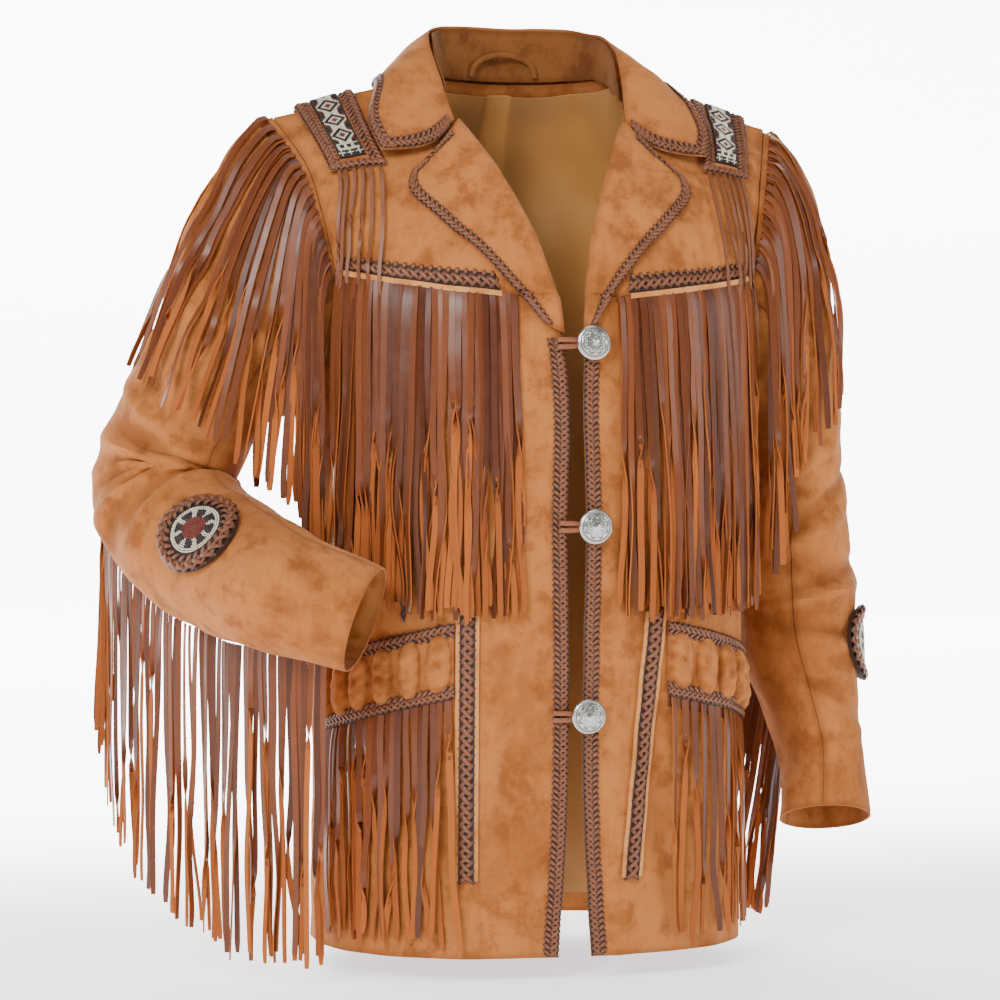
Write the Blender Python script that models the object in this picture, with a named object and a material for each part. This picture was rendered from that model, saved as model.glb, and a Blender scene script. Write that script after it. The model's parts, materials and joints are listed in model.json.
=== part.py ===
"""Western jacket in suede, worn form, hollow and open at neck, hem and cuffs.

Metres, +Z up. The wearer faces -Y and their right hand is at -X. The origin is
the middle of the neck base, level with the two neck ends of the shoulder seams.
Every panel is a function of two parameters, so that a trim which lies on it is
made from the same points, moved out along the same normals.
"""
import math

import bpy
import numpy as np
from mathutils import Vector
from mathutils.bvhtree import BVHTree

# Cloth thicknesses and the gap between pieces
SUEDE = 0.0020
SATIN = 0.0010
LACE = 0.0018
CLEAR = 0.0006

# Driving heights
FRONT_YOKE_Z = -0.205
FRONT_YOKE_ARM_Z = -0.180
BACK_YOKE_Z = -0.150
UNDERARM_Z = -0.300
FIRST_BUTTON_Z = -0.243
HEM_Z = -0.755
SQUARENESS = 2.5
FRONT_CENTRE_X = 0.005
RIGHT = -1
LEFT = 1
SIDES = (("right", RIGHT), ("left", LEFT))

# Body sections: height, half width, front depth, back depth
BODY = np.array((
    (-0.760, 0.187, 0.156, 0.121),
    (-0.640, 0.186, 0.157, 0.114),
    (-0.520, 0.187, 0.160, 0.110),
    (-0.420, 0.190, 0.162, 0.115),
    (-0.300, 0.197, 0.160, 0.124),
    (-0.205, 0.203, 0.148, 0.127),
    (-0.130, 0.205, 0.128, 0.122),
))

# Front edge: height, distance of the edge from the front centre line
FRONT_EDGE = np.array((
    (-0.760, 0.0150),
    (-0.650, 0.0080),
    (-0.555, 0.0065),
    (-0.400, 0.0085),
    (-0.243, 0.0100),
    (-0.205, 0.0165),
    (-0.130, 0.0400),
))

# Armhole on the body section: height, front angle, back angle, in degrees from the front
ARMHOLE = np.array((
    (-0.300, 90.0, 90.0),
    (-0.285, 79.0, 100.0),
    (-0.260, 71.0, 108.0),
    (-0.220, 64.5, 114.0),
    (-0.180, 61.0, 117.0),
    (-0.150, 59.5, 118.0),
))

# Points that close the yokes, each for the wearer's left: x, y, z
SHOULDER_POINT = (0.222, 0.000, -0.044)
NECK_POINT = (0.083, 0.000, 0.000)
ARMHOLE_FRONT = ((0.2020, -0.0520, -0.0900), (0.1920, -0.0730, -0.1350))
ARMHOLE_BACK = ((0.2120, 0.0380, -0.0680), (0.2000, 0.0640, -0.1080))
BACK_NECK_DEPTH = 0.085

# Roll line of the lapel: height, x, y
ROLL_LINE = np.array((
    (-0.2430, 0.0100, -0.1560),
    (-0.2050, 0.0165, -0.1450),
    (-0.1560, 0.0290, -0.1260),
    (-0.1000, 0.0500, -0.0960),
    (-0.0500, 0.0750, -0.0560),
    (0.0000, 0.0830, 0.0000),
))

# Sleeve stations below the cap: share of the length, x, y, z, half width, half depth
BENT_SLEEVE = np.array((
    (0.40, -0.2880, 0.0080, -0.2900, 0.0600, 0.0680),
    (0.50, -0.3080, 0.0170, -0.3350, 0.0610, 0.0670),
    (0.60, -0.3140, 0.0150, -0.3740, 0.0640, 0.0660),
    (0.70, -0.2960, -0.0300, -0.4100, 0.0620, 0.0620),
    (0.80, -0.2640, -0.0880, -0.4340, 0.0590, 0.0570),
    (0.90, -0.2330, -0.1450, -0.4500, 0.0530, 0.0490),
    (1.00, -0.1770, -0.1720, -0.4700, 0.0470, 0.0440),
))
HANGING_SLEEVE = np.array((
    (0.40, 0.2480, 0.0120, -0.3250, 0.0440, 0.0750),
    (0.50, 0.2510, 0.0165, -0.3850, 0.0510, 0.0690),
    (0.60, 0.2550, 0.0175, -0.4450, 0.0560, 0.0640),
    (0.70, 0.2590, 0.0130, -0.5020, 0.0540, 0.0590),
    (0.80, 0.2670, 0.0000, -0.5560, 0.0430, 0.0530),
    (0.90, 0.2730, -0.0160, -0.6070, 0.0360, 0.0485),
    (1.00, 0.2690, -0.0340, -0.6580, 0.0400, 0.0450),
))
ARMHOLE_CENTRE_Z = -0.170
CAP_SHARE = 0.40
SHOULDER_SLOPE = (0.953, -0.300)
FAN = 9

# Sleeve folds: share of the length, angle round the sleeve, half width along, reach round, depth
BENT_FOLDS = (
    (0.47, 70, 0.016, 60, 0.0050),
    (0.53, 80, 0.014, 70, 0.0070),
    (0.59, 85, 0.013, 75, 0.0080),
    (0.65, 80, 0.015, 70, 0.0065),
    (0.74, 50, 0.018, 55, 0.0040),
)
HANGING_FOLDS = (
    (0.48, 130, 0.018, 60, 0.0040),
    (0.57, 110, 0.016, 70, 0.0050),
    (0.66, 100, 0.016, 60, 0.0045),
    (0.84, 60, 0.018, 60, 0.0030),
)
SLEEVES = {RIGHT: (BENT_SLEEVE, BENT_FOLDS), LEFT: (HANGING_SLEEVE, HANGING_FOLDS)}
FRONT_SLEEVE_SEAM = 112.0
SLEEVE_SEAM_GAP = 0.35
DROP_HEIGHT = 0.02
BACK_SLEEVE_SEAM = {RIGHT: 268.0, LEFT: 228.0}

# Collar: share from the front end to the back centre, then x, y, z of the fold and of the edge
COLLAR_FOLD = np.array((
    (0.00, 0.0765, -0.0600, -0.0480),
    (0.22, 0.0815, -0.0300, -0.0080),
    (0.45, 0.0830, 0.0080, 0.0290),
    (0.70, 0.0640, 0.0560, 0.0460),
    (1.00, 0.0000, 0.0830, 0.0500),
))
COLLAR_EDGE = np.array((
    (0.00, 0.1440, -0.0800, -0.0760),
    (0.10, 0.1500, -0.0640, -0.0560),
    (0.30, 0.1360, -0.0200, -0.0170),
    (0.50, 0.1270, 0.0300, -0.0140),
    (0.75, 0.0800, 0.0900, -0.0250),
    (1.00, 0.0000, 0.1180, -0.0320),
))
COLLAR_BULGE = 0.006
COLLAR_NOTCH = (0.0980, -0.0775)

# Outer edge of the lapel: share from the notch to the first button, x, z
LAPEL_EDGE = np.array((
    (0.00, 0.1190, -0.0990),
    (0.08, 0.1225, -0.1110),
    (0.30, 0.1000, -0.1390),
    (0.60, 0.0690, -0.1680),
    (1.00, 0.0200, -0.2270),
))
LAPEL_NOTCH = (0.0980, -0.0810)
LAPEL_LIFT = 0.0020
LAPEL_Z = (-0.052, -0.233)

# Trims
BRAID_WIDTH = 0.014
EDGE_LACING = 0.013
LAPEL_LACING = 0.0095
EPAULET_ACROSS = (0.50, 0.86)
EPAULET_FRONT = 0.60
EPAULET_BACK = 0.45
BEAD_MARGIN = 0.27
BEAD_WALL = 0.0016
FRAME_RISE = 0.0016
SHOULDER_SHARE = 0.6
BUTTON_RADIUS = 0.0145
LOOP_REACH = (-0.0300, -0.0040)
BUTTONS = ((1, 0.0190, -0.243), (2, 0.0185, -0.395), (3, 0.0135, -0.553))

# Pockets: x of the inner strip at its top and foot, for each side
POCKET_STRIP_X = {RIGHT: (0.0960, 0.0960), LEFT: (0.0860, 0.0640)}
POCKET_OUTER = 0.90
POCKET_TOP = (-0.476, -0.511)
POCKET_FOOT = (-0.536, -0.570)
STRIP_Z = (-0.466, -0.690)
STRIP_WIDTH = 0.017
BULLET_LOOPS = 6
BULLET_RISE = 0.0070
PATCH_LIFT = 0.0008

# Elbow rosette: share of the length, angle round the sleeve, radii of the ring and the disc
ROSETTE = {RIGHT: (0.785, 55.0), LEFT: (0.72, 20.0)}
ROSETTE_RING = (0.0240, 0.0370)
ROSETTE_DISC = 0.0232

# Fringes: strand thickness, strip height and strand counts
STRAND_THICK = 0.0014
STRIP_HEIGHT = 0.007
CHEST_STRANDS = 23
ARMHOLE_STRANDS = 18
SLEEVE_STRANDS = {RIGHT: 22, LEFT: 11}
SLEEVE_STRAND_SHARE = {RIGHT: 0.52, LEFT: 0.34}
SLEEVE_LEAN = {RIGHT: (0.16, 0.0), LEFT: (0.62, 0.42)}
POCKET_STRANDS = {RIGHT: 14, LEFT: 10}
CHEST_TIP_Z = {RIGHT: (-0.468, -0.428), LEFT: (-0.468, -0.455)}
POCKET_TIP_Z = (-0.748, -0.742)
SEED = 5

# Lie of the trims and lengths of the fringes
BODY_CENTRE = np.array((0.0, 0.0, -0.35))
COLLAR_INSIDE = np.array((0.0, 0.0, -0.10))
ARMHOLE_INSIDE = {RIGHT: np.array((-0.17, 0.0, -0.17)), LEFT: np.array((0.17, 0.0, -0.17))}
EPAULET_LIFT = 0.0012
BEAD_LIFT = 0.0042
ROSETTE_LIFT = 0.0022
LINING_GAP = 0.0016
HANGER_HALF = 0.029
HANGER_RISE = 0.020
HANGER_INSET = 0.0140
HANGER_FOOT_Z = 0.004
HANGER_WIDTH = 0.0045
STAND_START = 0.16
STAND_FOOT_INSET = 0.0035
STAND_TOP_INSET = 0.0030
STAND_FOOT_GAP = 0.0004
STAND_TOP_GAP = 0.0032
STAND_FRONT_Z = -0.018
STAND_DROP_SHARE = 0.25
GORGE_SHARE = 0.9
BRAID_FOOT = 0.012
BRAID_UP = 0.085
YOKE_BRAID_END = 0.965
YOKE_BRAID_START = 0.055
CHEST_START = {RIGHT: 0.041, LEFT: 0.043}
POCKET_FRINGE_DOWN = 1.03
CORD_X = {RIGHT: 0.135, LEFT: 0.105}
CORD_Z = (-0.4475, -0.4745)
CORD_LIFT = 0.0015
CORD_WIDTH = 0.0042
CORD_THICK = 0.0022
SLEEVE_LENGTH = 0.62
SLEEVE_START = 0.0010
FOLD_SLANT = 0.010
ARMHOLE_FRINGE = (-66.0, 72.0)
CHEST_END = 0.955
CHEST_STRIP_LIFT = 0.0014
SLEEVE_STRIP_LIFT = {RIGHT: 0.0032, LEFT: 0.0005}
ARMHOLE_STRIP_LIFT = 0.0001
ARMHOLE_LENGTH = 0.250
ARMHOLE_LEAN = {RIGHT: 0.42, LEFT: 0.12}
SLEEVE_FRINGE = {RIGHT: (0.58, 0.965), LEFT: (0.53, 0.82)}
SLEEVE_FRINGE_LENGTH = {RIGHT: 0.252, LEFT: 0.215}
THONG_GAP = 0.0004
THONG_LENGTHS = (0.150, 0.118, 0.160)
FIRST_LEVEL = 0.09
RANDOM = np.random.default_rng(SEED)

# Grid sizes
ROWS_HIGH = 4
ROWS_LOW = 7
FRONT_COLUMNS = 9
BACK_COLUMNS = np.concatenate((np.linspace(-1, -0.5, 5), np.linspace(-0.5, 0.5, 7)[1:-1], np.linspace(0.5, 1, 5)))
YOKE_ROWS = 6
SLEEVE_TOP_COLUMNS = 9
SLEEVE_UNDER_COLUMNS = 7
SLEEVE_SHARES = np.array((0.0, 0.08, 0.17, 0.27, 0.36, 0.43, 0.48, 0.53, 0.57, 0.61, 0.65, 0.70, 0.77, 0.85,
                          0.93, 1.0))
COLLAR_COLUMNS = 17
COLLAR_ROWS = 5
LAPEL_COLUMNS = 10

COLOURS = {
    "suede": ((0.52, 0.27, 0.105), 0.9, 0.0),
    "lacing_leather": ((0.155, 0.055, 0.026), 0.5, 0.0),
    "fringe_leather": ((0.20, 0.068, 0.027), 0.45, 0.0),
    "lining_satin": ((0.40, 0.23, 0.09), 0.5, 0.0),
    "bead_work": ((0.80, 0.76, 0.60), 0.35, 0.0),
    "silver": ((0.72, 0.71, 0.68), 0.28, 1.0),
}


def smooth(table, at):
    """Cubic through a table's rows: its first column is the position, the rest the values."""
    order = np.argsort(table[:, 0])
    knots = table[order, 0]
    values = table[order, 1:]
    slopes = np.gradient(values, knots, axis=0)
    at = np.clip(np.asarray(at, float), knots[0], knots[-1])
    low = np.clip(np.searchsorted(knots, at) - 1, 0, len(knots) - 2)
    span = knots[low + 1] - knots[low]
    t = ((at - knots[low]) / span)[..., None]
    span = span[..., None]
    rise = t * t * (3 - 2 * t)
    lead = t * (1 - t) ** 2 * span
    tail = t * t * (t - 1) * span
    return values[low] * (1 - rise) + values[low + 1] * rise + slopes[low] * lead + slopes[low + 1] * tail


def unit(vectors):
    """Vectors of length one."""
    length = np.linalg.norm(vectors, axis=-1, keepdims=True)
    return vectors / np.maximum(length, 1e-12)


def mirror(points, side):
    """Points that are given for the wearer's left, on either side."""
    return points * np.array((side, 1.0, 1.0))


def ring(z, angle, side):
    """Body section at height z: a squared ellipse, angle 0 at the front and pi at the back."""
    half, front, back = np.moveaxis(smooth(BODY, z), -1, 0)
    power = 2 / SQUARENESS
    cosine = np.cos(angle)
    depth = np.where(cosine > 0, front, back)
    x = side * half * np.abs(np.sin(angle)) ** power
    y = -depth * np.sign(cosine) * np.abs(cosine) ** power
    return np.stack(np.broadcast_arrays(x, y, z), -1)


def ring_angle(z, x):
    """Angle of the front section's point that lies x from the middle."""
    half = smooth(BODY, z)[..., 0]
    return np.arcsin(np.clip(np.abs(x) / half, 0, 1) ** (SQUARENESS / 2))


def front_limits(side, z):
    """Angles of the front edge and of the side seam or armhole at height z."""
    edge = smooth(FRONT_EDGE, z)[..., 0] + side * FRONT_CENTRE_X
    outer = np.radians(smooth(ARMHOLE, z)[..., 0])
    outer = np.where(z < UNDERARM_Z, math.pi / 2, outer)
    return ring_angle(z, edge), outer


def front_wall(side, across, z):
    """Front panel: across runs from the front edge to the side, at height z."""
    inner, outer = front_limits(side, z)
    return ring(z, inner + (outer - inner) * across, side)


def front_across(side, x, z):
    """The across value of the front panel's point that lies x from the middle."""
    inner, outer = front_limits(side, z)
    return (ring_angle(z, x) - inner) / (outer - inner)


def front_seam_z(across):
    """The front yoke seam rises towards the armhole."""
    return FRONT_YOKE_Z + (FRONT_YOKE_ARM_Z - FRONT_YOKE_Z) * across


def back_wall(across, z):
    """Back panel: across runs from -1 at the right side seam to 1 at the left."""
    outer = np.radians(smooth(ARMHOLE, z)[..., 1])
    outer = np.where(z < UNDERARM_Z, math.pi / 2, outer)
    angle = math.pi - np.abs(across) * (math.pi - outer)
    side = np.where(across < 0, -1.0, 1.0)
    return ring(z, angle, side)


def through(points, t):
    """Smooth curve through a few points, evenly numbered from 0 to 1."""
    rows = np.array(points, float)
    table = np.column_stack((np.linspace(0, 1, len(rows)), rows))
    return smooth(table, t)


def roll_line(side, up):
    """Roll line from the front yoke seam, up 0, to the neck end of the shoulder, up 1."""
    z = FRONT_YOKE_Z * (1 - up)
    x, y = np.moveaxis(smooth(ROLL_LINE, z), -1, 0)
    return np.stack((side * x + FRONT_CENTRE_X * (1 - up), y, z), -1)


def coons(bottom, top, first, last, u, v):
    """Surface that fills four meeting curves: the two blends, less the corners' blend."""
    a = u[..., None]
    b = v[..., None]
    zero = np.zeros_like(u)
    one = np.ones_like(u)
    across = bottom(u) * (1 - b) + top(u) * b
    along = first(v) * (1 - a) + last(v) * a
    low = bottom(zero) * (1 - a) + bottom(one) * a
    high = top(zero) * (1 - a) + top(one) * a
    return across + along - low * (1 - b) - high * b


def front_yoke(side, across, up):
    """Front yoke: seam at up 0, shoulder at up 1, roll line at across 0, armhole at across 1."""
    seam_end = front_wall(LEFT, np.array(1.0), np.array(FRONT_YOKE_ARM_Z))
    arm = (seam_end, ARMHOLE_FRONT[1], ARMHOLE_FRONT[0], SHOULDER_POINT)
    shoulder = np.array((NECK_POINT, SHOULDER_POINT))

    def bottom(t):
        low = front_wall(side, t, front_seam_z(t))
        low_start = front_wall(side, np.zeros_like(t), front_seam_z(np.zeros_like(t)))
        start = roll_line(side, np.zeros_like(t))
        return low + (start - low_start) * ((1 - t) ** 4)[..., None]

    def top(t):
        return mirror(shoulder[0] + (shoulder[1] - shoulder[0]) * t[..., None], side)

    def first(t):
        return roll_line(side, t)

    def last(t):
        return mirror(through(arm, t), side)

    return coons(bottom, top, first, last, across, up)


def neck_curve(t):
    """Back neck from the right neck point, t 0, to the left one, t 1."""
    turn = math.pi * t
    x = -NECK_POINT[0] * np.cos(turn)
    y = BACK_NECK_DEPTH * np.sin(turn)
    return np.stack((x, y, np.zeros_like(t)), -1)


def shoulder_share(across):
    """Where |across| lies on the shoulder: 0 at the neck point, 1 at the armhole."""
    return np.clip((np.abs(across) - 0.5) / 0.5, 0, 1)


def back_yoke(across, up):
    """Back yoke: across -1 to 1 between the armholes, up 1 along the shoulders and the neck."""
    seam_end = back_wall(np.array(1.0), np.array(BACK_YOKE_Z))
    arm = (seam_end, ARMHOLE_BACK[1], ARMHOLE_BACK[0], SHOULDER_POINT)
    neck = np.array(NECK_POINT)
    outer = np.array(SHOULDER_POINT)

    def bottom(t):
        return back_wall(2 * t - 1, np.full_like(t, BACK_YOKE_Z))

    def top(t):
        value = 2 * t - 1
        side = np.where(value < 0, -1.0, 1.0)[..., None]
        line = neck + (outer - neck) * shoulder_share(value)[..., None]
        line = line * np.concatenate((side, np.ones_like(side), np.ones_like(side)), -1)
        return np.where((np.abs(value) < 0.5)[..., None], neck_curve(np.clip(value + 0.5, 0, 1)), line)

    def first(t):
        return mirror(through(arm, t), RIGHT)

    def last(t):
        return mirror(through(arm, t), LEFT)

    return coons(bottom, top, first, last, (across + 1) / 2, up)


def armhole_loop(side, count):
    """Armhole as rows of angle, x, y, z: 0 at the shoulder, 90 at the front, 180 underarm."""
    t = np.linspace(0, 1, count)
    one = np.ones(count)
    front_top = front_yoke(side, one, 1 - t)
    front_low = front_wall(side, one, FRONT_YOKE_ARM_Z + (UNDERARM_Z - FRONT_YOKE_ARM_Z) * t)
    back_low = back_wall(side * one, UNDERARM_Z + (BACK_YOKE_Z - UNDERARM_Z) * t)
    back_top = back_yoke(side * one, t)
    points = np.concatenate((front_top, front_low[1:], back_low[1:], back_top[1:-1]))
    angle = np.degrees(np.arctan2(-points[:, 1], points[:, 2] - ARMHOLE_CENTRE_Z)) % 360
    order = np.argsort(angle)
    return np.column_stack((angle[order], points[order]))


ARMHOLES = {side: armhole_loop(side, 120) for name, side in SIDES}


def armhole_at(side, angle):
    """Point of the armhole at an angle in degrees."""
    loop = ARMHOLES[side]
    turn = np.asarray(angle, float) % 360
    return np.stack([np.interp(turn, loop[:, 0], loop[:, k], period=360) for k in (1, 2, 3)], -1)


def sleeve_frames(side):
    """Top and front directions along a sleeve, carried from station to station without a twist."""
    stations = SLEEVES[side][0]
    share = np.linspace(CAP_SHARE, 1, 61)
    centre = smooth(stations, share)[:, :3]
    tangent = unit(np.gradient(centre, axis=0))
    padded = np.pad(tangent, ((FAN, FAN), (0, 0)), mode="edge")
    tangent = unit(np.stack([padded[k:k + 2 * FAN + 1].mean(0) for k in range(len(share))]))
    top = np.zeros_like(tangent)
    front = np.zeros_like(tangent)
    direction = np.array((side * 1.0, 0.0, 0.3))
    for k in range(len(share)):
        direction = direction - tangent[k] * np.dot(direction, tangent[k])
        direction = direction / np.linalg.norm(direction)
        top[k] = direction
        front[k] = np.cross(tangent[k], direction) * side
    return np.column_stack((share, top, front, tangent))


FRAMES = {side: sleeve_frames(side) for name, side in SIDES}


def sleeve_dent(side, angle, share):
    """Depth of the sleeve's folds at a place."""
    dent = np.zeros(np.broadcast(angle, share).shape)
    for place, centre, width, reach, depth in SLEEVES[side][1]:
        round_it = (angle - centre + 180) % 360 - 180
        along = (share - place) * SLEEVE_LENGTH + FOLD_SLANT * np.sin(np.radians(round_it * 1.7))
        dent = dent + depth * np.exp(-(along / width) ** 2) * np.exp(-(round_it / reach) ** 2)
    return dent


def sleeve_tube(side, angle, share):
    """Sleeve below its cap: ellipses along the centre line, drawn in at the folds."""
    station = smooth(SLEEVES[side][0], share)
    frame = smooth(FRAMES[side], share)
    turn = np.radians(angle)
    dent = sleeve_dent(side, angle, share)
    half_width = (station[..., 3] - dent)[..., None]
    half_depth = (station[..., 4] - dent)[..., None]
    point = station[..., :3] + unit(frame[..., :3]) * np.cos(turn)[..., None] * half_width
    return point + unit(frame[..., 3:6]) * np.sin(turn)[..., None] * half_depth


def sleeve(side, angle, share):
    """Whole sleeve: from the armhole a cap bends into the tube, tangent to it and to the shoulder."""
    angle, share = np.broadcast_arrays(np.asarray(angle, float), np.asarray(share, float))
    tube = sleeve_tube(side, angle, np.maximum(share, CAP_SHARE))
    rim = sleeve_tube(side, angle, np.full_like(share, CAP_SHARE))
    start = armhole_at(side, angle) + np.array((side * SLEEVE_START, 0.0, 0.0))
    reach = np.linalg.norm(rim - start, axis=-1, keepdims=True)
    leave = np.array((side * SHOULDER_SLOPE[0], 0.0, SHOULDER_SLOPE[1])) * reach * 0.8
    arrive = unit(smooth(FRAMES[side], np.array(CAP_SHARE))[6:9]) * reach
    t = np.clip(share / CAP_SHARE, 0, 1)[..., None]
    rise = t * t * (3 - 2 * t)
    cap = start * (1 - rise) + rim * rise + leave * (t * (1 - t) ** 2) + arrive * (t * t * (t - 1))
    return np.where((share < CAP_SHARE)[..., None], cap, tube)


def collar(across, out):
    """Collar leaf: across -1 to 1 round the neck, out 0 at the fold and 1 at the edge."""
    share = 1 - np.abs(across)
    side = np.where(across < 0, -1.0, 1.0)[..., None] * np.array((1.0, 0.0, 0.0)) + np.array((0.0, 1.0, 1.0))
    fold = smooth(COLLAR_FOLD, share)
    edge = smooth(COLLAR_EDGE, share)
    t = out[..., None]
    notch = np.array((COLLAR_NOTCH[0], -0.0800, COLLAR_NOTCH[1]))
    gorge = notch - (smooth(COLLAR_FOLD, np.array(0.0)) + smooth(COLLAR_EDGE, np.array(0.0))) / 2
    near_end = np.exp(-(share / 0.10) ** 2)[..., None]
    swell = np.sin(math.pi * t)
    lift = np.array((0.5, -0.2, 0.9)) * COLLAR_BULGE
    shape = fold * (1 - t) + edge * t + swell * lift
    return (shape + gorge * swell * near_end * GORGE_SHARE) * side


def lapel_outline(side, along, out):
    """Lapel in the front view: x and z, out 0 on the roll line and 1 on its edge."""
    z_roll = LAPEL_Z[0] + (LAPEL_Z[1] - LAPEL_Z[0]) * along
    roll = smooth(ROLL_LINE, z_roll)
    edge = smooth(LAPEL_EDGE, along)
    near_top = np.exp(-(along / 0.06) ** 2)
    notch_x = LAPEL_NOTCH[0] - (roll[..., 0] + edge[..., 0]) / 2
    notch_z = LAPEL_NOTCH[1] - (z_roll + edge[..., 1]) / 2
    swell = np.sin(math.pi * out) * near_top
    x = roll[..., 0] * (1 - out) + edge[..., 0] * out + notch_x * swell
    z = z_roll * (1 - out) + edge[..., 1] * out + notch_z * swell
    return side * x + FRONT_CENTRE_X * np.clip(z / FRONT_YOKE_Z, 0, 1) * (1 - out), z


def normals(surface, u, v, centre):
    """Normals from small steps in both parameters, turned away from a centre inside the form."""
    step = 1e-3
    du = surface(u + step, v) - surface(u - step, v)
    dv = surface(u, v + step) - surface(u, v - step)
    normal = unit(np.cross(du, dv))
    return normal * np.sign(np.sum(normal * (surface(u, v) - centre)))


def grid_normals(points, centre):
    """Normals of a grid of points, turned away from a centre inside the form."""
    across = np.gradient(points, axis=1)
    along = np.gradient(points, axis=0)
    normal = unit(np.cross(across, along))
    return normal * np.sign(np.sum(normal * (points - centre)))


def volume(points, faces):
    """Signed volume: positive where the faces point out."""
    p, q, r = points[faces[:, 0]], points[faces[:, 1]], points[faces[:, 2]]
    return float(np.einsum("ij,ij->i", p, np.cross(q, r)).sum() / 6)


def make(name, slot, points, faces):
    """Mesh object with its material, its faces turned out."""
    faces = np.asarray(faces)
    if volume(points, faces) < 0:
        faces = faces[:, ::-1]
    mesh = bpy.data.meshes.new(name)
    mesh.from_pydata(points.tolist(), [], faces.tolist())
    mesh.update()
    item = bpy.data.objects.new(name, mesh)
    bpy.context.scene.collection.objects.link(item)
    colour, rough, metal = COLOURS[slot]
    material = bpy.data.materials.get(slot) or bpy.data.materials.new(slot)
    material.use_nodes = True
    shader = material.node_tree.nodes["Principled BSDF"]
    shader.inputs["Base Color"].default_value = (*colour, 1.0)
    shader.inputs["Roughness"].default_value = rough
    shader.inputs["Metallic"].default_value = metal
    item.data.materials.append(material)
    return item


def shell(name, slot, outer, inner, closed=False):
    """Closed wall between two grids of points; closed joins the last column to the first."""
    rows, count = outer.shape[:2]
    points = np.concatenate((outer.reshape(-1, 3), inner.reshape(-1, 3)))
    inside = rows * count
    index = np.arange(rows * count).reshape(rows, count)
    if closed:
        index = np.concatenate((index, index[:, :1]), 1)
    a, b = index[:-1, :-1].ravel(), index[:-1, 1:].ravel()
    c, d = index[1:, 1:].ravel(), index[1:, :-1].ravel()
    faces = [np.stack((a, d, c), -1), np.stack((a, c, b), -1)]
    faces += [np.stack((a, c, d), -1) + inside, np.stack((a, b, c), -1) + inside]
    rims = [index[0, :], index[-1, ::-1]]
    if not closed:
        rims += [index[::-1, 0], index[:, -1]]
    for rim in rims:
        p, q = rim[:-1], rim[1:]
        faces += [np.stack((p, q, q + inside), -1), np.stack((p, q + inside, p + inside), -1)]
    return make(name, slot, points, np.concatenate(faces))


def wall_on(name, slot, base, normal, lift, wall, rise=0.0, closed=False):
    """Trim that lies on a surface: its inner face is lifted off it, rise is relief outside."""
    height = np.broadcast_to(np.asarray(lift + wall + rise, float), base.shape[:2])[..., None]
    return shell(name, slot, base + normal * height, base + normal * lift, closed)


def on_surface(surface, u, v, centre):
    """Points and normals of a surface: u and v are rows to cross, or grids already."""
    if np.ndim(u) == 1:
        u, v = np.meshgrid(u, v)
    return surface(u, v), normals(surface, u, v, centre)


def tree_of(sheets):
    """Search tree over point grids with their outward normals."""
    points = []
    faces = []
    for sheet, normal in sheets:
        rows, count = sheet.shape[:2]
        first = (np.arange(rows - 1)[:, None] * count + np.arange(count - 1)[None, :]).ravel()
        quads = np.stack((first, first + 1, first + count + 1, first + count), -1)
        flat = sheet.reshape(-1, 3)
        turn = np.cross(flat[quads[:, 1]] - flat[quads[:, 0]], flat[quads[:, 3]] - flat[quads[:, 0]])
        if np.sum(turn * normal.reshape(-1, 3)[quads[:, 0]]) < 0:
            quads = quads[:, ::-1]
        faces.extend((quads + len(points)).tolist())
        points.extend(flat.tolist())
    return BVHTree.FromPolygons(points, faces)


def pushed_out(point, tree, clearance):
    """The point, or where it lies too near a sheet or behind it, the place clear of it."""
    for attempt in range(3):
        place, normal, index, distance = tree.find_nearest(Vector(point), 0.05)
        if place is None:
            return point
        height = (Vector(point) - place).dot(normal)
        if height > 0 and distance >= clearance * 0.98:
            return point
        point = np.array(place + normal * clearance)
    return point


def fall(start, heading, length, tree, clearance, lean):
    """Path of one strand: it leaves along heading, bends to the fall line, slides over what it meets."""
    step = 0.006
    count = max(int(round(length / step)), 3)
    step = length / count
    fall_line = unit(np.array((lean[0], lean[1], -1.0)))
    path = [np.array(start)]
    for k in range(count):
        heading = unit(heading * 0.55 + fall_line * 0.45)
        point = pushed_out(path[-1] + heading * step, tree, clearance)
        way = point - path[-1]
        if np.linalg.norm(way) > 1e-6:
            heading = unit(way)
            point = pushed_out(path[-1] + heading * step, tree, clearance)
        path.append(np.array(point))
    return np.array(path)


def thinned(path, levels):
    """A path cut down to a few levels, its start left out: the first is short, the rest even."""
    shares = np.concatenate(((FIRST_LEVEL,), np.linspace(FIRST_LEVEL, 1, levels)[1:]))
    return path[np.maximum((shares * (len(path) - 1)).round().astype(int), 1)]


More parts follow.
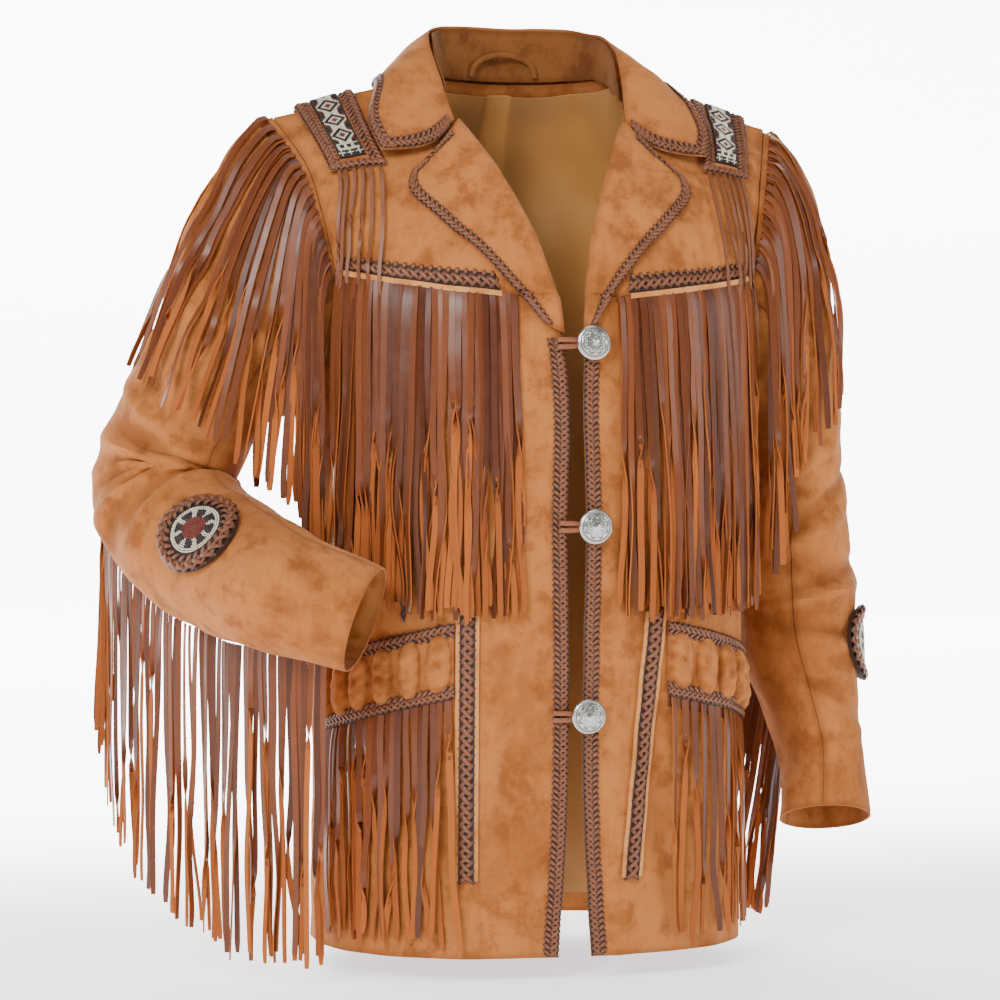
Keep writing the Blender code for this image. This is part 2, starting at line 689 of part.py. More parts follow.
def fringe(name, slot, line, face, down, tree, lengths, lean, levels=4, clearance=0.0034, width=0.66):
    """Narrow strip with strands that grow from its lower edge, as one closed body.

    line, face and down are functions of a position from 0 to 1: the strip's upper edge,
    its outward direction and the direction in which it hangs.
    """
    strands = len(lengths)
    edges = (np.arange(strands)[:, None] + 0.5 + np.array((-0.5, 0.5)) * width).ravel() / strands
    at = np.concatenate(((0.0,), edges, (1.0,)))
    top, out, way = line(at), face(at), down(at)
    deep = out * STRAND_THICK / 2
    low = top + way * STRIP_HEIGHT
    points = np.stack((top + deep, low + deep, low - deep, top - deep), 1).reshape(-1, 3).tolist()
    faces = []

    def quad(a, b, c, d):
        faces.extend(((a, b, c), (a, c, d)))

    for k in range(len(at) - 1):
        a, b = 4 * k, 4 * (k + 1)
        quad(a, a + 1, b + 1, b)
        quad(a + 2, a + 3, b + 3, b + 2)
        quad(a + 3, a, b, b + 3)
        if k % 2 == 0:
            quad(a + 1, a + 2, b + 2, b + 1)
    quad(0, 3, 2, 1)
    end = 4 * (len(at) - 1)
    quad(end, end + 1, end + 2, end + 3)
    sheet = np.zeros((strands, levels + 1, 3))
    for s in range(strands):
        k = 2 * s + 1
        start = (low[k] + low[k + 1]) / 2
        path = fall(start, way[k], lengths[s], tree, clearance, lean[s])
        centres = thinned(path, levels)
        sheet[s] = np.concatenate((start[None], centres))
        half_width = np.linalg.norm(low[k + 1] - low[k]) / 2
        wide = unit(low[k + 1] - low[k])
        tangents = unit(np.gradient(sheet[s], axis=0))
        loop = [4 * k + 1, 4 * (k + 1) + 1, 4 * (k + 1) + 2, 4 * k + 2]
        front = out[k]
        for level in range(levels):
            tangent = tangents[level + 1]
            flat = np.cross(wide, tangent)
            front = unit(flat * np.sign(np.dot(flat, front)))
            across = np.cross(front, tangent)
            across = unit(across * np.sign(np.dot(across, wide))) * half_width
            thick = front * STRAND_THICK / 2
            centre = centres[level]
            base = len(points)
            for corner in (-across + thick, across + thick, across - thick, -across - thick):
                points.append((centre + corner).tolist())
            for m in range(4):
                n = (m + 1) % 4
                quad(loop[m], base + m, base + n, loop[n])
            loop = [base, base + 1, base + 2, base + 3]
        quad(loop[0], loop[3], loop[2], loop[1])
    make(name, slot, np.array(points), faces)
    cover = sheet + out[1:-1:2][:, None, :] * STRAND_THICK
    return cover, np.broadcast_to(out[1:-1:2][:, None, :], cover.shape)


def lace(name, slot, path, face_way, width, thick):
    """Four-sided lace along a path; face_way is its outward direction at each point."""
    tangent = unit(np.gradient(path, axis=0))
    side_way = unit(np.cross(face_way, tangent))
    half = side_way * width / 2
    deep = unit(face_way) * thick / 2
    corners = np.stack((path + half + deep, path - half + deep, path - half - deep, path + half - deep), 1)
    faces = []
    for k in range(len(path) - 1):
        for m in range(4):
            a = k * 4 + m
            b = k * 4 + (m + 1) % 4
            faces += [(a, b, b + 4), (a, b + 4, a + 4)]
    end = (len(path) - 1) * 4
    faces += [(0, 2, 1), (0, 3, 2), (end, end + 1, end + 2), (end, end + 2, end + 3)]
    return make(name, slot, corners.reshape(-1, 3), faces)


def lathe(name, slot, centre, axis, profile, sides=12):
    """Turned solid: profile rows are radius and height along the axis, the ends on the axis."""
    axis = unit(np.asarray(axis, float))
    first = unit(np.cross(axis, (0.0, 0.0, 1.0)))
    second = np.cross(axis, first)
    turn = np.linspace(0, 2 * math.pi, sides, endpoint=False)
    around = first * np.cos(turn)[:, None] + second * np.sin(turn)[:, None]
    rows = [centre + around * radius + axis * height for radius, height in profile[1:-1]]
    points = np.concatenate([np.array([centre + axis * profile[0][1]])] + rows
                            + [np.array([centre + axis * profile[-1][1]])])
    faces = []
    last = len(points) - 1
    for m in range(sides):
        n = (m + 1) % sides
        faces.append((0, 1 + m, 1 + n))
        for k in range(len(rows) - 1):
            a, b = 1 + k * sides + m, 1 + k * sides + n
            faces += [(a, a + sides, b + sides), (a, b + sides, b)]
        base = 1 + (len(rows) - 1) * sides
        faces.append((base + n, base + m, last))
    return make(name, slot, points, faces)


def clear_scene():
    """Remove what the file opened with."""
    for item in list(bpy.data.objects):
        bpy.data.objects.remove(item, do_unlink=True)


def shoulder_normal(side):
    """Both yokes share this direction along the shoulder seam, so their walls meet face to face."""
    along = np.array(SHOULDER_POINT) - np.array(NECK_POINT)
    return unit(np.array((-side * along[2], 0.0, along[0])))


def row_z(top, row):
    """Height of a panel's row: 0 at the yoke seam, 1 at the underarm, 2 at the hem."""
    high = top + (UNDERARM_Z - top) * row
    low = UNDERARM_Z + (HEM_Z - UNDERARM_Z) * (row - 1)
    return np.where(row <= 1, high, low)


def panel_rows():
    """Rows of a body panel: some down to the underarm, the rest to the hem."""
    high = np.linspace(0, 1, ROWS_HIGH)
    low = np.linspace(1, 2, ROWS_LOW)[1:]
    rows = np.concatenate((high, low))
    rows[0] = 0.004
    return rows


def front_rows(side, across, row):
    """Front panel with its height given as a row."""
    return front_wall(side, across, row_z(front_seam_z(across), row))


def back_rows(across, row):
    """Back panel with its height given as a row."""
    return back_wall(across, row_z(BACK_YOKE_Z, row))


def wall_between(name, slot, points, normal, wall):
    """Panel whose outer points are given."""
    return shell(name, slot, points, points - normal * wall)


def build_fronts():
    """Front panels and front yokes, each side cut for itself at the front edge."""
    for name, side in SIDES:
        def wall(u, v, side=side):
            return front_rows(side, u, v)

        def yoke(u, v, side=side):
            return front_yoke(side, u, v)

        across = np.linspace(0, 0.9994, FRONT_COLUMNS)
        points, normal = on_surface(wall, across, panel_rows(), BODY_CENTRE)
        seam = normals(wall, across, np.full_like(across, 0.01), BODY_CENTRE)
        normal[0] = seam
        wall_between("front_panel_" + name, "suede", points, normal, SUEDE)
        points, normal = on_surface(yoke, np.linspace(0, 1, FRONT_COLUMNS),
                                    np.linspace(0.004, 0.997, YOKE_ROWS), BODY_CENTRE)
        normal[0] = seam
        normal[-1] = shoulder_normal(side)
        wall_between("front_yoke_" + name, "suede", points, normal, SUEDE)


def back_yoke_grid(across, up):
    """Back yoke's points and normals, with the shoulder seam's shared direction."""
    points, normal = on_surface(back_yoke, across, up, BODY_CENTRE)
    normal[0] = normals(back_rows, across, np.full_like(across, 0.01), BODY_CENTRE)
    for k, value in enumerate(across):
        if abs(value) >= 0.5:
            normal[-1, k] = shoulder_normal(LEFT if value > 0 else RIGHT)
    return points, normal


def build_back():
    """Back panel and back yoke, each in one piece, and the lining that shows inside them."""
    across = np.clip(BACK_COLUMNS, -0.9994, 0.9994)
    points, normal = on_surface(back_rows, across, panel_rows()[::-1], BODY_CENTRE)
    normal[-1] = normals(back_rows, across, np.full_like(across, 0.01), BODY_CENTRE)
    wall_between("back_panel", "suede", points, normal, SUEDE)
    lower_points = points[:, 1:-1].copy()
    lower_normal = normal[:, 1:-1]
    points, normal = back_yoke_grid(BACK_COLUMNS, np.linspace(0.004, 0.996, YOKE_ROWS))
    wall_between("back_yoke", "suede", points, normal, SUEDE)
    neck = (points[-2:-1, 1:-1] + 4 * points[-1:, 1:-1]) / 5
    neck_normal = unit(normal[-2:-1, 1:-1] + 4 * normal[-1:, 1:-1])
    lower_points[0] = (lower_points[1] + 3 * lower_points[0]) / 4
    points = np.concatenate((lower_points, points[1:-1, 1:-1], neck))
    normal = np.concatenate((lower_normal, normal[1:-1, 1:-1], neck_normal))
    points = points - normal * (SUEDE + LINING_GAP)
    wall_between("lining_back", "lining_satin", points, normal, SATIN)


def sleeve_centre(side, share):
    """Points inside a sleeve, level with each share: its middle, carried on to the armhole's."""
    share = np.asarray(share, float)
    tube = smooth(SLEEVES[side][0], np.maximum(share, CAP_SHARE))[..., :3]
    armhole = np.array((side * 0.205, 0.0, ARMHOLE_CENTRE_Z))
    blend = np.clip(share / CAP_SHARE, 0, 1)[..., None]
    return armhole * (1 - blend) + tube * blend


def sleeve_wall(side, angles, shares):
    """Sleeve points and normals; at the armhole the wall's direction stays out of the body."""
    turn, share = np.meshgrid(angles, shares)

    def tube(u, v):
        return sleeve(side, u * 100, v)

    points = sleeve(side, turn, share)
    normal = normals(tube, turn / 100, np.clip(share, 0.002, 0.998), sleeve_centre(side, share))
    if shares[0] < 0.01:
        normal[0] = unit(normal[0] * np.array((0.0, 1.0, 1.0)))
    return points, normal


def sleeve_pieces(side):
    """Points and normals of the upper and the under sleeve."""
    front = FRONT_SLEEVE_SEAM
    back = BACK_SLEEVE_SEAM[side]
    upper = np.linspace(back - 360 + SLEEVE_SEAM_GAP, front - SLEEVE_SEAM_GAP, SLEEVE_TOP_COLUMNS)
    under = np.linspace(front + SLEEVE_SEAM_GAP, back - SLEEVE_SEAM_GAP, SLEEVE_UNDER_COLUMNS)
    return [sleeve_wall(side, angles, SLEEVE_SHARES) for angles in (upper, under)]


def dropped(points, normal, tree):
    """Points moved along their normals on to the faces of a search tree."""
    placed = points.copy()
    for index in np.ndindex(points.shape[:-1]):
        start = Vector(points[index] + normal[index] * DROP_HEIGHT)
        hit = tree.ray_cast(start, Vector(-normal[index]), 2 * DROP_HEIGHT)[0]
        if hit is not None:
            placed[index] = hit
    return placed


def build_sleeves():
    """Two-piece sleeves: an upper and an under sleeve, with a seam in front and behind."""
    for name, side in SIDES:
        for piece, (points, normal) in zip(("top", "under"), sleeve_pieces(side)):
            wall_between("sleeve_" + piece + "_" + name, "suede", points, normal, SUEDE)


def build_collar():
    """Collar leaf, its stand inside, and the lacing along the leaf's edge."""
    across = np.linspace(-1, 1, COLLAR_COLUMNS)
    uu, vv = np.meshgrid(across, np.linspace(0, 1, COLLAR_ROWS))
    points = collar(uu, vv)
    normal = grid_normals(points, COLLAR_INSIDE)
    normal[0] = unit(normal[0] + np.array((0.0, 0.0, 1.5)))
    shell("collar_leaf", "suede", points, points - normal * SUEDE)
    uu, vv = np.meshgrid(across * 0.985, np.array((0.88, 1.0)))
    base = collar(uu, vv)
    wall_on("collar_lacing", "lacing_leather", base, grid_normals(base, COLLAR_INSIDE), CLEAR * 1.6, LACE)
    turn = np.linspace(-1, 1, 17)
    share = 1 - np.abs(turn)
    signs = np.column_stack((np.where(turn < 0, -1.0, 1.0), np.ones((17, 2))))
    reach = STAND_START + (1 - STAND_START) * share
    fold = smooth(COLLAR_FOLD, reach) * signs
    neck = neck_curve((turn + 1) / 2)
    front_end = smooth(ROLL_LINE, np.array(STAND_FRONT_Z))
    drop = np.clip(1 - share / STAND_DROP_SHARE, 0, 1)[:, None]
    low = np.column_stack((front_end[0] * signs[:, 0], np.full(17, front_end[1]), np.full(17, STAND_FRONT_Z)))
    base = neck * (1 - drop) + low * drop
    inward = unit(fold * np.array((-1.0, -1.0, 0.0)) + np.array((0.0, 0.012, 0.0)))
    base = base + inward * STAND_FOOT_INSET + np.array((0.0, 0.0, STAND_FOOT_GAP))
    top = fold + inward * STAND_TOP_INSET - np.array((0.0, 0.0, STAND_TOP_GAP))
    rows = np.linspace(0, 1, 4)[:, None, None]
    points = base * (1 - rows) + top * rows
    normal = np.broadcast_to(inward, points.shape)
    shell("collar_stand", "suede", points, points + normal * SUEDE)
    arc = np.linspace(0, math.pi, 11)
    depth = np.full(11, BACK_NECK_DEPTH - HANGER_INSET)
    path = np.column_stack((-HANGER_HALF * np.cos(arc), depth, HANGER_FOOT_Z + HANGER_RISE * np.sin(arc)))
    lace("hanger_loop", "suede", path, np.tile((0.0, -1.0, 0.0), (11, 1)), HANGER_WIDTH, LACE)


def lapel_points(side, tree, uu, vv):
    """Lapel's points in space: the outline's x and z, dropped on to the front."""
    x, z = lapel_outline(side, uu, vv)
    points = np.zeros(uu.shape + (3,))
    for index in np.ndindex(uu.shape):
        start = Vector((x[index], -1.0, z[index]))
        hit = tree.ray_cast(start, Vector((0.0, 1.0, 0.0)))[0]
        points[index] = (x[index], hit.y if hit is not None else roll_y(z[index]), z[index])
    return points


def lapel_rim(side, tree, along):
    """Border of the lapel, of one width, that carries the lacing."""
    x_in, z_in = lapel_outline(side, along, np.zeros_like(along))
    x_out, z_out = lapel_outline(side, along, np.ones_like(along))
    share = np.clip(LAPEL_LACING / np.hypot(x_out - x_in, z_out - z_in), 0, 0.85)
    uu = np.tile(along, (2, 1))
    vv = np.stack((1 - share, np.ones_like(share)))
    return lapel_points(side, tree, uu, vv)


def roll_y(z):
    """Depth of the roll line at a height, for points beside the yoke's inner edge."""
    return float(smooth(ROLL_LINE, np.array(z))[1])


def build_lapels(tree):
    """Lapels turned out of the facings, with their lacing, and the lacing down the front edges."""
    for name, side in SIDES:
        uu, vv = np.meshgrid(np.linspace(0, 1, LAPEL_COLUMNS), np.linspace(0, 1, 5))
        points = lapel_points(side, tree, uu, vv)
        normal = grid_normals(points, BODY_CENTRE)
        wall_on("lapel_" + name, "suede", points, normal, LAPEL_LIFT, SUEDE)
        rim = lapel_rim(side, tree, np.linspace(0.0, 0.98, 2 * LAPEL_COLUMNS - 1))
        normal = grid_normals(rim, BODY_CENTRE)
        wall_on("lapel_lacing_" + name, "lacing_leather", rim, normal, LAPEL_LIFT + SUEDE + CLEAR, LACE)

        def wall(u, v, side=side):
            return front_wall(side, u, v)

        heights = np.linspace(FIRST_BUTTON_Z, HEM_Z + 0.001, 16)
        inner = np.zeros_like(heights)
        outer = front_across(side, smooth(FRONT_EDGE, heights)[:, 0] + side * FRONT_CENTRE_X + EDGE_LACING, heights)
        across = np.stack((inner, (inner + outer) / 2, outer), -1)
        base, normal = on_surface(wall, across, np.repeat(heights[:, None], 3, 1), BODY_CENTRE)
        rise = np.array((0.0, 0.0006, 0.0))
        wall_on("front_lacing_" + name, "lacing_leather", base, normal, CLEAR, LACE, rise)


def build_yoke_braids():
    """Braids along the front yoke seams, from beside the lapel to the armhole."""
    for name, side in SIDES:
        def yoke(u, v, side=side):
            return front_yoke(side, u, v)

        start = float(front_across(side, YOKE_BRAID_START, FRONT_YOKE_Z))
        base, normal = on_surface(yoke, np.linspace(start, YOKE_BRAID_END, 12),
                                  BRAID_FOOT + BRAID_UP * np.linspace(0, 1, 3), BODY_CENTRE)
        rise = np.array((0.0, 0.0006, 0.0))[:, None]
        wall_on("yoke_braid_" + name, "lacing_leather", base, normal, CLEAR, LACE, rise)


def epaulet_surface(side):
    """Shoulder strip from the front yoke over the shoulder seam to the back yoke."""
    def surface(across, along):
        shoulder = EPAULET_ACROSS[0] + (EPAULET_ACROSS[1] - EPAULET_ACROSS[0]) * across
        up_front = EPAULET_FRONT + (1 - EPAULET_FRONT) * np.clip(along / SHOULDER_SHARE, 0, 1)
        behind = np.clip((along - SHOULDER_SHARE) / (1 - SHOULDER_SHARE), 0, 1)
        up_back = 1 - (1 - EPAULET_BACK) * behind
        front = front_yoke(side, shoulder, up_front)
        back = back_yoke(side * (0.5 + 0.5 * shoulder), up_back)
        return np.where((along < SHOULDER_SHARE)[..., None], front, back)
    return surface


def build_epaulets():
    """Shoulder patches with a raised lacing frame, and the beaded strip on each."""
    for name, side in SIDES:
        surface = epaulet_surface(side)
        across = np.array((0.0, 0.14, 0.20, 0.5, 0.80, 0.86, 1.0))
        along = np.array((0.0, 0.08, 0.14, 0.3, 0.45, 0.6, 0.75, 0.86, 0.92, 1.0))
        uu, vv = np.meshgrid(across, along)
        points = surface(uu, vv)
        normal = grid_normals(points, BODY_CENTRE)
        middle = (uu > across[1]) & (uu < across[-2]) & (vv > along[1]) & (vv < along[-2])
        frame = np.where(middle, 0.0, FRAME_RISE)
        wall_on("epaulet_" + name, "lacing_leather", points, normal, EPAULET_LIFT, LACE, frame)
        bead_rows = np.array((0.17, 0.30, 0.45, 0.60, 0.75, 0.83))
        uu, vv = np.meshgrid(np.linspace(BEAD_MARGIN, 1 - BEAD_MARGIN, 3), bead_rows)
        points = surface(uu, vv)
        normal = grid_normals(points, BODY_CENTRE)
        wall_on("bead_strip_" + name, "bead_work", points, normal, BEAD_LIFT, BEAD_WALL)


def pocket_surface(side):
    """Pocket band: across from the inner strip to the side, down from its top to its foot."""
    def surface(across, down):
        outer_share = np.clip(across, 0, 1)
        top = POCKET_TOP[0] + (POCKET_TOP[1] - POCKET_TOP[0]) * outer_share
        foot = POCKET_FOOT[0] + (POCKET_FOOT[1] - POCKET_FOOT[0]) * outer_share
        z = top + (foot - top) * down
        inner = front_across(side, POCKET_STRIP_X[side][0], z)
        return front_wall(side, inner + (POCKET_OUTER - inner) * across, z)
    return surface


def build_pockets(sheets):
    """Pocket bands with raised bullet loops and braided edges, side strips, and their fringes."""
    covers = []
    for name, side in SIDES:
        surface = pocket_surface(side)
        phase = np.array((0.0, 0.26, 0.74))
        across = np.concatenate([(k + 0.05 + phase * 0.9) / BULLET_LOOPS for k in range(BULLET_LOOPS)] + [(0.995,)])
        down = np.array((0.0, 0.19, 0.34, 0.66, 0.81, 1.0))
        uu, vv = np.meshgrid(across, down)
        base, normal = on_surface(surface, uu, vv, BODY_CENTRE)
        loop = np.concatenate((np.tile(np.array((0.0, 1.0, 1.0)), BULLET_LOOPS), (0.0,)))
        height = np.array((0.0, 0.0, 1.0, 1.0, 0.0, 0.0))[:, None]
        braid = np.array((0.0014, 0.0006, 0.0, 0.0, 0.0006, 0.0014))[:, None]
        wall_on("pocket_band_" + name, "suede", base, normal, PATCH_LIFT, LACE, loop * height * BULLET_RISE + braid)

        def wall(u, v, side=side):
            return front_wall(side, u, v)

        heights = np.linspace(STRIP_Z[0], STRIP_Z[1], 9)
        x_top, x_foot = POCKET_STRIP_X[side]
        x = x_top + (x_foot - x_top) * np.linspace(0, 1, 9) - CLEAR * 2
        outer = front_across(side, x, heights)
        inner = front_across(side, x - STRIP_WIDTH, heights)
        grid_across = np.stack((inner, (inner + outer) / 2, outer), -1)
        base, normal = on_surface(wall, grid_across, np.repeat(heights[:, None], 3, 1), BODY_CENTRE)
        wall_on("pocket_strip_" + name, "lacing_leather", base, normal, PATCH_LIFT, LACE, np.array((0.0, 0.0008, 0.0)))
        covers.append(pocket_fringe(name, side, surface, sheets))
        build_cord(name, side)
    return covers


def pocket_fringe(name, side, surface, sheets):
    """Fringe that hangs from the foot of the pocket band."""
    count = POCKET_STRANDS[side]

    def spot(t):
        return 0.015 + 0.97 * t, np.full_like(t, POCKET_FRINGE_DOWN)

    def face(t):
        return normals(surface, *spot(t), BODY_CENTRE)

    def line(t):
        return surface(*spot(t)) + face(t) * (PATCH_LIFT + STRAND_THICK / 2)

    def down(t):
        return np.tile((0.0, 0.0, -1.0), (len(t), 1))

    middle = (np.arange(count) + 0.5) / count
    start_z = POCKET_FOOT[0] + (POCKET_FOOT[1] - POCKET_FOOT[0]) * middle
    tip_z = POCKET_TIP_Z[0] + (POCKET_TIP_Z[1] - POCKET_TIP_Z[0]) * middle
    lengths = start_z - tip_z - 2 * STRIP_HEIGHT + RANDOM.uniform(-0.005, 0.003, count)
    lean = np.zeros((count, 2))

    return fringe("pocket_fringe_" + name, "fringe_leather", line, face, down, tree_of(sheets), lengths, lean)


def build_cord(name, side):
    """Short lace that ties the pocket's mouth below the chest fringe."""
    x = CORD_X[side]
    heights = np.linspace(CORD_Z[0], CORD_Z[1], 4)
    across = front_across(side, np.full(4, x), heights)

    def wall(u, v):
        return front_wall(side, u, v)

    base, normal = on_surface(wall, across[:, None], heights[:, None], BODY_CENTRE)
    path = (base + normal * CORD_LIFT)[:, 0]
    lace("pocket_cord_" + name, "lacing_leather", path, normal[:, 0], CORD_WIDTH, CORD_THICK)


def disc_map(count):
    """Square grid pressed into a unit disc, without a pole."""
    u, v = np.meshgrid(np.linspace(-1, 1, count), np.linspace(-1, 1, count))
    return u * np.sqrt(1 - v * v / 2), v * np.sqrt(1 - u * u / 2)


def build_rosettes():
    """Elbow ornaments: a laced ring and, inside it, a beaded disc."""
    for name, side in SIDES:
        share, angle = ROSETTE[side]
        radius = float(smooth(SLEEVES[side][0], np.array(share))[3])
        per_radian = 180 / math.pi / radius

        def surface(u, v, side=side, share=share, angle=angle, per_radian=per_radian):
            return sleeve(side, angle + u * per_radian, share + v / SLEEVE_LENGTH)

        turn, reach = np.meshgrid(np.linspace(0, 2 * math.pi, 18, endpoint=False), np.linspace(*ROSETTE_RING, 3))
        centre = sleeve_centre(side, np.array(share))
        tree = tree_of(sleeve_pieces(side))
        base = surface(reach * np.cos(turn), reach * np.sin(turn))
        normal = normals(surface, reach * np.cos(turn), reach * np.sin(turn), centre)
        base = dropped(base, normal, tree)
        rise = np.array((0.0, 0.0012, 0.0))[:, None]
        wall_on("elbow_ring_" + name, "lacing_leather", base, normal, ROSETTE_LIFT, LACE, rise, closed=True)
        x, y = disc_map(5)
        base = surface(x * ROSETTE_DISC, y * ROSETTE_DISC)
        normal = normals(surface, x * ROSETTE_DISC, y * ROSETTE_DISC, centre)
        base = dropped(base, normal, tree)
        wall_on("elbow_disc_" + name, "bead_work", base, normal, ROSETTE_LIFT, LACE)


def build_buttons():
    """Domed metal buttons on the wearer's left front, and the lace loops that hold them."""
    for number, x, z in BUTTONS:
        across = front_across(LEFT, np.array(x), np.array(z))

        def wall(u, v):
            return front_wall(LEFT, u, v)

        base, normal = on_surface(wall, np.array([[float(across)]]), np.array([[z]]), BODY_CENTRE)
        place, out = base[0, 0], normal[0, 0]
        foot = CLEAR + LACE + 0.0010
        profile = [(0.0, foot), (0.0030, foot), (0.0030, foot + 0.0050), (BUTTON_RADIUS * 0.93, foot + 0.0046),
                   (BUTTON_RADIUS, foot + 0.0056), (BUTTON_RADIUS * 0.80, foot + 0.0082),
                   (BUTTON_RADIUS * 0.42, foot + 0.0098), (0.0, foot + 0.0104)]
        lathe("button_%d" % number, "silver", place, out, profile)
        ends = np.linspace(*LOOP_REACH, 5)
        path = place + np.column_stack((ends, np.zeros(5), np.zeros(5))) + out * (foot + 0.0028)
        path[0] = path[0] - out * 0.0006
        lace("button_loop_%d" % number, "lacing_leather", path, np.tile(out, (5, 1)), 0.0050, 0.0018)


def chest_fringe(name, side, sheets):
    """Fringe sewn under the front yoke's braid."""
    start = float(front_across(side, CHEST_START[side], FRONT_YOKE_Z))

    def wall(u, v):
        return front_rows(side, u, v)

    def spot(t):
        across = start + (CHEST_END - start) * t
        return across, np.full_like(across, 0.02)

    def line(t):
        across, row = spot(t)
        return wall(across, row) + normals(wall, across, row, BODY_CENTRE) * (CHEST_STRIP_LIFT + STRAND_THICK / 2)

    def face(t):
        return normals(wall, *spot(t), BODY_CENTRE)

    def down(t):
        return np.tile((0.0, 0.0, -1.0), (len(t), 1))

    middle = (np.arange(CHEST_STRANDS) + 0.5) / CHEST_STRANDS
    start_z = front_seam_z(start + (CHEST_END - start) * middle)
    tip_z = CHEST_TIP_Z[side][0] + (CHEST_TIP_Z[side][1] - CHEST_TIP_Z[side][0]) * middle ** 3
    lengths = start_z - tip_z - STRIP_HEIGHT + RANDOM.uniform(-0.008, 0.004, CHEST_STRANDS)
    lean = np.column_stack((RANDOM.uniform(-0.004, 0.004, CHEST_STRANDS), np.zeros(CHEST_STRANDS)))
    return fringe("chest_fringe_" + name, "fringe_leather", line, face, down, tree_of(sheets), lengths, lean)


def armhole_fringe(name, side, sheets):
    """Fringe sewn into the armhole seam, from the front over the shoulder to the back."""
    first, last = ARMHOLE_FRINGE

    def tube(u, v):
        return sleeve(side, u * 100, v)

    def spot(t):
        angle = first + (last - first) * t
        return angle / 100, np.full_like(angle, 0.030)

    def face(t):
        return normals(tube, *spot(t), ARMHOLE_INSIDE[side])

    def line(t):
        return tube(*spot(t)) + face(t) * (ARMHOLE_STRIP_LIFT + STRAND_THICK / 2)

    def down(t):
        angle, share = spot(t)
        return unit(tube(angle, share + 0.02) - tube(angle, share))

    middle = (np.arange(ARMHOLE_STRANDS) + 0.5) / ARMHOLE_STRANDS
    lengths = ARMHOLE_LENGTH + RANDOM.uniform(-0.012, 0.010, ARMHOLE_STRANDS)
    angle = first + (last - first) * middle
    outward = np.cos(np.radians(np.clip(angle * 1.2, -90, 90))) ** 2
    lean = np.column_stack((side * outward * ARMHOLE_LEAN[side], np.zeros(ARMHOLE_STRANDS)))
    return fringe("armhole_fringe_" + name, "fringe_leather", line, face, down, tree_of(sheets), lengths, lean,
                  levels=6, clearance=0.0080)


def sleeve_fringe(name, side, sheets):
    """Fringe sewn into the back seam of the sleeve, from above the elbow to near the cuff."""
    first, last = SLEEVE_FRINGE[side]
    count = SLEEVE_STRANDS[side]

    def tube(u, v):
        return sleeve(side, u * 100, v)

    def spot(t):
        share = first + (last - first) * t
        return np.full_like(share, BACK_SLEEVE_SEAM[side] / 100), share

    def face(t):
        across = tube(np.full_like(t, BACK_SLEEVE_SEAM[side] / 100 + 0.05), spot(t)[1]) - tube(*spot(t))
        return unit(across)

    def out(t):
        place = tube(*spot(t))
        return unit(place - sleeve_centre(side, spot(t)[1]))

    def line(t):
        return tube(*spot(t)) + out(t) * SLEEVE_STRIP_LIFT[side]

    def down(t):
        return unit(out(t) + np.array((0.0, 0.0, -0.8)))

    middle = (np.arange(count) + 0.5) / count
    lengths = SLEEVE_FRINGE_LENGTH[side] + RANDOM.uniform(-0.014, 0.008, count)
    first_lean, last_lean = SLEEVE_LEAN[side]
    lean = unit(out(middle)[:, :2]) * (first_lean + (last_lean - first_lean) * middle)[:, None]
    return fringe("sleeve_fringe_" + name, "fringe_leather", line, face, down, tree_of(sheets), lengths, lean,
                  levels=3, clearance=0.0050, width=SLEEVE_STRAND_SHARE[side])


def thongs(name, side, sheets):
    """Three thin laces that hang from the front of the shoulder patch."""
    surface = epaulet_surface(side)

    def spot(t):
        return 0.04 + 0.92 * t, np.full_like(t, -0.02)

    def face(t):
        return normals(surface, spot(t)[0], np.full_like(t, 0.03), BODY_CENTRE)

    def line(t):
        across = spot(t)[0]
        low = surface(across, np.zeros_like(t))
        way = unit(low - surface(across, np.full_like(t, 0.1)))
        return low + way * THONG_GAP + face(t) * (EPAULET_LIFT + STRAND_THICK / 2)

    def down(t):
        across = spot(t)[0]
        return unit(surface(across, np.zeros_like(t)) - surface(across, np.full_like(t, 0.1)))

    lengths = np.array(THONG_LENGTHS)
    lean = np.zeros((len(lengths), 2))
    fringe("thongs_" + name, "lacing_leather", line, face, down, tree_of(sheets), lengths, lean,
           levels=4, clearance=0.0085, width=0.22)


def body_sheets():
    """Fine sheets of the body's front, back and sleeves, for what hangs over them."""
    sheets = []
    for name, side in SIDES:
        def wall(u, v, side=side):
            return front_rows(side, u, v)

        def yoke(u, v, side=side):
            return front_yoke(side, u, v)

        sheets.append(on_surface(yoke, np.linspace(0, 1, 40), np.linspace(0, 1, 40), BODY_CENTRE))
        sheets.append(on_surface(wall, np.linspace(0, 1, 30), np.linspace(0, 2, 40), BODY_CENTRE))
    sheets.append(on_surface(back_rows, np.linspace(-1, 1, 40), np.linspace(0, 2, 40), BODY_CENTRE))
    sheets.append(on_surface(back_yoke, np.linspace(-1, 1, 40), np.linspace(0, 1, 20), BODY_CENTRE))
    arms = {}
    for name, side in SIDES:
        arms[side] = sleeve_wall(side, np.linspace(-112, 248, 49), np.linspace(0, 1, 60))
    return sheets, arms


def build():
    """The whole jacket."""
    clear_scene()
    build_fronts()
    build_back()
    build_sleeves()
    build_collar()
    sheets, arms = body_sheets()
    build_lapels(tree_of(sheets[:4]))
    build_yoke_braids()
    build_epaulets()
    pocket_covers = build_pockets(sheets)
    build_rosettes()
    build_buttons()
    for (name, side), pocket_cover in zip(SIDES, pocket_covers):
        cover = chest_fringe(name, side, sheets)
        near = sheets + [arms[side]]
        thongs(name, side, near + [cover])
        arm_cover = armhole_fringe(name, side, near + [cover])
        sleeve_fringe(name, side, near + [pocket_cover, arm_cover])


build()
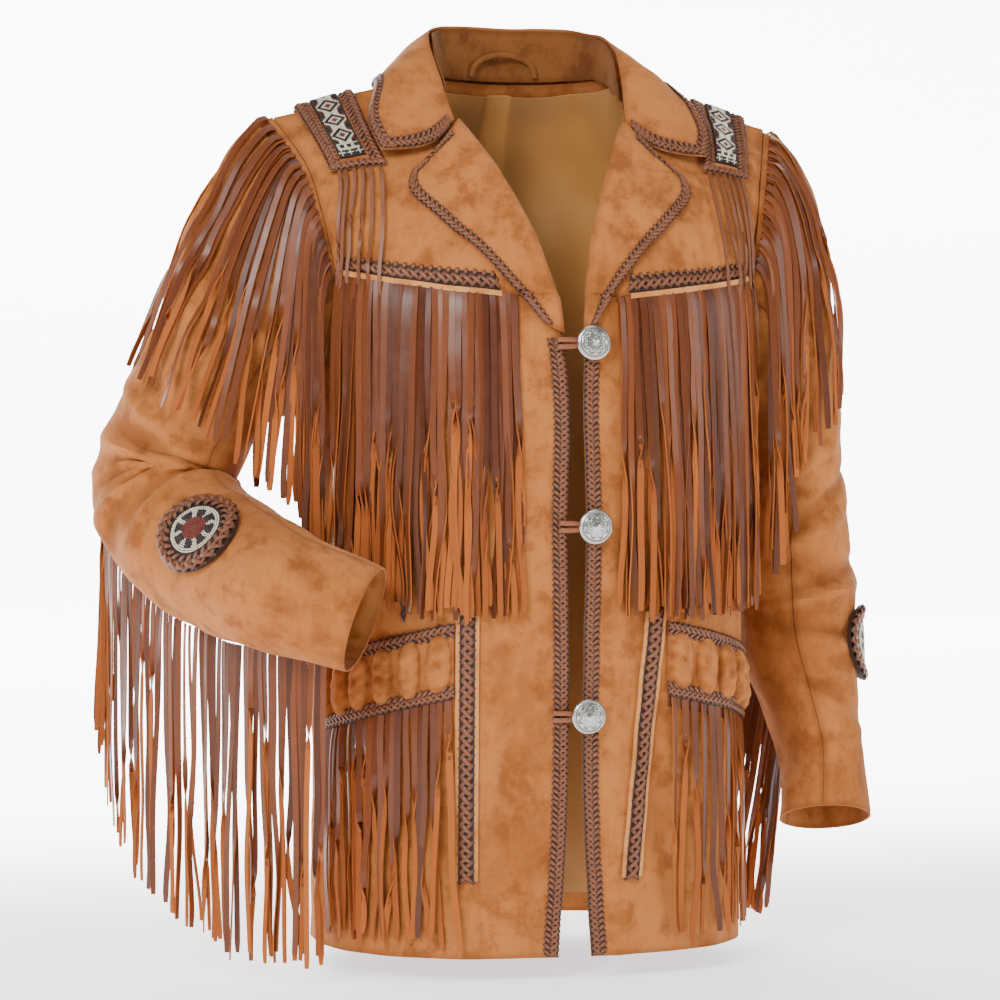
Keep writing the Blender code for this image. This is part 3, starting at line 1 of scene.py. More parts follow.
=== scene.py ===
# %% [markdown]
# # A fringed suede western jacket
# The real jacket is cut from soft tan suede, laced along every edge with brown leather, and hung with long
# leather fringe. Here each panel is a surface of two parameters, so a seam, a braid or a strand can ask the
# panel where it is and stay on it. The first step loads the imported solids, which fix the size and the place
# of every piece.

# %% Load the frame
import json
import math

import bpy
import numpy as np
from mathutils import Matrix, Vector

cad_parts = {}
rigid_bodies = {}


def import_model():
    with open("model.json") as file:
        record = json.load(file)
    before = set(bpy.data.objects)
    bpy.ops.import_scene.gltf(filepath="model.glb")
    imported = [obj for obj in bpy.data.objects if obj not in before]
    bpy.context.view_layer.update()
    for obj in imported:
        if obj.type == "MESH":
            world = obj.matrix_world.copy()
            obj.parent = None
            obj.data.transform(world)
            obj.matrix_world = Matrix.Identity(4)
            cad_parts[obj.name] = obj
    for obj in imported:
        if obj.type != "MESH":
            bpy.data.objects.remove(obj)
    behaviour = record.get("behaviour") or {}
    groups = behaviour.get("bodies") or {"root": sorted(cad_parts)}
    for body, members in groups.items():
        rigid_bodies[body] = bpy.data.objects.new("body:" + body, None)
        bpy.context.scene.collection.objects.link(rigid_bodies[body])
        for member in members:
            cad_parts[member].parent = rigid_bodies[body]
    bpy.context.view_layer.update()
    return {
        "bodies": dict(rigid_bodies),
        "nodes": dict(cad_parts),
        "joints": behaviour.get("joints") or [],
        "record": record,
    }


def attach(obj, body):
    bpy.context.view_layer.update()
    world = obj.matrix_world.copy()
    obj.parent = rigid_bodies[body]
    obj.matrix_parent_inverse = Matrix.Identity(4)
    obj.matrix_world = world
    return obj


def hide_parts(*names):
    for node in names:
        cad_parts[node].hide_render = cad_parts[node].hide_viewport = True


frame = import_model()

# %% [markdown]
# ## The sizes that the pattern needs
# A tailor works from a few measures: heights of the seams, girth at several heights, the run of the armhole
# and of the lapel. These are the same tables that the solids were made from, in metres, with the neck base
# at the origin.

# %% Measures of the body and the fronts
# Cloth thicknesses and the gap between pieces
SUEDE = 0.0020
SATIN = 0.0010
LACE = 0.0018
CLEAR = 0.0006

# Driving heights
FRONT_YOKE_Z = -0.205
FRONT_YOKE_ARM_Z = -0.180
BACK_YOKE_Z = -0.150
UNDERARM_Z = -0.300
FIRST_BUTTON_Z = -0.243
HEM_Z = -0.755
SQUARENESS = 2.5
FRONT_CENTRE_X = 0.005
RIGHT = -1
LEFT = 1
SIDES = (("right", RIGHT), ("left", LEFT))

# Body sections: height, half width, front depth, back depth
BODY = np.array((
    (-0.760, 0.187, 0.156, 0.121),
    (-0.640, 0.186, 0.157, 0.114),
    (-0.520, 0.187, 0.160, 0.110),
    (-0.420, 0.190, 0.162, 0.115),
    (-0.300, 0.197, 0.160, 0.124),
    (-0.205, 0.203, 0.148, 0.127),
    (-0.130, 0.205, 0.128, 0.122),
))

# Front edge: height, distance of the edge from the front centre line
FRONT_EDGE = np.array((
    (-0.760, 0.0150),
    (-0.650, 0.0080),
    (-0.555, 0.0065),
    (-0.400, 0.0085),
    (-0.243, 0.0100),
    (-0.205, 0.0165),
    (-0.130, 0.0400),
))

# Armhole on the body section: height, front angle, back angle, in degrees from the front
ARMHOLE = np.array((
    (-0.300, 90.0, 90.0),
    (-0.285, 79.0, 100.0),
    (-0.260, 71.0, 108.0),
    (-0.220, 64.5, 114.0),
    (-0.180, 61.0, 117.0),
    (-0.150, 59.5, 118.0),
))

# Points that close the yokes, each for the wearer's left: x, y, z
SHOULDER_POINT = (0.222, 0.000, -0.044)
NECK_POINT = (0.083, 0.000, 0.000)
ARMHOLE_FRONT = ((0.2020, -0.0520, -0.0900), (0.1920, -0.0730, -0.1350))
ARMHOLE_BACK = ((0.2120, 0.0380, -0.0680), (0.2000, 0.0640, -0.1080))
BACK_NECK_DEPTH = 0.085

# Roll line of the lapel: height, x, y
ROLL_LINE = np.array((
    (-0.2430, 0.0100, -0.1560),
    (-0.2050, 0.0165, -0.1450),
    (-0.1560, 0.0290, -0.1260),
    (-0.1000, 0.0500, -0.0960),
    (-0.0500, 0.0750, -0.0560),
    (0.0000, 0.0830, 0.0000),
))

# Sleeve stations below the cap: share of the length, x, y, z, half width, half depth
BENT_SLEEVE = np.array((
    (0.40, -0.2880, 0.0080, -0.2900, 0.0600, 0.0680),
    (0.50, -0.3080, 0.0170, -0.3350, 0.0610, 0.0670),
    (0.60, -0.3140, 0.0150, -0.3740, 0.0640, 0.0660),
    (0.70, -0.2960, -0.0300, -0.4100, 0.0620, 0.0620),
    (0.80, -0.2640, -0.0880, -0.4340, 0.0590, 0.0570),
    (0.90, -0.2330, -0.1450, -0.4500, 0.0530, 0.0490),
    (1.00, -0.1770, -0.1720, -0.4700, 0.0470, 0.0440),
))
HANGING_SLEEVE = np.array((
    (0.40, 0.2480, 0.0120, -0.3250, 0.0440, 0.0750),
    (0.50, 0.2510, 0.0165, -0.3850, 0.0510, 0.0690),
    (0.60, 0.2550, 0.0175, -0.4450, 0.0560, 0.0640),
    (0.70, 0.2590, 0.0130, -0.5020, 0.0540, 0.0590),
    (0.80, 0.2670, 0.0000, -0.5560, 0.0430, 0.0530),
    (0.90, 0.2730, -0.0160, -0.6070, 0.0360, 0.0485),
    (1.00, 0.2690, -0.0340, -0.6580, 0.0400, 0.0450),
))
ARMHOLE_CENTRE_Z = -0.170
CAP_SHARE = 0.40
SHOULDER_SLOPE = (0.953, -0.300)
FAN = 9

# Sleeve folds: share of the length, angle round the sleeve, half width along, reach round, depth
BENT_FOLDS = (
    (0.47, 70, 0.016, 60, 0.0050),
    (0.53, 80, 0.014, 70, 0.0070),
    (0.59, 85, 0.013, 75, 0.0080),
    (0.65, 80, 0.015, 70, 0.0065),
    (0.74, 50, 0.018, 55, 0.0040),
)
HANGING_FOLDS = (
    (0.48, 130, 0.018, 60, 0.0040),
    (0.57, 110, 0.016, 70, 0.0050),
    (0.66, 100, 0.016, 60, 0.0045),
    (0.84, 60, 0.018, 60, 0.0030),
)
SLEEVES = {RIGHT: (BENT_SLEEVE, BENT_FOLDS), LEFT: (HANGING_SLEEVE, HANGING_FOLDS)}
FRONT_SLEEVE_SEAM = 112.0
SLEEVE_SEAM_GAP = 0.35
BACK_SLEEVE_SEAM = {RIGHT: 268.0, LEFT: 228.0}

# Collar: share from the front end to the back centre, then x, y, z of the fold and of the edge
COLLAR_FOLD = np.array((
    (0.00, 0.0765, -0.0600, -0.0480),
    (0.22, 0.0815, -0.0300, -0.0080),
    (0.45, 0.0830, 0.0080, 0.0290),
    (0.70, 0.0640, 0.0560, 0.0460),
    (1.00, 0.0000, 0.0830, 0.0500),
))
COLLAR_EDGE = np.array((
    (0.00, 0.1440, -0.0800, -0.0760),
    (0.10, 0.1500, -0.0640, -0.0560),
    (0.30, 0.1360, -0.0200, -0.0170),
    (0.50, 0.1270, 0.0300, -0.0140),
    (0.75, 0.0800, 0.0900, -0.0250),
    (1.00, 0.0000, 0.1180, -0.0320),
))
COLLAR_BULGE = 0.006
COLLAR_NOTCH = (0.0980, -0.0775)

# Outer edge of the lapel: share from the notch to the first button, x, z
LAPEL_EDGE = np.array((
    (0.00, 0.1190, -0.0990),
    (0.08, 0.1225, -0.1110),
    (0.30, 0.1000, -0.1390),
    (0.60, 0.0690, -0.1680),
    (1.00, 0.0200, -0.2270),
))
LAPEL_NOTCH = (0.0980, -0.0810)
LAPEL_LIFT = 0.0020
LAPEL_Z = (-0.052, -0.233)

# Trims
EDGE_LACING = 0.013
EPAULET_ACROSS = (0.50, 0.86)
EPAULET_FRONT = 0.60
EPAULET_BACK = 0.45
BEAD_MARGIN = 0.27
SHOULDER_SHARE = 0.6
BUTTON_RADIUS = 0.0145
BUTTONS = ((1, 0.0190, -0.243), (2, 0.0185, -0.395), (3, 0.0135, -0.553))

# Pockets: x of the inner strip at its top and foot, for each side
POCKET_STRIP_X = {RIGHT: (0.0960, 0.0960), LEFT: (0.0860, 0.0640)}
POCKET_OUTER = 0.90
POCKET_TOP = (-0.476, -0.511)
POCKET_FOOT = (-0.536, -0.570)
STRIP_Z = (-0.466, -0.690)
STRIP_WIDTH = 0.017
BULLET_LOOPS = 6
PATCH_LIFT = 0.0008

# Elbow rosette: share of the length, angle round the sleeve, radii of the ring and the disc
ROSETTE = {RIGHT: (0.785, 55.0), LEFT: (0.72, 20.0)}
ROSETTE_RING = (0.0240, 0.0370)
ROSETTE_DISC = 0.0232

# Fringes: outward lean of the sleeve strands, heights of the chest and pocket tips
SLEEVE_LEAN = {RIGHT: (0.16, 0.0), LEFT: (0.62, 0.42)}
CHEST_TIP_Z = {RIGHT: (-0.468, -0.428), LEFT: (-0.468, -0.455)}
POCKET_TIP_Z = (-0.748, -0.742)

# Lie of the trims and lengths of the fringes
BODY_CENTRE = np.array((0.0, 0.0, -0.35))
COLLAR_INSIDE = np.array((0.0, 0.0, -0.10))
ARMHOLE_INSIDE = {RIGHT: np.array((-0.17, 0.0, -0.17)), LEFT: np.array((0.17, 0.0, -0.17))}
LINING_GAP = 0.0016
HANGER_HALF = 0.029
HANGER_RISE = 0.020
HANGER_INSET = 0.0140
HANGER_FOOT_Z = 0.004
STAND_START = 0.16
STAND_FOOT_INSET = 0.0035
STAND_TOP_INSET = 0.0030
STAND_TOP_GAP = 0.0032
STAND_FRONT_Z = -0.018
STAND_DROP_SHARE = 0.25
GORGE_SHARE = 0.9
BRAID_FOOT = 0.012
YOKE_BRAID_END = 0.965
YOKE_BRAID_START = 0.055
CHEST_START = {RIGHT: 0.041, LEFT: 0.043}
POCKET_FRINGE_DOWN = 1.03
CORD_X = {RIGHT: 0.135, LEFT: 0.105}
CORD_Z = (-0.4475, -0.4745)
SLEEVE_LENGTH = 0.62
SLEEVE_START = 0.0010
FOLD_SLANT = 0.010
CHEST_END = 0.955
ARMHOLE_LENGTH = 0.250
SLEEVE_FRINGE_LENGTH = {RIGHT: 0.232, LEFT: 0.195}
THONG_LENGTHS = (0.150, 0.118, 0.160)

# %% [markdown]
# ## Smooth curves through short tables
# A table of a few rows is enough for a garment, if a cubic runs through the rows. The body section is a
# squared ellipse, because a chest is flatter in front than a circle.

# %% Curves, sections and panels
def smooth(table, at):
    """Cubic through a table's rows: its first column is the position, the rest the values."""
    order = np.argsort(table[:, 0])
    knots = table[order, 0]
    values = table[order, 1:]
    slopes = np.gradient(values, knots, axis=0)
    at = np.clip(np.asarray(at, float), knots[0], knots[-1])
    low = np.clip(np.searchsorted(knots, at) - 1, 0, len(knots) - 2)
    span = knots[low + 1] - knots[low]
    t = ((at - knots[low]) / span)[..., None]
    span = span[..., None]
    rise = t * t * (3 - 2 * t)
    lead = t * (1 - t) ** 2 * span
    tail = t * t * (t - 1) * span
    return values[low] * (1 - rise) + values[low + 1] * rise + slopes[low] * lead + slopes[low + 1] * tail


def unit(vectors):
    """Vectors of length one."""
    length = np.linalg.norm(vectors, axis=-1, keepdims=True)
    return vectors / np.maximum(length, 1e-12)


def mirror(points, side):
    """Points that are given for the wearer's left, on either side."""
    return points * np.array((side, 1.0, 1.0))


def ring(z, angle, side):
    """Body section at height z: a squared ellipse, angle 0 at the front and pi at the back."""
    half, front, back = np.moveaxis(smooth(BODY, z), -1, 0)
    power = 2 / SQUARENESS
    cosine = np.cos(angle)
    depth = np.where(cosine > 0, front, back)
    x = side * half * np.abs(np.sin(angle)) ** power
    y = -depth * np.sign(cosine) * np.abs(cosine) ** power
    return np.stack(np.broadcast_arrays(x, y, z), -1)


def ring_angle(z, x):
    """Angle of the front section's point that lies x from the middle."""
    half = smooth(BODY, z)[..., 0]
    return np.arcsin(np.clip(np.abs(x) / half, 0, 1) ** (SQUARENESS / 2))


def front_limits(side, z):
    """Angles of the front edge and of the side seam or armhole at height z."""
    edge = smooth(FRONT_EDGE, z)[..., 0] + side * FRONT_CENTRE_X
    outer = np.radians(smooth(ARMHOLE, z)[..., 0])
    outer = np.where(z < UNDERARM_Z, math.pi / 2, outer)
    return ring_angle(z, edge), outer


def front_wall(side, across, z):
    """Front panel: across runs from the front edge to the side, at height z."""
    inner, outer = front_limits(side, z)
    return ring(z, inner + (outer - inner) * across, side)


def front_across(side, x, z):
    """The across value of the front panel's point that lies x from the middle."""
    inner, outer = front_limits(side, z)
    return (ring_angle(z, x) - inner) / (outer - inner)


def front_seam_z(across):
    """The front yoke seam rises towards the armhole."""
    return FRONT_YOKE_Z + (FRONT_YOKE_ARM_Z - FRONT_YOKE_Z) * across


def back_wall(across, z):
    """Back panel: across runs from -1 at the right side seam to 1 at the left."""
    outer = np.radians(smooth(ARMHOLE, z)[..., 1])
    outer = np.where(z < UNDERARM_Z, math.pi / 2, outer)
    angle = math.pi - np.abs(across) * (math.pi - outer)
    side = np.where(across < 0, -1.0, 1.0)
    return ring(z, angle, side)


def through(points, t):
    """Smooth curve through a few points, evenly numbered from 0 to 1."""
    rows = np.array(points, float)
    table = np.column_stack((np.linspace(0, 1, len(rows)), rows))
    return smooth(table, t)


def roll_line(side, up):
    """Roll line from the front yoke seam, up 0, to the neck end of the shoulder, up 1."""
    z = FRONT_YOKE_Z * (1 - up)
    x, y = np.moveaxis(smooth(ROLL_LINE, z), -1, 0)
    return np.stack((side * x + FRONT_CENTRE_X * (1 - up), y, z), -1)


def coons(bottom, top, first, last, u, v):
    """Surface that fills four meeting curves: the two blends, less the corners' blend."""
    a = u[..., None]
    b = v[..., None]
    zero = np.zeros_like(u)
    one = np.ones_like(u)
    across = bottom(u) * (1 - b) + top(u) * b
    along = first(v) * (1 - a) + last(v) * a
    low = bottom(zero) * (1 - a) + bottom(one) * a
    high = top(zero) * (1 - a) + top(one) * a
    return across + along - low * (1 - b) - high * b


def front_yoke(side, across, up):
    """Front yoke: seam at up 0, shoulder at up 1, roll line at across 0, armhole at across 1."""
    seam_end = front_wall(LEFT, np.array(1.0), np.array(FRONT_YOKE_ARM_Z))
    arm = (seam_end, ARMHOLE_FRONT[1], ARMHOLE_FRONT[0], SHOULDER_POINT)
    shoulder = np.array((NECK_POINT, SHOULDER_POINT))

    def bottom(t):
        low = front_wall(side, t, front_seam_z(t))
        low_start = front_wall(side, np.zeros_like(t), front_seam_z(np.zeros_like(t)))
        start = roll_line(side, np.zeros_like(t))
        return low + (start - low_start) * ((1 - t) ** 4)[..., None]

    def top(t):
        return mirror(shoulder[0] + (shoulder[1] - shoulder[0]) * t[..., None], side)

    def first(t):
        return roll_line(side, t)

    def last(t):
        return mirror(through(arm, t), side)

    return coons(bottom, top, first, last, across, up)


def neck_curve(t):
    """Back neck from the right neck point, t 0, to the left one, t 1."""
    turn = math.pi * t
    x = -NECK_POINT[0] * np.cos(turn)
    y = BACK_NECK_DEPTH * np.sin(turn)
    return np.stack((x, y, np.zeros_like(t)), -1)


def shoulder_share(across):
    """Where |across| lies on the shoulder: 0 at the neck point, 1 at the armhole."""
    return np.clip((np.abs(across) - 0.5) / 0.5, 0, 1)


def back_yoke(across, up):
    """Back yoke: across -1 to 1 between the armholes, up 1 along the shoulders and the neck."""
    seam_end = back_wall(np.array(1.0), np.array(BACK_YOKE_Z))
    arm = (seam_end, ARMHOLE_BACK[1], ARMHOLE_BACK[0], SHOULDER_POINT)
    neck = np.array(NECK_POINT)
    outer = np.array(SHOULDER_POINT)

    def bottom(t):
        return back_wall(2 * t - 1, np.full_like(t, BACK_YOKE_Z))

    def top(t):
        value = 2 * t - 1
        side = np.where(value < 0, -1.0, 1.0)[..., None]
        line = neck + (outer - neck) * shoulder_share(value)[..., None]
        line = line * np.concatenate((side, np.ones_like(side), np.ones_like(side)), -1)
        return np.where((np.abs(value) < 0.5)[..., None], neck_curve(np.clip(value + 0.5, 0, 1)), line)

    def first(t):
        return mirror(through(arm, t), RIGHT)

    def last(t):
        return mirror(through(arm, t), LEFT)

    return coons(bottom, top, first, last, (across + 1) / 2, up)


def armhole_loop(side, count):
    """Armhole as rows of angle, x, y, z: 0 at the shoulder, 90 at the front, 180 underarm."""
    t = np.linspace(0, 1, count)
    one = np.ones(count)
    front_top = front_yoke(side, one, 1 - t)
    front_low = front_wall(side, one, FRONT_YOKE_ARM_Z + (UNDERARM_Z - FRONT_YOKE_ARM_Z) * t)
    back_low = back_wall(side * one, UNDERARM_Z + (BACK_YOKE_Z - UNDERARM_Z) * t)
    back_top = back_yoke(side * one, t)
    points = np.concatenate((front_top, front_low[1:], back_low[1:], back_top[1:-1]))
    angle = np.degrees(np.arctan2(-points[:, 1], points[:, 2] - ARMHOLE_CENTRE_Z)) % 360
    order = np.argsort(angle)
    return np.column_stack((angle[order], points[order]))


ARMHOLES = {side: armhole_loop(side, 120) for name, side in SIDES}


def armhole_at(side, angle):
    """Point of the armhole at an angle in degrees."""
    loop = ARMHOLES[side]
    turn = np.asarray(angle, float) % 360
    return np.stack([np.interp(turn, loop[:, 0], loop[:, k], period=360) for k in (1, 2, 3)], -1)


def sleeve_frames(side):
    """Top and front directions along a sleeve, carried from station to station without a twist."""
    stations = SLEEVES[side][0]
    share = np.linspace(CAP_SHARE, 1, 61)
    centre = smooth(stations, share)[:, :3]
    tangent = unit(np.gradient(centre, axis=0))
    padded = np.pad(tangent, ((FAN, FAN), (0, 0)), mode="edge")
    tangent = unit(np.stack([padded[k:k + 2 * FAN + 1].mean(0) for k in range(len(share))]))
    top = np.zeros_like(tangent)
    front = np.zeros_like(tangent)
    direction = np.array((side * 1.0, 0.0, 0.3))
    for k in range(len(share)):
        direction = direction - tangent[k] * np.dot(direction, tangent[k])
        direction = direction / np.linalg.norm(direction)
        top[k] = direction
        front[k] = np.cross(tangent[k], direction) * side
    return np.column_stack((share, top, front, tangent))


FRAMES = {side: sleeve_frames(side) for name, side in SIDES}


def sleeve_dent(side, angle, share):
    """Depth of the sleeve's folds at a place."""
    dent = np.zeros(np.broadcast(angle, share).shape)
    for place, centre, width, reach, depth in SLEEVES[side][1]:
        round_it = (angle - centre + 180) % 360 - 180
        along = (share - place) * SLEEVE_LENGTH + FOLD_SLANT * np.sin(np.radians(round_it * 1.7))
        dent = dent + depth * np.exp(-(along / width) ** 2) * np.exp(-(round_it / reach) ** 2)
    return dent


def sleeve_tube(side, angle, share):
    """Sleeve below its cap: ellipses along the centre line, drawn in at the folds."""
    station = smooth(SLEEVES[side][0], share)
    frame = smooth(FRAMES[side], share)
    turn = np.radians(angle)
    dent = sleeve_dent(side, angle, share)
    half_width = (station[..., 3] - dent)[..., None]
    half_depth = (station[..., 4] - dent)[..., None]
    point = station[..., :3] + unit(frame[..., :3]) * np.cos(turn)[..., None] * half_width
    return point + unit(frame[..., 3:6]) * np.sin(turn)[..., None] * half_depth


def sleeve(side, angle, share):
    """Whole sleeve: from the armhole a cap bends into the tube, tangent to it and to the shoulder."""
    angle, share = np.broadcast_arrays(np.asarray(angle, float), np.asarray(share, float))
    tube = sleeve_tube(side, angle, np.maximum(share, CAP_SHARE))
    rim = sleeve_tube(side, angle, np.full_like(share, CAP_SHARE))
    start = armhole_at(side, angle) + np.array((side * SLEEVE_START, 0.0, 0.0))
    reach = np.linalg.norm(rim - start, axis=-1, keepdims=True)
    leave = np.array((side * SHOULDER_SLOPE[0], 0.0, SHOULDER_SLOPE[1])) * reach * 0.8
    arrive = unit(smooth(FRAMES[side], np.array(CAP_SHARE))[6:9]) * reach
    t = np.clip(share / CAP_SHARE, 0, 1)[..., None]
    rise = t * t * (3 - 2 * t)
    cap = start * (1 - rise) + rim * rise + leave * (t * (1 - t) ** 2) + arrive * (t * t * (t - 1))
    return np.where((share < CAP_SHARE)[..., None], cap, tube)


def bare_sleeve(side):
    """Sleeve without its folds: turn in hundreds of degrees, share of the length."""
    return lambda turn, share: sleeve(side, turn * 100, share)


def collar(across, out):
    """Collar leaf: across -1 to 1 round the neck, out 0 at the fold and 1 at the edge."""
    share = 1 - np.abs(across)
    side = np.where(across < 0, -1.0, 1.0)[..., None] * np.array((1.0, 0.0, 0.0)) + np.array((0.0, 1.0, 1.0))
    fold = smooth(COLLAR_FOLD, share)
    edge = smooth(COLLAR_EDGE, share)
    t = out[..., None]
    notch = np.array((COLLAR_NOTCH[0], -0.0800, COLLAR_NOTCH[1]))
    gorge = notch - (smooth(COLLAR_FOLD, np.array(0.0)) + smooth(COLLAR_EDGE, np.array(0.0))) / 2
    near_end = np.exp(-(share / 0.10) ** 2)[..., None]
    swell = np.sin(math.pi * t)
    lift = np.array((0.5, -0.2, 0.9)) * COLLAR_BULGE
    shape = fold * (1 - t) + edge * t + swell * lift
    return (shape + gorge * swell * near_end * GORGE_SHARE) * side


def lapel_outline(side, along, out):
    """Lapel in the front view: x and z, out 0 on the roll line and 1 on its edge."""
    z_roll = LAPEL_Z[0] + (LAPEL_Z[1] - LAPEL_Z[0]) * along
    roll = smooth(ROLL_LINE, z_roll)
    edge = smooth(LAPEL_EDGE, along)
    near_top = np.exp(-(along / 0.06) ** 2)
    notch_x = LAPEL_NOTCH[0] - (roll[..., 0] + edge[..., 0]) / 2
    notch_z = LAPEL_NOTCH[1] - (z_roll + edge[..., 1]) / 2
    swell = np.sin(math.pi * out) * near_top
    x = roll[..., 0] * (1 - out) + edge[..., 0] * out + notch_x * swell
    z = z_roll * (1 - out) + edge[..., 1] * out + notch_z * swell
    return side * x + FRONT_CENTRE_X * np.clip(z / FRONT_YOKE_Z, 0, 1) * (1 - out), z


def normals(surface, u, v, centre):
    """Normals from small steps in both parameters, turned away from a centre inside the form."""
    step = 1e-3
    du = surface(u + step, v) - surface(u - step, v)
    dv = surface(u, v + step) - surface(u, v - step)
    normal = unit(np.cross(du, dv))
    return normal * np.sign(np.sum(normal * (surface(u, v) - centre)))


def grid_normals(points, centre):
    """Normals of a grid of points, turned away from a centre inside the form."""
    across = np.gradient(points, axis=1)
    along = np.gradient(points, axis=0)
    normal = unit(np.cross(across, along))
    return normal * np.sign(np.sum(normal * (points - centre)))


def row_z(top, row):
    """Height of a panel's row: 0 at the yoke seam, 1 at the underarm, 2 at the hem."""
    high = top + (UNDERARM_Z - top) * row
    low = UNDERARM_Z + (HEM_Z - UNDERARM_Z) * (row - 1)
    return np.where(row <= 1, high, low)


def front_rows(side, across, row):
    """Front panel with its height given as a row."""
    return front_wall(side, across, row_z(front_seam_z(across), row))


def back_rows(across, row):
    """Back panel with its height given as a row."""
    return back_wall(across, row_z(BACK_YOKE_Z, row))


def sleeve_centre(side, share):
    """Points inside a sleeve, level with each share: its middle, carried on to the armhole's."""
    share = np.asarray(share, float)
    tube = smooth(SLEEVES[side][0], np.maximum(share, CAP_SHARE))[..., :3]
    armhole = np.array((side * 0.205, 0.0, ARMHOLE_CENTRE_Z))
    blend = np.clip(share / CAP_SHARE, 0, 1)[..., None]
    return armhole * (1 - blend) + tube * blend


def shoulder_normal(side):
    """Both yokes share this direction along the shoulder seam, so their walls meet face to face."""
    along = np.array(SHOULDER_POINT) - np.array(NECK_POINT)
    return unit(np.array((-side * along[2], 0.0, along[0])))


def epaulet_surface(side):
    """Shoulder strip from the front yoke over the shoulder seam to the back yoke."""
    def surface(across, along):
        shoulder = EPAULET_ACROSS[0] + (EPAULET_ACROSS[1] - EPAULET_ACROSS[0]) * across
        up_front = EPAULET_FRONT + (1 - EPAULET_FRONT) * np.clip(along / SHOULDER_SHARE, 0, 1)
        behind = np.clip((along - SHOULDER_SHARE) / (1 - SHOULDER_SHARE), 0, 1)
        up_back = 1 - (1 - EPAULET_BACK) * behind
        front = front_yoke(side, shoulder, up_front)
        back = back_yoke(side * (0.5 + 0.5 * shoulder), up_back)
        return np.where((along < SHOULDER_SHARE)[..., None], front, back)
    return surface


def pocket_surface(side):
    """Pocket band: across from the inner strip to the side, down from its top to its foot."""
    def surface(across, down):
        outer_share = np.clip(across, 0, 1)
        top = POCKET_TOP[0] + (POCKET_TOP[1] - POCKET_TOP[0]) * outer_share
        foot = POCKET_FOOT[0] + (POCKET_FOOT[1] - POCKET_FOOT[0]) * outer_share
        z = top + (foot - top) * down
        inner = front_across(side, POCKET_STRIP_X[side][0], z)
        return front_wall(side, inner + (POCKET_OUTER - inner) * across, z)
    return surface


# %% [markdown]
# ## Worn suede has folds
# A garment on a form shows long soft folds that start at a seam, an elbow or an underarm. Each row below is
# one ridge or trough; together with slow ripples they move a panel in or out along its own normals. All
# pieces that lie on a panel ask the folded panel where it is, so they follow it.

# %% Folds of the body
# Columns: direction seen from above in degrees from the front, height, lean in degrees, half length,
# half width, rise
BODY_FOLDS = (
    (-27, -0.66, 5, 0.100, 0.015, 0.0034),
    (-40, -0.60, -7, 0.090, 0.013, -0.0026),
    (-10, -0.64, 3, 0.120, 0.011, -0.0022),
    (-18, -0.45, 10, 0.080, 0.014, 0.0020),
    (14, -0.69, -3, 0.090, 0.013, 0.0030),
    (27, -0.63, -6, 0.110, 0.014, -0.0026),
    (50, -0.60, 5, 0.100, 0.017, 0.0034),
    (20, -0.45, -8, 0.080, 0.014, -0.0018),
    (-62, -0.40, 32, 0.060, 0.012, -0.0036),
    (62, -0.40, -32, 0.060, 0.012, -0.0036),
    (-36, -0.150, 42, 0.050, 0.010, -0.0018),
    (33, -0.150, -44, 0.055, 0.010, -0.0020),
    (42, -0.130, -40, 0.050, 0.009, 0.0016),
    (150, -0.45, 8, 0.140, 0.020, 0.0042),
    (180, -0.52, 0, 0.160, 0.022, -0.0034),
    (-150, -0.47, -8, 0.130, 0.020, 0.0040),
    (120, -0.58, 6, 0.110, 0.018, -0.0036),
    (-120, -0.56, -6, 0.110, 0.018, -0.0036),
    (165, -0.69, 3, 0.080, 0.015, 0.0034),
    (-168, -0.70, -2, 0.080, 0.015, 0.0030),
    (135, -0.28, -35, 0.060, 0.013, -0.0030),
    (-135, -0.28, 35, 0.060, 0.013, -0.0030),
)
BODY_FOLD_STRENGTH = 1.25
METRES_PER_RADIAN = 0.18
RIPPLE_LENGTH = 0.060
RIPPLE_HEIGHT = 0.00055


def ripples(points, seed, length, height):
    """Sum of twelve plane waves of about one length, with directions and phases from a seed."""
    draw = np.random.default_rng(seed)
    ways = unit(draw.normal(size=(12, 3))) * (2 * math.pi / length * draw.uniform(0.6, 1.5, (12, 1)))
    phase = draw.uniform(0, 2 * math.pi, 12)
    return height * np.sin(points @ ways.T + phase).sum(-1) / math.sqrt(6)


def ridge(across, up, lean, long, wide, rise):
    """A bell across its line times a bell along it: off is the distance from the line."""
    turn = math.radians(lean)
    off = across * math.cos(turn) - up * math.sin(turn)
    along = across * math.sin(turn) + up * math.cos(turn)
    return rise * np.exp(-(off / wide) ** 2 - (along / long) ** 2)


def body_lift(points):
    """How far the body's cloth stands out at points: its folds and its ripples."""
    turn = np.arctan2(points[..., 0], -points[..., 1])
    total = ripples(points, 3, RIPPLE_LENGTH, RIPPLE_HEIGHT)
    for place, height, lean, long, wide, rise in BODY_FOLDS:
        across = ((turn - math.radians(place) + math.pi) % (2 * math.pi) - math.pi) * METRES_PER_RADIAN
        total = total + BODY_FOLD_STRENGTH * ridge(across, points[..., 2] - height, lean, long, wide, rise)
    return total


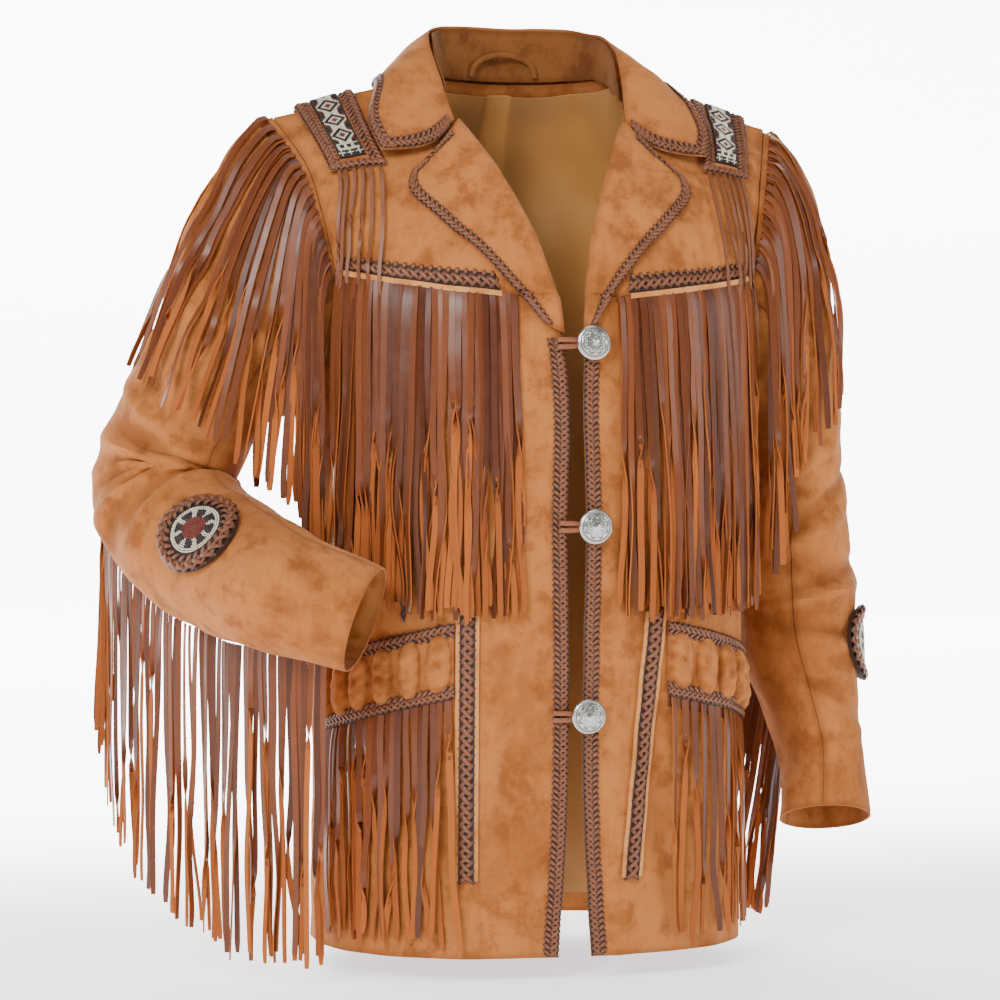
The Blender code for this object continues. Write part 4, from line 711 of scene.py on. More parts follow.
# Columns: share of the sleeve, angle round it, slant in degrees, half length in metres round, half width,
# rise
ARM_FOLDS = {
    RIGHT: (
        (0.44, 40, 18, 0.050, 0.008, 0.0030), (0.49, 55, 12, 0.055, 0.007, -0.0032),
        (0.515, 50, 8, 0.060, 0.007, 0.0034), (0.56, 62, 5, 0.060, 0.006, 0.0036),
        (0.575, 30, -14, 0.050, 0.006, -0.0030), (0.62, 60, 0, 0.055, 0.006, 0.0034),
        (0.64, 20, -20, 0.045, 0.006, -0.0024), (0.68, 62, -8, 0.050, 0.007, 0.0026),
        (0.20, 30, 60, 0.060, 0.012, -0.0028), (0.30, 50, 50, 0.070, 0.012, 0.0030),
        (0.36, 20, 40, 0.060, 0.010, -0.0022), (0.88, 40, 30, 0.050, 0.010, 0.0016),
        (0.93, 70, -30, 0.040, 0.010, -0.0018), (0.55, 200, 10, 0.050, 0.010, 0.0030),
        (0.60, 230, -10, 0.050, 0.010, -0.0030), (0.30, 300, -40, 0.060, 0.012, 0.0026),
    ),
    LEFT: (
        (0.42, 100, 28, 0.060, 0.009, 0.0030), (0.47, 60, 30, 0.060, 0.008, -0.0030),
        (0.53, 95, 22, 0.060, 0.008, 0.0034), (0.60, 60, 15, 0.060, 0.007, -0.0034),
        (0.63, 80, 8, 0.055, 0.007, 0.0034), (0.70, 70, -12, 0.055, 0.007, -0.0028),
        (0.73, 60, -20, 0.050, 0.008, 0.0028), (0.80, 90, -25, 0.050, 0.008, -0.0024),
        (0.88, 60, 20, 0.050, 0.009, 0.0022), (0.25, 60, 55, 0.070, 0.012, 0.0028),
        (0.33, 100, 48, 0.060, 0.010, -0.0026), (0.60, 250, -10, 0.050, 0.010, 0.0030),
        (0.66, 220, 10, 0.050, 0.010, -0.0030), (0.30, 290, -45, 0.060, 0.012, 0.0026),
    ),
}
ARM_FOLD_STRENGTH = 1.8
ARM_RIPPLE_LENGTH = RIPPLE_LENGTH * 0.8
ARM_RIPPLE_HEIGHT = RIPPLE_HEIGHT * 1.2
ARM_RADIUS = 0.058
SEAM_FADE = 0.04
ORNAMENT_FLAT = 0.044
ORNAMENT_CALM = 0.8


def round_arm(angle, centre):
    """Metres round a sleeve from a centre angle, by the shorter way."""
    return np.radians((angle - centre + 180) % 360 - 180) * ARM_RADIUS


def sleeve_lift(side, angle, share, points):
    """How far a sleeve's cloth stands out: its folds, fading to none at the armhole and the cuff."""
    total = ripples(points, 9, ARM_RIPPLE_LENGTH, ARM_RIPPLE_HEIGHT)
    for place, centre, lean, long, wide, rise in ARM_FOLDS[side]:
        along = (share - place) * SLEEVE_LENGTH
        total = total + ARM_FOLD_STRENGTH * ridge(along, round_arm(angle, centre), lean, long, wide, rise)
    place, centre = ROSETTE[side]
    off = np.hypot(round_arm(angle, centre), (share - place) * SLEEVE_LENGTH)
    total = total * (1 - ORNAMENT_CALM * np.exp(-(off / ORNAMENT_FLAT) ** 4))
    return total * np.clip(share / SEAM_FADE, 0, 1) * np.clip((1.02 - share) / SEAM_FADE, 0, 1)


def moved(surface, centre, lift):
    """The surface moved along its normals by a lift that depends on the place."""
    def skin(u, v):
        u, v = np.broadcast_arrays(np.asarray(u, float), np.asarray(v, float))
        base = surface(u, v)
        return base + normals(surface, u, v, centre) * lift(base)[..., None]
    return skin


def front_skin(side):
    """Folded front panel of one side by across and height."""
    return moved(lambda across, z: front_wall(side, across, z), BODY_CENTRE, body_lift)


def yoke_skin(side):
    """Folded front yoke of one side by across and up."""
    return moved(lambda across, up: front_yoke(side, across, up), BODY_CENTRE, body_lift)


def sleeve_skin(side):
    """Folded sleeve: turn in hundreds of degrees, share of the length."""
    def skin(turn, share):
        turn, share = np.broadcast_arrays(np.asarray(turn, float), np.asarray(share, float))
        base = sleeve(side, turn * 100, share)
        out = normals(bare_sleeve(side), turn, share, sleeve_centre(side, share))
        return base + out * sleeve_lift(side, turn * 100, share, base)[..., None]
    return skin


FRONT = {side: front_skin(side) for name, side in SIDES}
YOKE = {side: yoke_skin(side) for name, side in SIDES}
ARM = {side: sleeve_skin(side) for name, side in SIDES}
BACK = moved(back_wall, BODY_CENTRE, body_lift)
BACK_YOKE = moved(back_yoke, BODY_CENTRE, body_lift)
print("folds", len(BODY_FOLDS), "on the body,", len(ARM_FOLDS[RIGHT]), "on the bent sleeve")

# %% [markdown]
# ## Finishes
# Suede, smooth leather, satin, glass beads and silver differ in sheen and in grain. A material is a graph
# of nodes; writing it as arithmetic keeps it readable, so one small class carries a node's output and
# overloads the operators, and one method makes any node.

# %% Shader arithmetic
class Wire:
    """An output of a shader node that can be added, multiplied and so on."""

    def __init__(self, finish, socket):
        self.finish = finish
        self.socket = socket

    def math(self, kind, first, second=0.0):
        return self.finish.node("ShaderNodeMath", 0, {0: first, 1: second}, operation=kind)

    def __add__(self, other):
        return self.math("ADD", self, other)

    def __radd__(self, other):
        return self.math("ADD", other, self)

    def __sub__(self, other):
        return self.math("SUBTRACT", self, other)

    def __rsub__(self, other):
        return self.math("SUBTRACT", other, self)

    def __mul__(self, other):
        return self.math("MULTIPLY", self, other)

    def __rmul__(self, other):
        return self.math("MULTIPLY", other, self)

    def __truediv__(self, other):
        return self.math("DIVIDE", self, other)

    def __rtruediv__(self, other):
        return self.math("DIVIDE", other, self)

    def __pow__(self, other):
        return self.math("POWER", self, other)

    def above(self, limit):
        return self.math("GREATER_THAN", self, limit)

    def step(self, low, high):
        """Smooth step from 0 at low to 1 at high."""
        values = {"Value": self, "From Min": low, "From Max": high}
        return self.finish.node("ShaderNodeMapRange", 0, values, interpolation_type="SMOOTHSTEP", clamp=True)


class Finish:
    """A material being made; node() makes any shader node from its type, inputs and settings."""

    def __init__(self, name, **constants):
        self.material = bpy.data.materials.new(name)
        self.material.use_nodes = True
        self.tree = self.material.node_tree
        self.shader = self.tree.nodes["Principled BSDF"]
        for key, value in constants.items():
            self.shader.inputs[key.replace("_", " ")].default_value = value

    def node(self, kind, output, inputs, **settings):
        node = self.tree.nodes.new(kind)
        for key, value in settings.items():
            setattr(node, key, value)
        for key, value in inputs.items():
            if isinstance(value, Wire):
                self.tree.links.new(value.socket, node.inputs[key])
            else:
                node.inputs[key].default_value = value
        return Wire(self, node.outputs[output])

    def place(self, stretch=(1.0, 1.0, 1.0)):
        """Object coordinates, which are metres here, stretched along the axes."""
        spot = self.node("ShaderNodeTexCoord", "Object", {})
        return self.node("ShaderNodeMapping", 0, {"Vector": spot, "Scale": stretch})

    def noise(self, scale, detail=3.0, rough=0.55, stretch=(1.0, 1.0, 1.0)):
        values = {"Vector": self.place(stretch), "Scale": scale, "Detail": detail, "Roughness": rough}
        return self.node("ShaderNodeTexNoise", 0, values)

    def value(self, name):
        """A number stored on the mesh."""
        return self.node("ShaderNodeAttribute", "Fac", {}, attribute_name=name)

    def mix(self, share, low, high):
        low = low if isinstance(low, Wire) else (*low, 1.0)
        high = high if isinstance(high, Wire) else (*high, 1.0)
        return self.node("ShaderNodeMix", 2, {0: share, 6: low, 7: high}, data_type="RGBA")

    def paint(self, colour=None, roughness=None, height=None, depth=0.001, strength=1.0):
        """Join colour, roughness and a bump height to the shader."""
        for key, wire in (("Base Color", colour), ("Roughness", roughness)):
            if wire is not None:
                self.tree.links.new(wire.socket, self.shader.inputs[key])
        if height is not None:
            bump = self.node("ShaderNodeBump", 0, {"Height": height, "Distance": depth, "Strength": strength})
            self.tree.links.new(bump.socket, self.shader.inputs["Normal"])
        return self.material


print("shader arithmetic ready")

# %% [markdown]
# ## Suede
# Suede is the fluffy inside of a hide. It has almost no gloss, a soft bright rim and cloudy patches where the
# nap lies one way or the other. Its colour carries painted shade in the troughs of its folds and a painted
# highlight on their crests, and it is darker near the edges of each piece. The mesh carries the fold depth
# and the distance from the edge, so these marks sit on the folds and along the edges.

# %% Suede and leather finishes
SUEDE_LIGHT = (0.448, 0.158, 0.043)
SUEDE_MID = (0.335, 0.105, 0.024)
SUEDE_DARK = (0.160, 0.043, 0.010)
SHEEN_TINT = (1.0, 0.72, 0.45, 1.0)
# painted shade: the tan suede in darker colours, for the shade inside the collar
SHADED_STAND_COLOURS = ((0.20, 0.072, 0.020), (0.15, 0.050, 0.014), (0.08, 0.024, 0.006))
RAW_EDGE_COLOURS = ((0.60, 0.27, 0.090), (0.50, 0.20, 0.060), (0.30, 0.10, 0.026))
LACE_COLOURS = ((0.030, 0.008, 0.003), (0.215, 0.068, 0.024))
# painted shade: near-black leather laid under laces and beads, for the shade between them
SHADE_BED_COLOURS = ((0.024, 0.007, 0.003), (0.045, 0.013, 0.005))
STRAND_GRAIN = ((0.042, 0.0095, 0.003), (0.165, 0.044, 0.013))
STRAND_FLESH = ((0.170, 0.034, 0.005), (0.400, 0.108, 0.019))


def suede_finish(name, light, mid, dark):
    """Cloudy nap: two sizes of clouds, a brushed streak, a fine grain, painted shade in fold troughs, painted
    highlight on fold crests, darker at edges.
    """
    f = Finish(name, Roughness=0.95, Sheen_Weight=0.12, Sheen_Roughness=0.45, Sheen_Tint=SHEEN_TINT,
               Specular_IOR_Level=0.12)
    cloud = f.noise(11.0, 3.0, 0.55)
    patch = f.noise(42.0, 5.0, 0.65)
    streak = f.noise(150.0, 3.0, 0.6, (1.0, 1.0, 0.32))
    grain = f.noise(1500.0, 2.0, 0.6)
    tone = cloud * 0.45 + patch * 0.38 + streak * 0.17
    colour = f.mix(tone.step(0.40, 0.58), mid, light)
    colour = f.mix((0.52 - patch).step(0.0, 0.18) * 0.50, colour, dark)
    colour = f.mix((grain - 0.5) * 0.8 + 0.16, colour, dark)
    # darker within 7 mm of a piece's edge, seams included
    near_edge_dark = (0.007 - f.value("edge")).step(0.0, 0.007) * 0.42
    # painted shade: darker where the cloth lies in a fold trough
    fold = (0.0 - f.value("lift")).step(0.0003, 0.0040) * 0.46
    # painted highlight: lighter on the crests of the folds
    crest = f.value("lift").step(0.0008, 0.0040) * 0.22
    colour = f.mix(near_edge_dark + fold, colour, dark)
    colour = f.mix(crest, colour, light)
    return f.paint(colour, None, streak * 0.5 + grain * 0.35 + patch * 0.9, 0.0009, 0.75)


suede_cloth = suede_finish("tan_suede", SUEDE_LIGHT, SUEDE_MID, SUEDE_DARK)
# darker copy of the suede with painted shade, for the collar stand and the hanger loop
shaded_stand_cloth = suede_finish("collar_inside_painted_shade_suede", *SHADED_STAND_COLOURS)
raw_edge_cloth = suede_finish("raw_edge_suede", *RAW_EDGE_COLOURS)


def lace_finish(name, dark, light, gloss):
    """Smooth brown lace: painted highlight on its crown, painted shade where it dips into its hole."""
    f = Finish(name, Coat_Weight=0.06, Coat_Roughness=0.35, Specular_IOR_Level=0.32)
    mottle = f.noise(260.0, 3.0, 0.6)
    pore = f.noise(2600.0, 2.0, 0.5)
    crown = f.value("crown")
    # painted highlight on the crown and painted shade off it, broken by a random mottle
    colour = f.mix((crown * 0.75 + mottle * 0.5).step(0.15, 1.1), dark, light)
    return f.paint(colour, mottle * 0.22 + gloss, pore * 0.6 + mottle * 0.5, 0.0002, 0.6)


lace_leather = lace_finish("brown_lacing", *LACE_COLOURS, 0.34)
# painted shade under the stitches and between the beads
shade_bed_leather = lace_finish("lacing_painted_shade_bed", *SHADE_BED_COLOURS, 0.6)


def strand_finish():
    """Fringe leather: glossy grain outside, orange flesh inside and on cut edges, a tone for each strand."""
    f = Finish("fringe_hide", Specular_IOR_Level=0.30)
    spot = f.node("ShaderNodeUVMap", 0, {}, uv_map="strand")
    inside = f.node("ShaderNodeSeparateXYZ", "Y", {0: spot}).above(0.5)
    tone = f.value("tone")
    mottle = f.noise(120.0, 3.0, 0.6)
    fibre = f.noise(1200.0, 3.0, 0.6, (1.0, 1.0, 0.5))
    grain = f.mix(tone * 0.8 + mottle * 0.3, *STRAND_GRAIN)
    flesh = f.mix(tone * 0.5 + fibre * 0.6, *STRAND_FLESH)
    colour = f.mix(inside, grain, flesh)
    rough = inside * 0.56 + (mottle * 0.16 + 0.26)
    return f.paint(colour, rough, fibre * inside + mottle * 0.6, 0.00035, 0.6)


strand_hide = strand_finish()
print("leathers", [m.name for m in bpy.data.materials])

# %% [markdown]
# ## Satin, beads and silver
# The lining is a plain satin with a fine diagonal line. The beads are real small shapes with their colour
# stored on the mesh, from a chart of stepped diamonds and squares. The buttons are silver with dark in the
# engraving.

# %% Satin, bead and silver finishes
SATIN_COLOURS = ((0.420, 0.185, 0.042), (0.560, 0.265, 0.066))
SATIN_SHADE = (0.200, 0.085, 0.020)
BEAD_DUST = (0.10, 0.07, 0.05)
SILVER_COLOURS = ((0.46, 0.45, 0.43), (0.018, 0.017, 0.016))


def satin_finish():
    """Satin: fine twill lines in the bump and long soft shade."""
    f = Finish("tan_satin", Roughness=0.42, Sheen_Weight=0.15, Specular_IOR_Level=0.4)
    twill = f.node("ShaderNodeTexWave", 1, {"Vector": f.place(), "Scale": 900.0, "Distortion": 0.4},
                   wave_type="BANDS", bands_direction="DIAGONAL")
    cloud = f.noise(14.0, 3.0, 0.6)
    fold = f.value("lift").step(0.0002, 0.0030)
    colour = f.mix(cloud, *SATIN_COLOURS)
    colour = f.mix(fold * 0.6, colour, SATIN_SHADE)
    return f.paint(colour, None, twill * 0.4 + cloud, 0.0003, 0.35)


satin = satin_finish()


def bead_finish():
    """Small glass beads: the colour is on the mesh, with a little variety and a gloss."""
    f = Finish("glass_beads", Roughness=0.24, Coat_Weight=0.35, Coat_Roughness=0.1)
    colour = f.node("ShaderNodeAttribute", "Color", {}, attribute_name="bead_colour")
    wander = f.noise(700.0, 1.0, 0.5)
    colour = f.mix((0.55 - wander).step(0.0, 0.4) * 0.35, colour, BEAD_DUST)
    return f.paint(colour, None, wander, 0.0001, 0.2)


beads = bead_finish()


def silver_finish():
    """Silver: bright, lightly scratched, dark in the engraving."""
    f = Finish("engraved_silver", Metallic=1.0)
    scratch = f.noise(900.0, 4.0, 0.7)
    cut = f.value("engraved")
    colour = f.mix(cut, *SILVER_COLOURS)
    return f.paint(colour, scratch * 0.2 + cut * 0.3 + 0.14, scratch * 0.4 - cut, 0.0003, 0.5)


silver = silver_finish()
print("finishes", len(bpy.data.materials))

# %% [markdown]
# ## From grids to cloth
# A cloth piece is a grid of points for its outside and the same grid moved in by its thickness. Four rims
# close it, so it is a solid sheet with no stray faces. The distance from its edge and its fold depth go
# with the mesh.

# %% Cloth from a grid
SHEETS = []
LEAST_CUT = 0.31


def seat(name, mesh, material, nodes):
    """Place a mesh in the scene: its finish, its body and the solids that it stands for."""
    piece = bpy.data.objects.new(name, mesh)
    bpy.context.scene.collection.objects.link(piece)
    mesh.materials.append(material)
    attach(piece, "root")
    if nodes:
        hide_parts(*nodes)
    return piece


def solid(name, points, faces, material, slot, nodes=(), sharp=50.0, **values):
    """Mesh from points and faces, turned outward by its volume, with numbers stored on its points."""
    faces = np.asarray(faces)
    corner = points[faces[:, :3]]
    turned = np.einsum("ij,ij->i", corner[:, 0], np.cross(corner[:, 1], corner[:, 2])).sum()
    if faces.shape[1] == 4:
        far = points[faces[:, (0, 2, 3)]]
        turned = turned + np.einsum("ij,ij->i", far[:, 0], np.cross(far[:, 1], far[:, 2])).sum()
    if turned < 0:
        faces = faces[:, ::-1]
    mesh = bpy.data.meshes.new(name)
    mesh.from_pydata(points.tolist(), [], faces.tolist())
    for key, value in values.items():
        kind, field, width = ("FLOAT", "value", 1) if np.ndim(value) == 1 else ("FLOAT_COLOR", "color", 4)
        layer = mesh.attributes.new(key, kind, "POINT")
        layer.data.foreach_set(field, np.asarray(value, np.float32).reshape(-1, width).ravel())
    mesh.shade_smooth()
    mesh.set_sharp_from_angle(angle=math.radians(sharp))
    return seat(name, mesh, material, nodes)


def wall_faces(rows, count, closed=False):
    """Quads of a wall between an outer and an inner grid, with its rims."""
    inside = rows * count
    index = np.arange(inside).reshape(rows, count)
    if closed:
        index = np.concatenate((index, index[:, :1]), 1)
    a, b, c, d = (x.ravel() for x in (index[:-1, :-1], index[:-1, 1:], index[1:, 1:], index[1:, :-1]))
    faces = [np.stack((a, d, c, b), -1), np.stack((a, b, c, d), -1) + inside]
    rims = [index[0, :], index[-1, ::-1]]
    if not closed:
        rims += [index[::-1, 0], index[:, -1]]
    for rim in rims:
        p, q = rim[:-1], rim[1:]
        faces.append(np.stack((p, q, q + inside, p + inside), -1))
    return np.concatenate(faces)


def doubled(outer, inner):
    """Two grids of points as one list, the outer first."""
    return np.concatenate((outer.reshape(-1, 3), inner.reshape(-1, 3)))


def around(count):
    """Angles of a full turn, evenly parted."""
    return np.linspace(0, 2 * math.pi, count, endpoint=False)


def lengths_along(points, axis):
    """Running length of a grid along one axis, starting at 0."""
    step = np.linalg.norm(np.diff(points, axis=axis), axis=-1)
    start = np.zeros_like(np.take(step, [0], axis=axis))
    return np.cumsum(np.concatenate((start, step), axis=axis), axis=axis)


def edge_distance(points):
    """Distance of each grid point from the nearest border, measured along the cloth."""
    down, across = lengths_along(points, 0), lengths_along(points, 1)
    near = np.minimum(down, down[-1:] - down)
    return np.minimum(near, np.minimum(across, across[:, -1:] - across))


def cloth(name, points, out, thick, material, slot, nodes, lift):
    """A wall of cloth under a grid of points; it is declared as a sheet with the cut that shows."""
    rows, count = points.shape[:2]
    edge = edge_distance(points)
    piece = solid(name, doubled(points, points - out * thick), wall_faces(rows, count), material, slot, nodes,
                  lift=np.tile(lift.ravel(), 2), edge=np.tile(edge.ravel(), 2))
    wide = float(lengths_along(points, 1)[:, -1].max())
    tall = float(lengths_along(points, 0)[-1].max())
    rising, falling = points[1:, 1:] - points[:-1, :-1], points[:-1, 1:] - points[1:, :-1]
    area = np.linalg.norm(np.cross(rising, falling), axis=-1).sum() / 2
    SHEETS.append((piece, (wide, tall), float(np.clip(area, LEAST_CUT * wide * tall, wide * tall))))
    return piece


def grid(first, second):
    """Crossed rows of two parameters."""
    return np.meshgrid(first, second)


print("cloth helpers ready")

# %% [markdown]
# ## Fronts, yokes and back
# The body is two fronts and a back, each with its own yoke. The seam between a panel and its yoke shares one
# direction, so the walls meet face to face as they do when sewn.

# %% Body panels
FINE_ROWS = 84
FINE_COLUMNS = 50
PANEL_TOP_ROW = 0.004
YOKE_TOP_ROW = 0.997
BACK_YOKE_TOP_ROW = 0.996
SEAM_ROW = 0.01
PANEL_SIDE = 0.9994


def panel(name, surface, u, v, nodes, seam=None, top=None, thick=SUEDE, material=suede_cloth, inset=0.0,
          slot="suede", extra=None):
    """A body panel: surface over the crossed parameters, lifted by its folds."""
    uu, vv = grid(u, v)
    base = surface(uu, vv)
    out = normals(surface, uu, vv, BODY_CENTRE)
    if seam is not None:
        out[0] = seam
    if top is not None:
        out[-1] = np.where(np.isnan(top), out[-1], top)
    lift = body_lift(base)
    points = base + out * (lift - inset)[..., None]
    depth = lift if extra is None else extra(uu, vv, base)
    if extra is not None:
        points = points - out * depth[..., None]
    return cloth(name, points, out, thick, material, slot, nodes, depth)


def seam_direction(surface, across):
    """Normals just under a panel's top seam, which its yoke shares."""
    return normals(surface, across, np.full_like(across, SEAM_ROW), BODY_CENTRE)


rows_down = np.linspace(PANEL_TOP_ROW, 2, FINE_ROWS)
for name, side in SIDES:
    across = np.linspace(0, PANEL_SIDE, FINE_COLUMNS)
    yoke_across = np.linspace(0, 1, FINE_COLUMNS)
    panel_wall = lambda u, v, side=side: front_rows(side, u, v)
    yoke_wall = lambda u, v, side=side: front_yoke(side, u, v)
    panel("front_cloth_" + name, panel_wall, across, rows_down, ["front_panel_" + name],
          seam_direction(panel_wall, across))
    yoke_rows = np.linspace(PANEL_TOP_ROW, YOKE_TOP_ROW, FINE_COLUMNS)
    panel("front_yoke_cloth_" + name, yoke_wall, yoke_across, yoke_rows, ["front_yoke_" + name],
          seam_direction(panel_wall, yoke_across),
          np.tile(shoulder_normal(side), (FINE_COLUMNS, 1)))

wide = np.linspace(-PANEL_SIDE, PANEL_SIDE, 2 * FINE_COLUMNS - 1)
seam_way = seam_direction(back_rows, wide)
panel("back_cloth", back_rows, wide, rows_down, ["back_panel"], seam_way)
shoulder_way = np.where((wide > 0.5)[:, None], shoulder_normal(LEFT),
                        np.where((wide < -0.5)[:, None], shoulder_normal(RIGHT), np.nan))
panel("back_yoke_cloth", back_yoke, wide, np.linspace(PANEL_TOP_ROW, BACK_YOKE_TOP_ROW, FINE_COLUMNS),
      ["back_yoke"], seam_way, shoulder_way)
print("body panels", len(SHEETS))

# %% [markdown]
# ## Lining
# Through the neck the satin lining shows, with a pleat down its centre that lets the back move. It hangs
# just inside the back, so it is the back's own surface moved in.

# %% Back lining
PLEAT_HALF = 0.011
PLEAT_DEPTH = 0.0032
PLEAT_FLARE = 0.8
PLEAT_EDGE = 0.0007
PLEAT_FADE = 0.05
WAVE_HEIGHT = 0.0007
WAVES_PER_METRE = 90
WAVE_PHASE = 1.2
LINING_EDGE = 0.985
LINING_ROWS = (1.96, -0.93, 80)
LINING_COLUMNS = 121


def lining_surface(across, row):
    """Back panel and back yoke as one surface: row runs from 2 at the hem, over 0 at the seam, to -1."""
    low = back_rows(across, np.maximum(row, 0.0))
    high = back_yoke(across, np.clip(-row, 0.0, 1.0))
    return np.where((row > 0)[..., None], low, high)


def pleat(across, row, base):
    """A box pleat down the middle, opening towards the hem, and soft vertical waves beside it."""
    half = PLEAT_HALF * (1 + PLEAT_FLARE * np.clip(row + 1, 0, 3) / 3)
    middle = 1 / (1 + np.exp((np.abs(base[..., 0]) - half) / PLEAT_EDGE))
    waves = WAVE_HEIGHT * (1 + np.sin(base[..., 0] * WAVES_PER_METRE + WAVE_PHASE)) * np.clip(row + 1, 0, 1)
    return PLEAT_DEPTH * (1 - middle) * np.exp(-(np.abs(base[..., 0]) / PLEAT_FADE) ** 2) + waves


panel("lining_cloth", lining_surface, np.linspace(-LINING_EDGE, LINING_EDGE, LINING_COLUMNS),
      np.linspace(*LINING_ROWS), ["lining_back"], thick=SATIN, material=satin, inset=SUEDE + LINING_GAP,
      slot="lining_satin", extra=pleat)
print("lining pleat", PLEAT_DEPTH)

# %% [markdown]
# ## Sleeves
# A sleeve is cut in two: an upper and an under sleeve. The cap bends out of the armhole, the elbow folds
# are deepest where the arm bends, and the cuff is a plain open edge.

# %% Two-piece sleeves
SLEEVE_ROWS = 124
TOP_COLUMNS = 72
UNDER_COLUMNS = 44
CAP_BLEND = 0.02
RIM_SHARE = 0.002


def sleeve_cloth(piece, name, side, start, end, count):
    """Part of a sleeve between two angles; at the armhole the wall keeps out of the body."""
    turn, share = grid(np.linspace(start, end, count), np.linspace(0, 1, SLEEVE_ROWS))
    base = sleeve(side, turn, share)
    centre = sleeve_centre(side, share)
    out = normals(bare_sleeve(side), turn / 100, np.clip(share, RIM_SHARE, 1 - RIM_SHARE), centre)
    near = np.clip(share / CAP_BLEND, 0, 1)[..., None]
    out = unit(out * (near + (1 - near) * np.array((0.0, 1.0, 1.0))))
    lift = sleeve_lift(side, turn, share, base)
    # the stored lift drops further in the drawn-in folds, so the suede paints deeper shade there
    dent = lift - sleeve_dent(side, turn, share) * 0.5
    points = base + out * lift[..., None]
    node = "sleeve_%s_%s" % (piece, name)
    return cloth("cloth_" + node, points, out, SUEDE, suede_cloth, "suede", [node], dent)


for name, side in SIDES:
    front_seam, back_seam, gap = FRONT_SLEEVE_SEAM, BACK_SLEEVE_SEAM[side], SLEEVE_SEAM_GAP
    sleeve_cloth("top", name, side, back_seam - 360 + gap, front_seam - gap, TOP_COLUMNS)
    sleeve_cloth("under", name, side, front_seam + gap, back_seam - gap, UNDER_COLUMNS)
print("sleeves", [s[0].name for s in SHEETS[-4:]])

# %% [markdown]
# ## Collar and lapels
# The collar leaf turns over from its stand. The lapel is the front facing folded back along the roll line,
# so it wraps round the edge of the yoke and lies on the front. To lay it down, each point of its outline in
# the front view is carried on to the folded front by Newton's method, for all points at once.

# %% Collar
COLLAR_RIPPLE_LENGTH = 0.05
COLLAR_RIPPLE = 0.0005
COLLAR_GRID = (161, 36)
FOLD_UPWARD = np.array((0.0, 0.0, 1.5))


def collar_lift(points):
    """Slight ripples of the collar leaf."""
    return ripples(points, 21, COLLAR_RIPPLE_LENGTH, COLLAR_RIPPLE)


COLLAR_SKIN = moved(collar, COLLAR_INSIDE, collar_lift)
uu, vv = grid(np.linspace(-1, 1, COLLAR_GRID[0]), np.linspace(0, 1, COLLAR_GRID[1]))
points = COLLAR_SKIN(uu, vv)
out = grid_normals(points, COLLAR_INSIDE)
out[0] = unit(out[0] + FOLD_UPWARD)
cloth("collar_cloth", points, out, SUEDE, suede_cloth, "suede", ["collar_leaf"], collar_lift(points))

STAND_POINTS = 81
STAND_ROWS = 16
STAND_ROW_START = 0.02
STAND_RIPPLE_LENGTH = 0.04
STAND_RIPPLE = 0.0003
INWARD_BIAS = np.array((0.0, 0.012, 0.0))
turn = np.linspace(-1, 1, STAND_POINTS)
share = 1 - np.abs(turn)
signs = np.column_stack((np.where(turn < 0, -1.0, 1.0), np.ones((STAND_POINTS, 2))))
fold = smooth(COLLAR_FOLD, STAND_START + (1 - STAND_START) * share) * signs
front_end = smooth(ROLL_LINE, np.array(STAND_FRONT_Z))
drop = np.clip(1 - share / STAND_DROP_SHARE, 0, 1)[:, None]
low = np.column_stack((front_end[0] * signs[:, 0], np.full(STAND_POINTS, front_end[1]),
                       np.full(STAND_POINTS, STAND_FRONT_Z)))
inward = unit(fold * np.array((-1.0, -1.0, 0.0)) + INWARD_BIAS)
foot = neck_curve((turn + 1) / 2) * (1 - drop) + low * drop + inward * STAND_FOOT_INSET
top = fold + inward * STAND_TOP_INSET - np.array((0.0, 0.0, STAND_TOP_GAP))
rows = np.linspace(STAND_ROW_START, 1, STAND_ROWS)[:, None, None]
points = foot * (1 - rows) + top * rows
out = np.broadcast_to(inward, points.shape)
points = points + out * (SUEDE + ripples(points, 8, STAND_RIPPLE_LENGTH, STAND_RIPPLE)[..., None])
# the stand wears the suede copy with painted shade
cloth("collar_stand_cloth", points, out, SUEDE, shaded_stand_cloth, "suede", ["collar_stand"],
      np.zeros(points.shape[:2]))


BAND_SIDES = 10
BAND_SQUARENESS = 0.6
INSIDE_EDGE = 0.01


def band(name, path, wide_way, width, thick, material, slot, nodes=()):
    """A soft flat band: a flattened ring carried along a path, its width along wide_way."""
    tangent = unit(np.gradient(path, axis=0))
    across = unit(wide_way - tangent * np.sum(wide_way * tangent, -1, keepdims=True))
    deep = np.cross(tangent, across)
    turn = around(BAND_SIDES)
    flat = np.sign(np.cos(turn)) * np.abs(np.cos(turn)) ** BAND_SQUARENESS
    ring_points = (path[:, None] + across[:, None] * (flat * width / 2)[:, None]
                   + deep[:, None] * (np.sin(turn) * thick / 2)[:, None])
    rows, count = ring_points.shape[:2]
    index = np.arange(rows * count).reshape(rows, count)
    after = np.roll(index, -1, 1)
    sidewall = np.stack((index[:-1], after[:-1], after[1:], index[1:]), -1).reshape(-1, 4)
    half = count // 2
    low = [(a, a + 1, count - 2 - a, count - 1 - a) for a in range(half - 1)]
    caps = np.concatenate((np.array(low)[:, ::-1], np.array(low) + (rows - 1) * count))
    # crown mask for the lace's painted highlight: the band's upper side is painted lighter
    crown = np.clip(np.tile(np.sin(turn), rows), 0, 1)
    faces = np.concatenate((sidewall, caps))
    return solid(name, ring_points.reshape(-1, 3), faces, material, slot, nodes, 60.0, crown=crown,
                 edge=np.full(rows * count, INSIDE_EDGE), lift=np.zeros(rows * count))


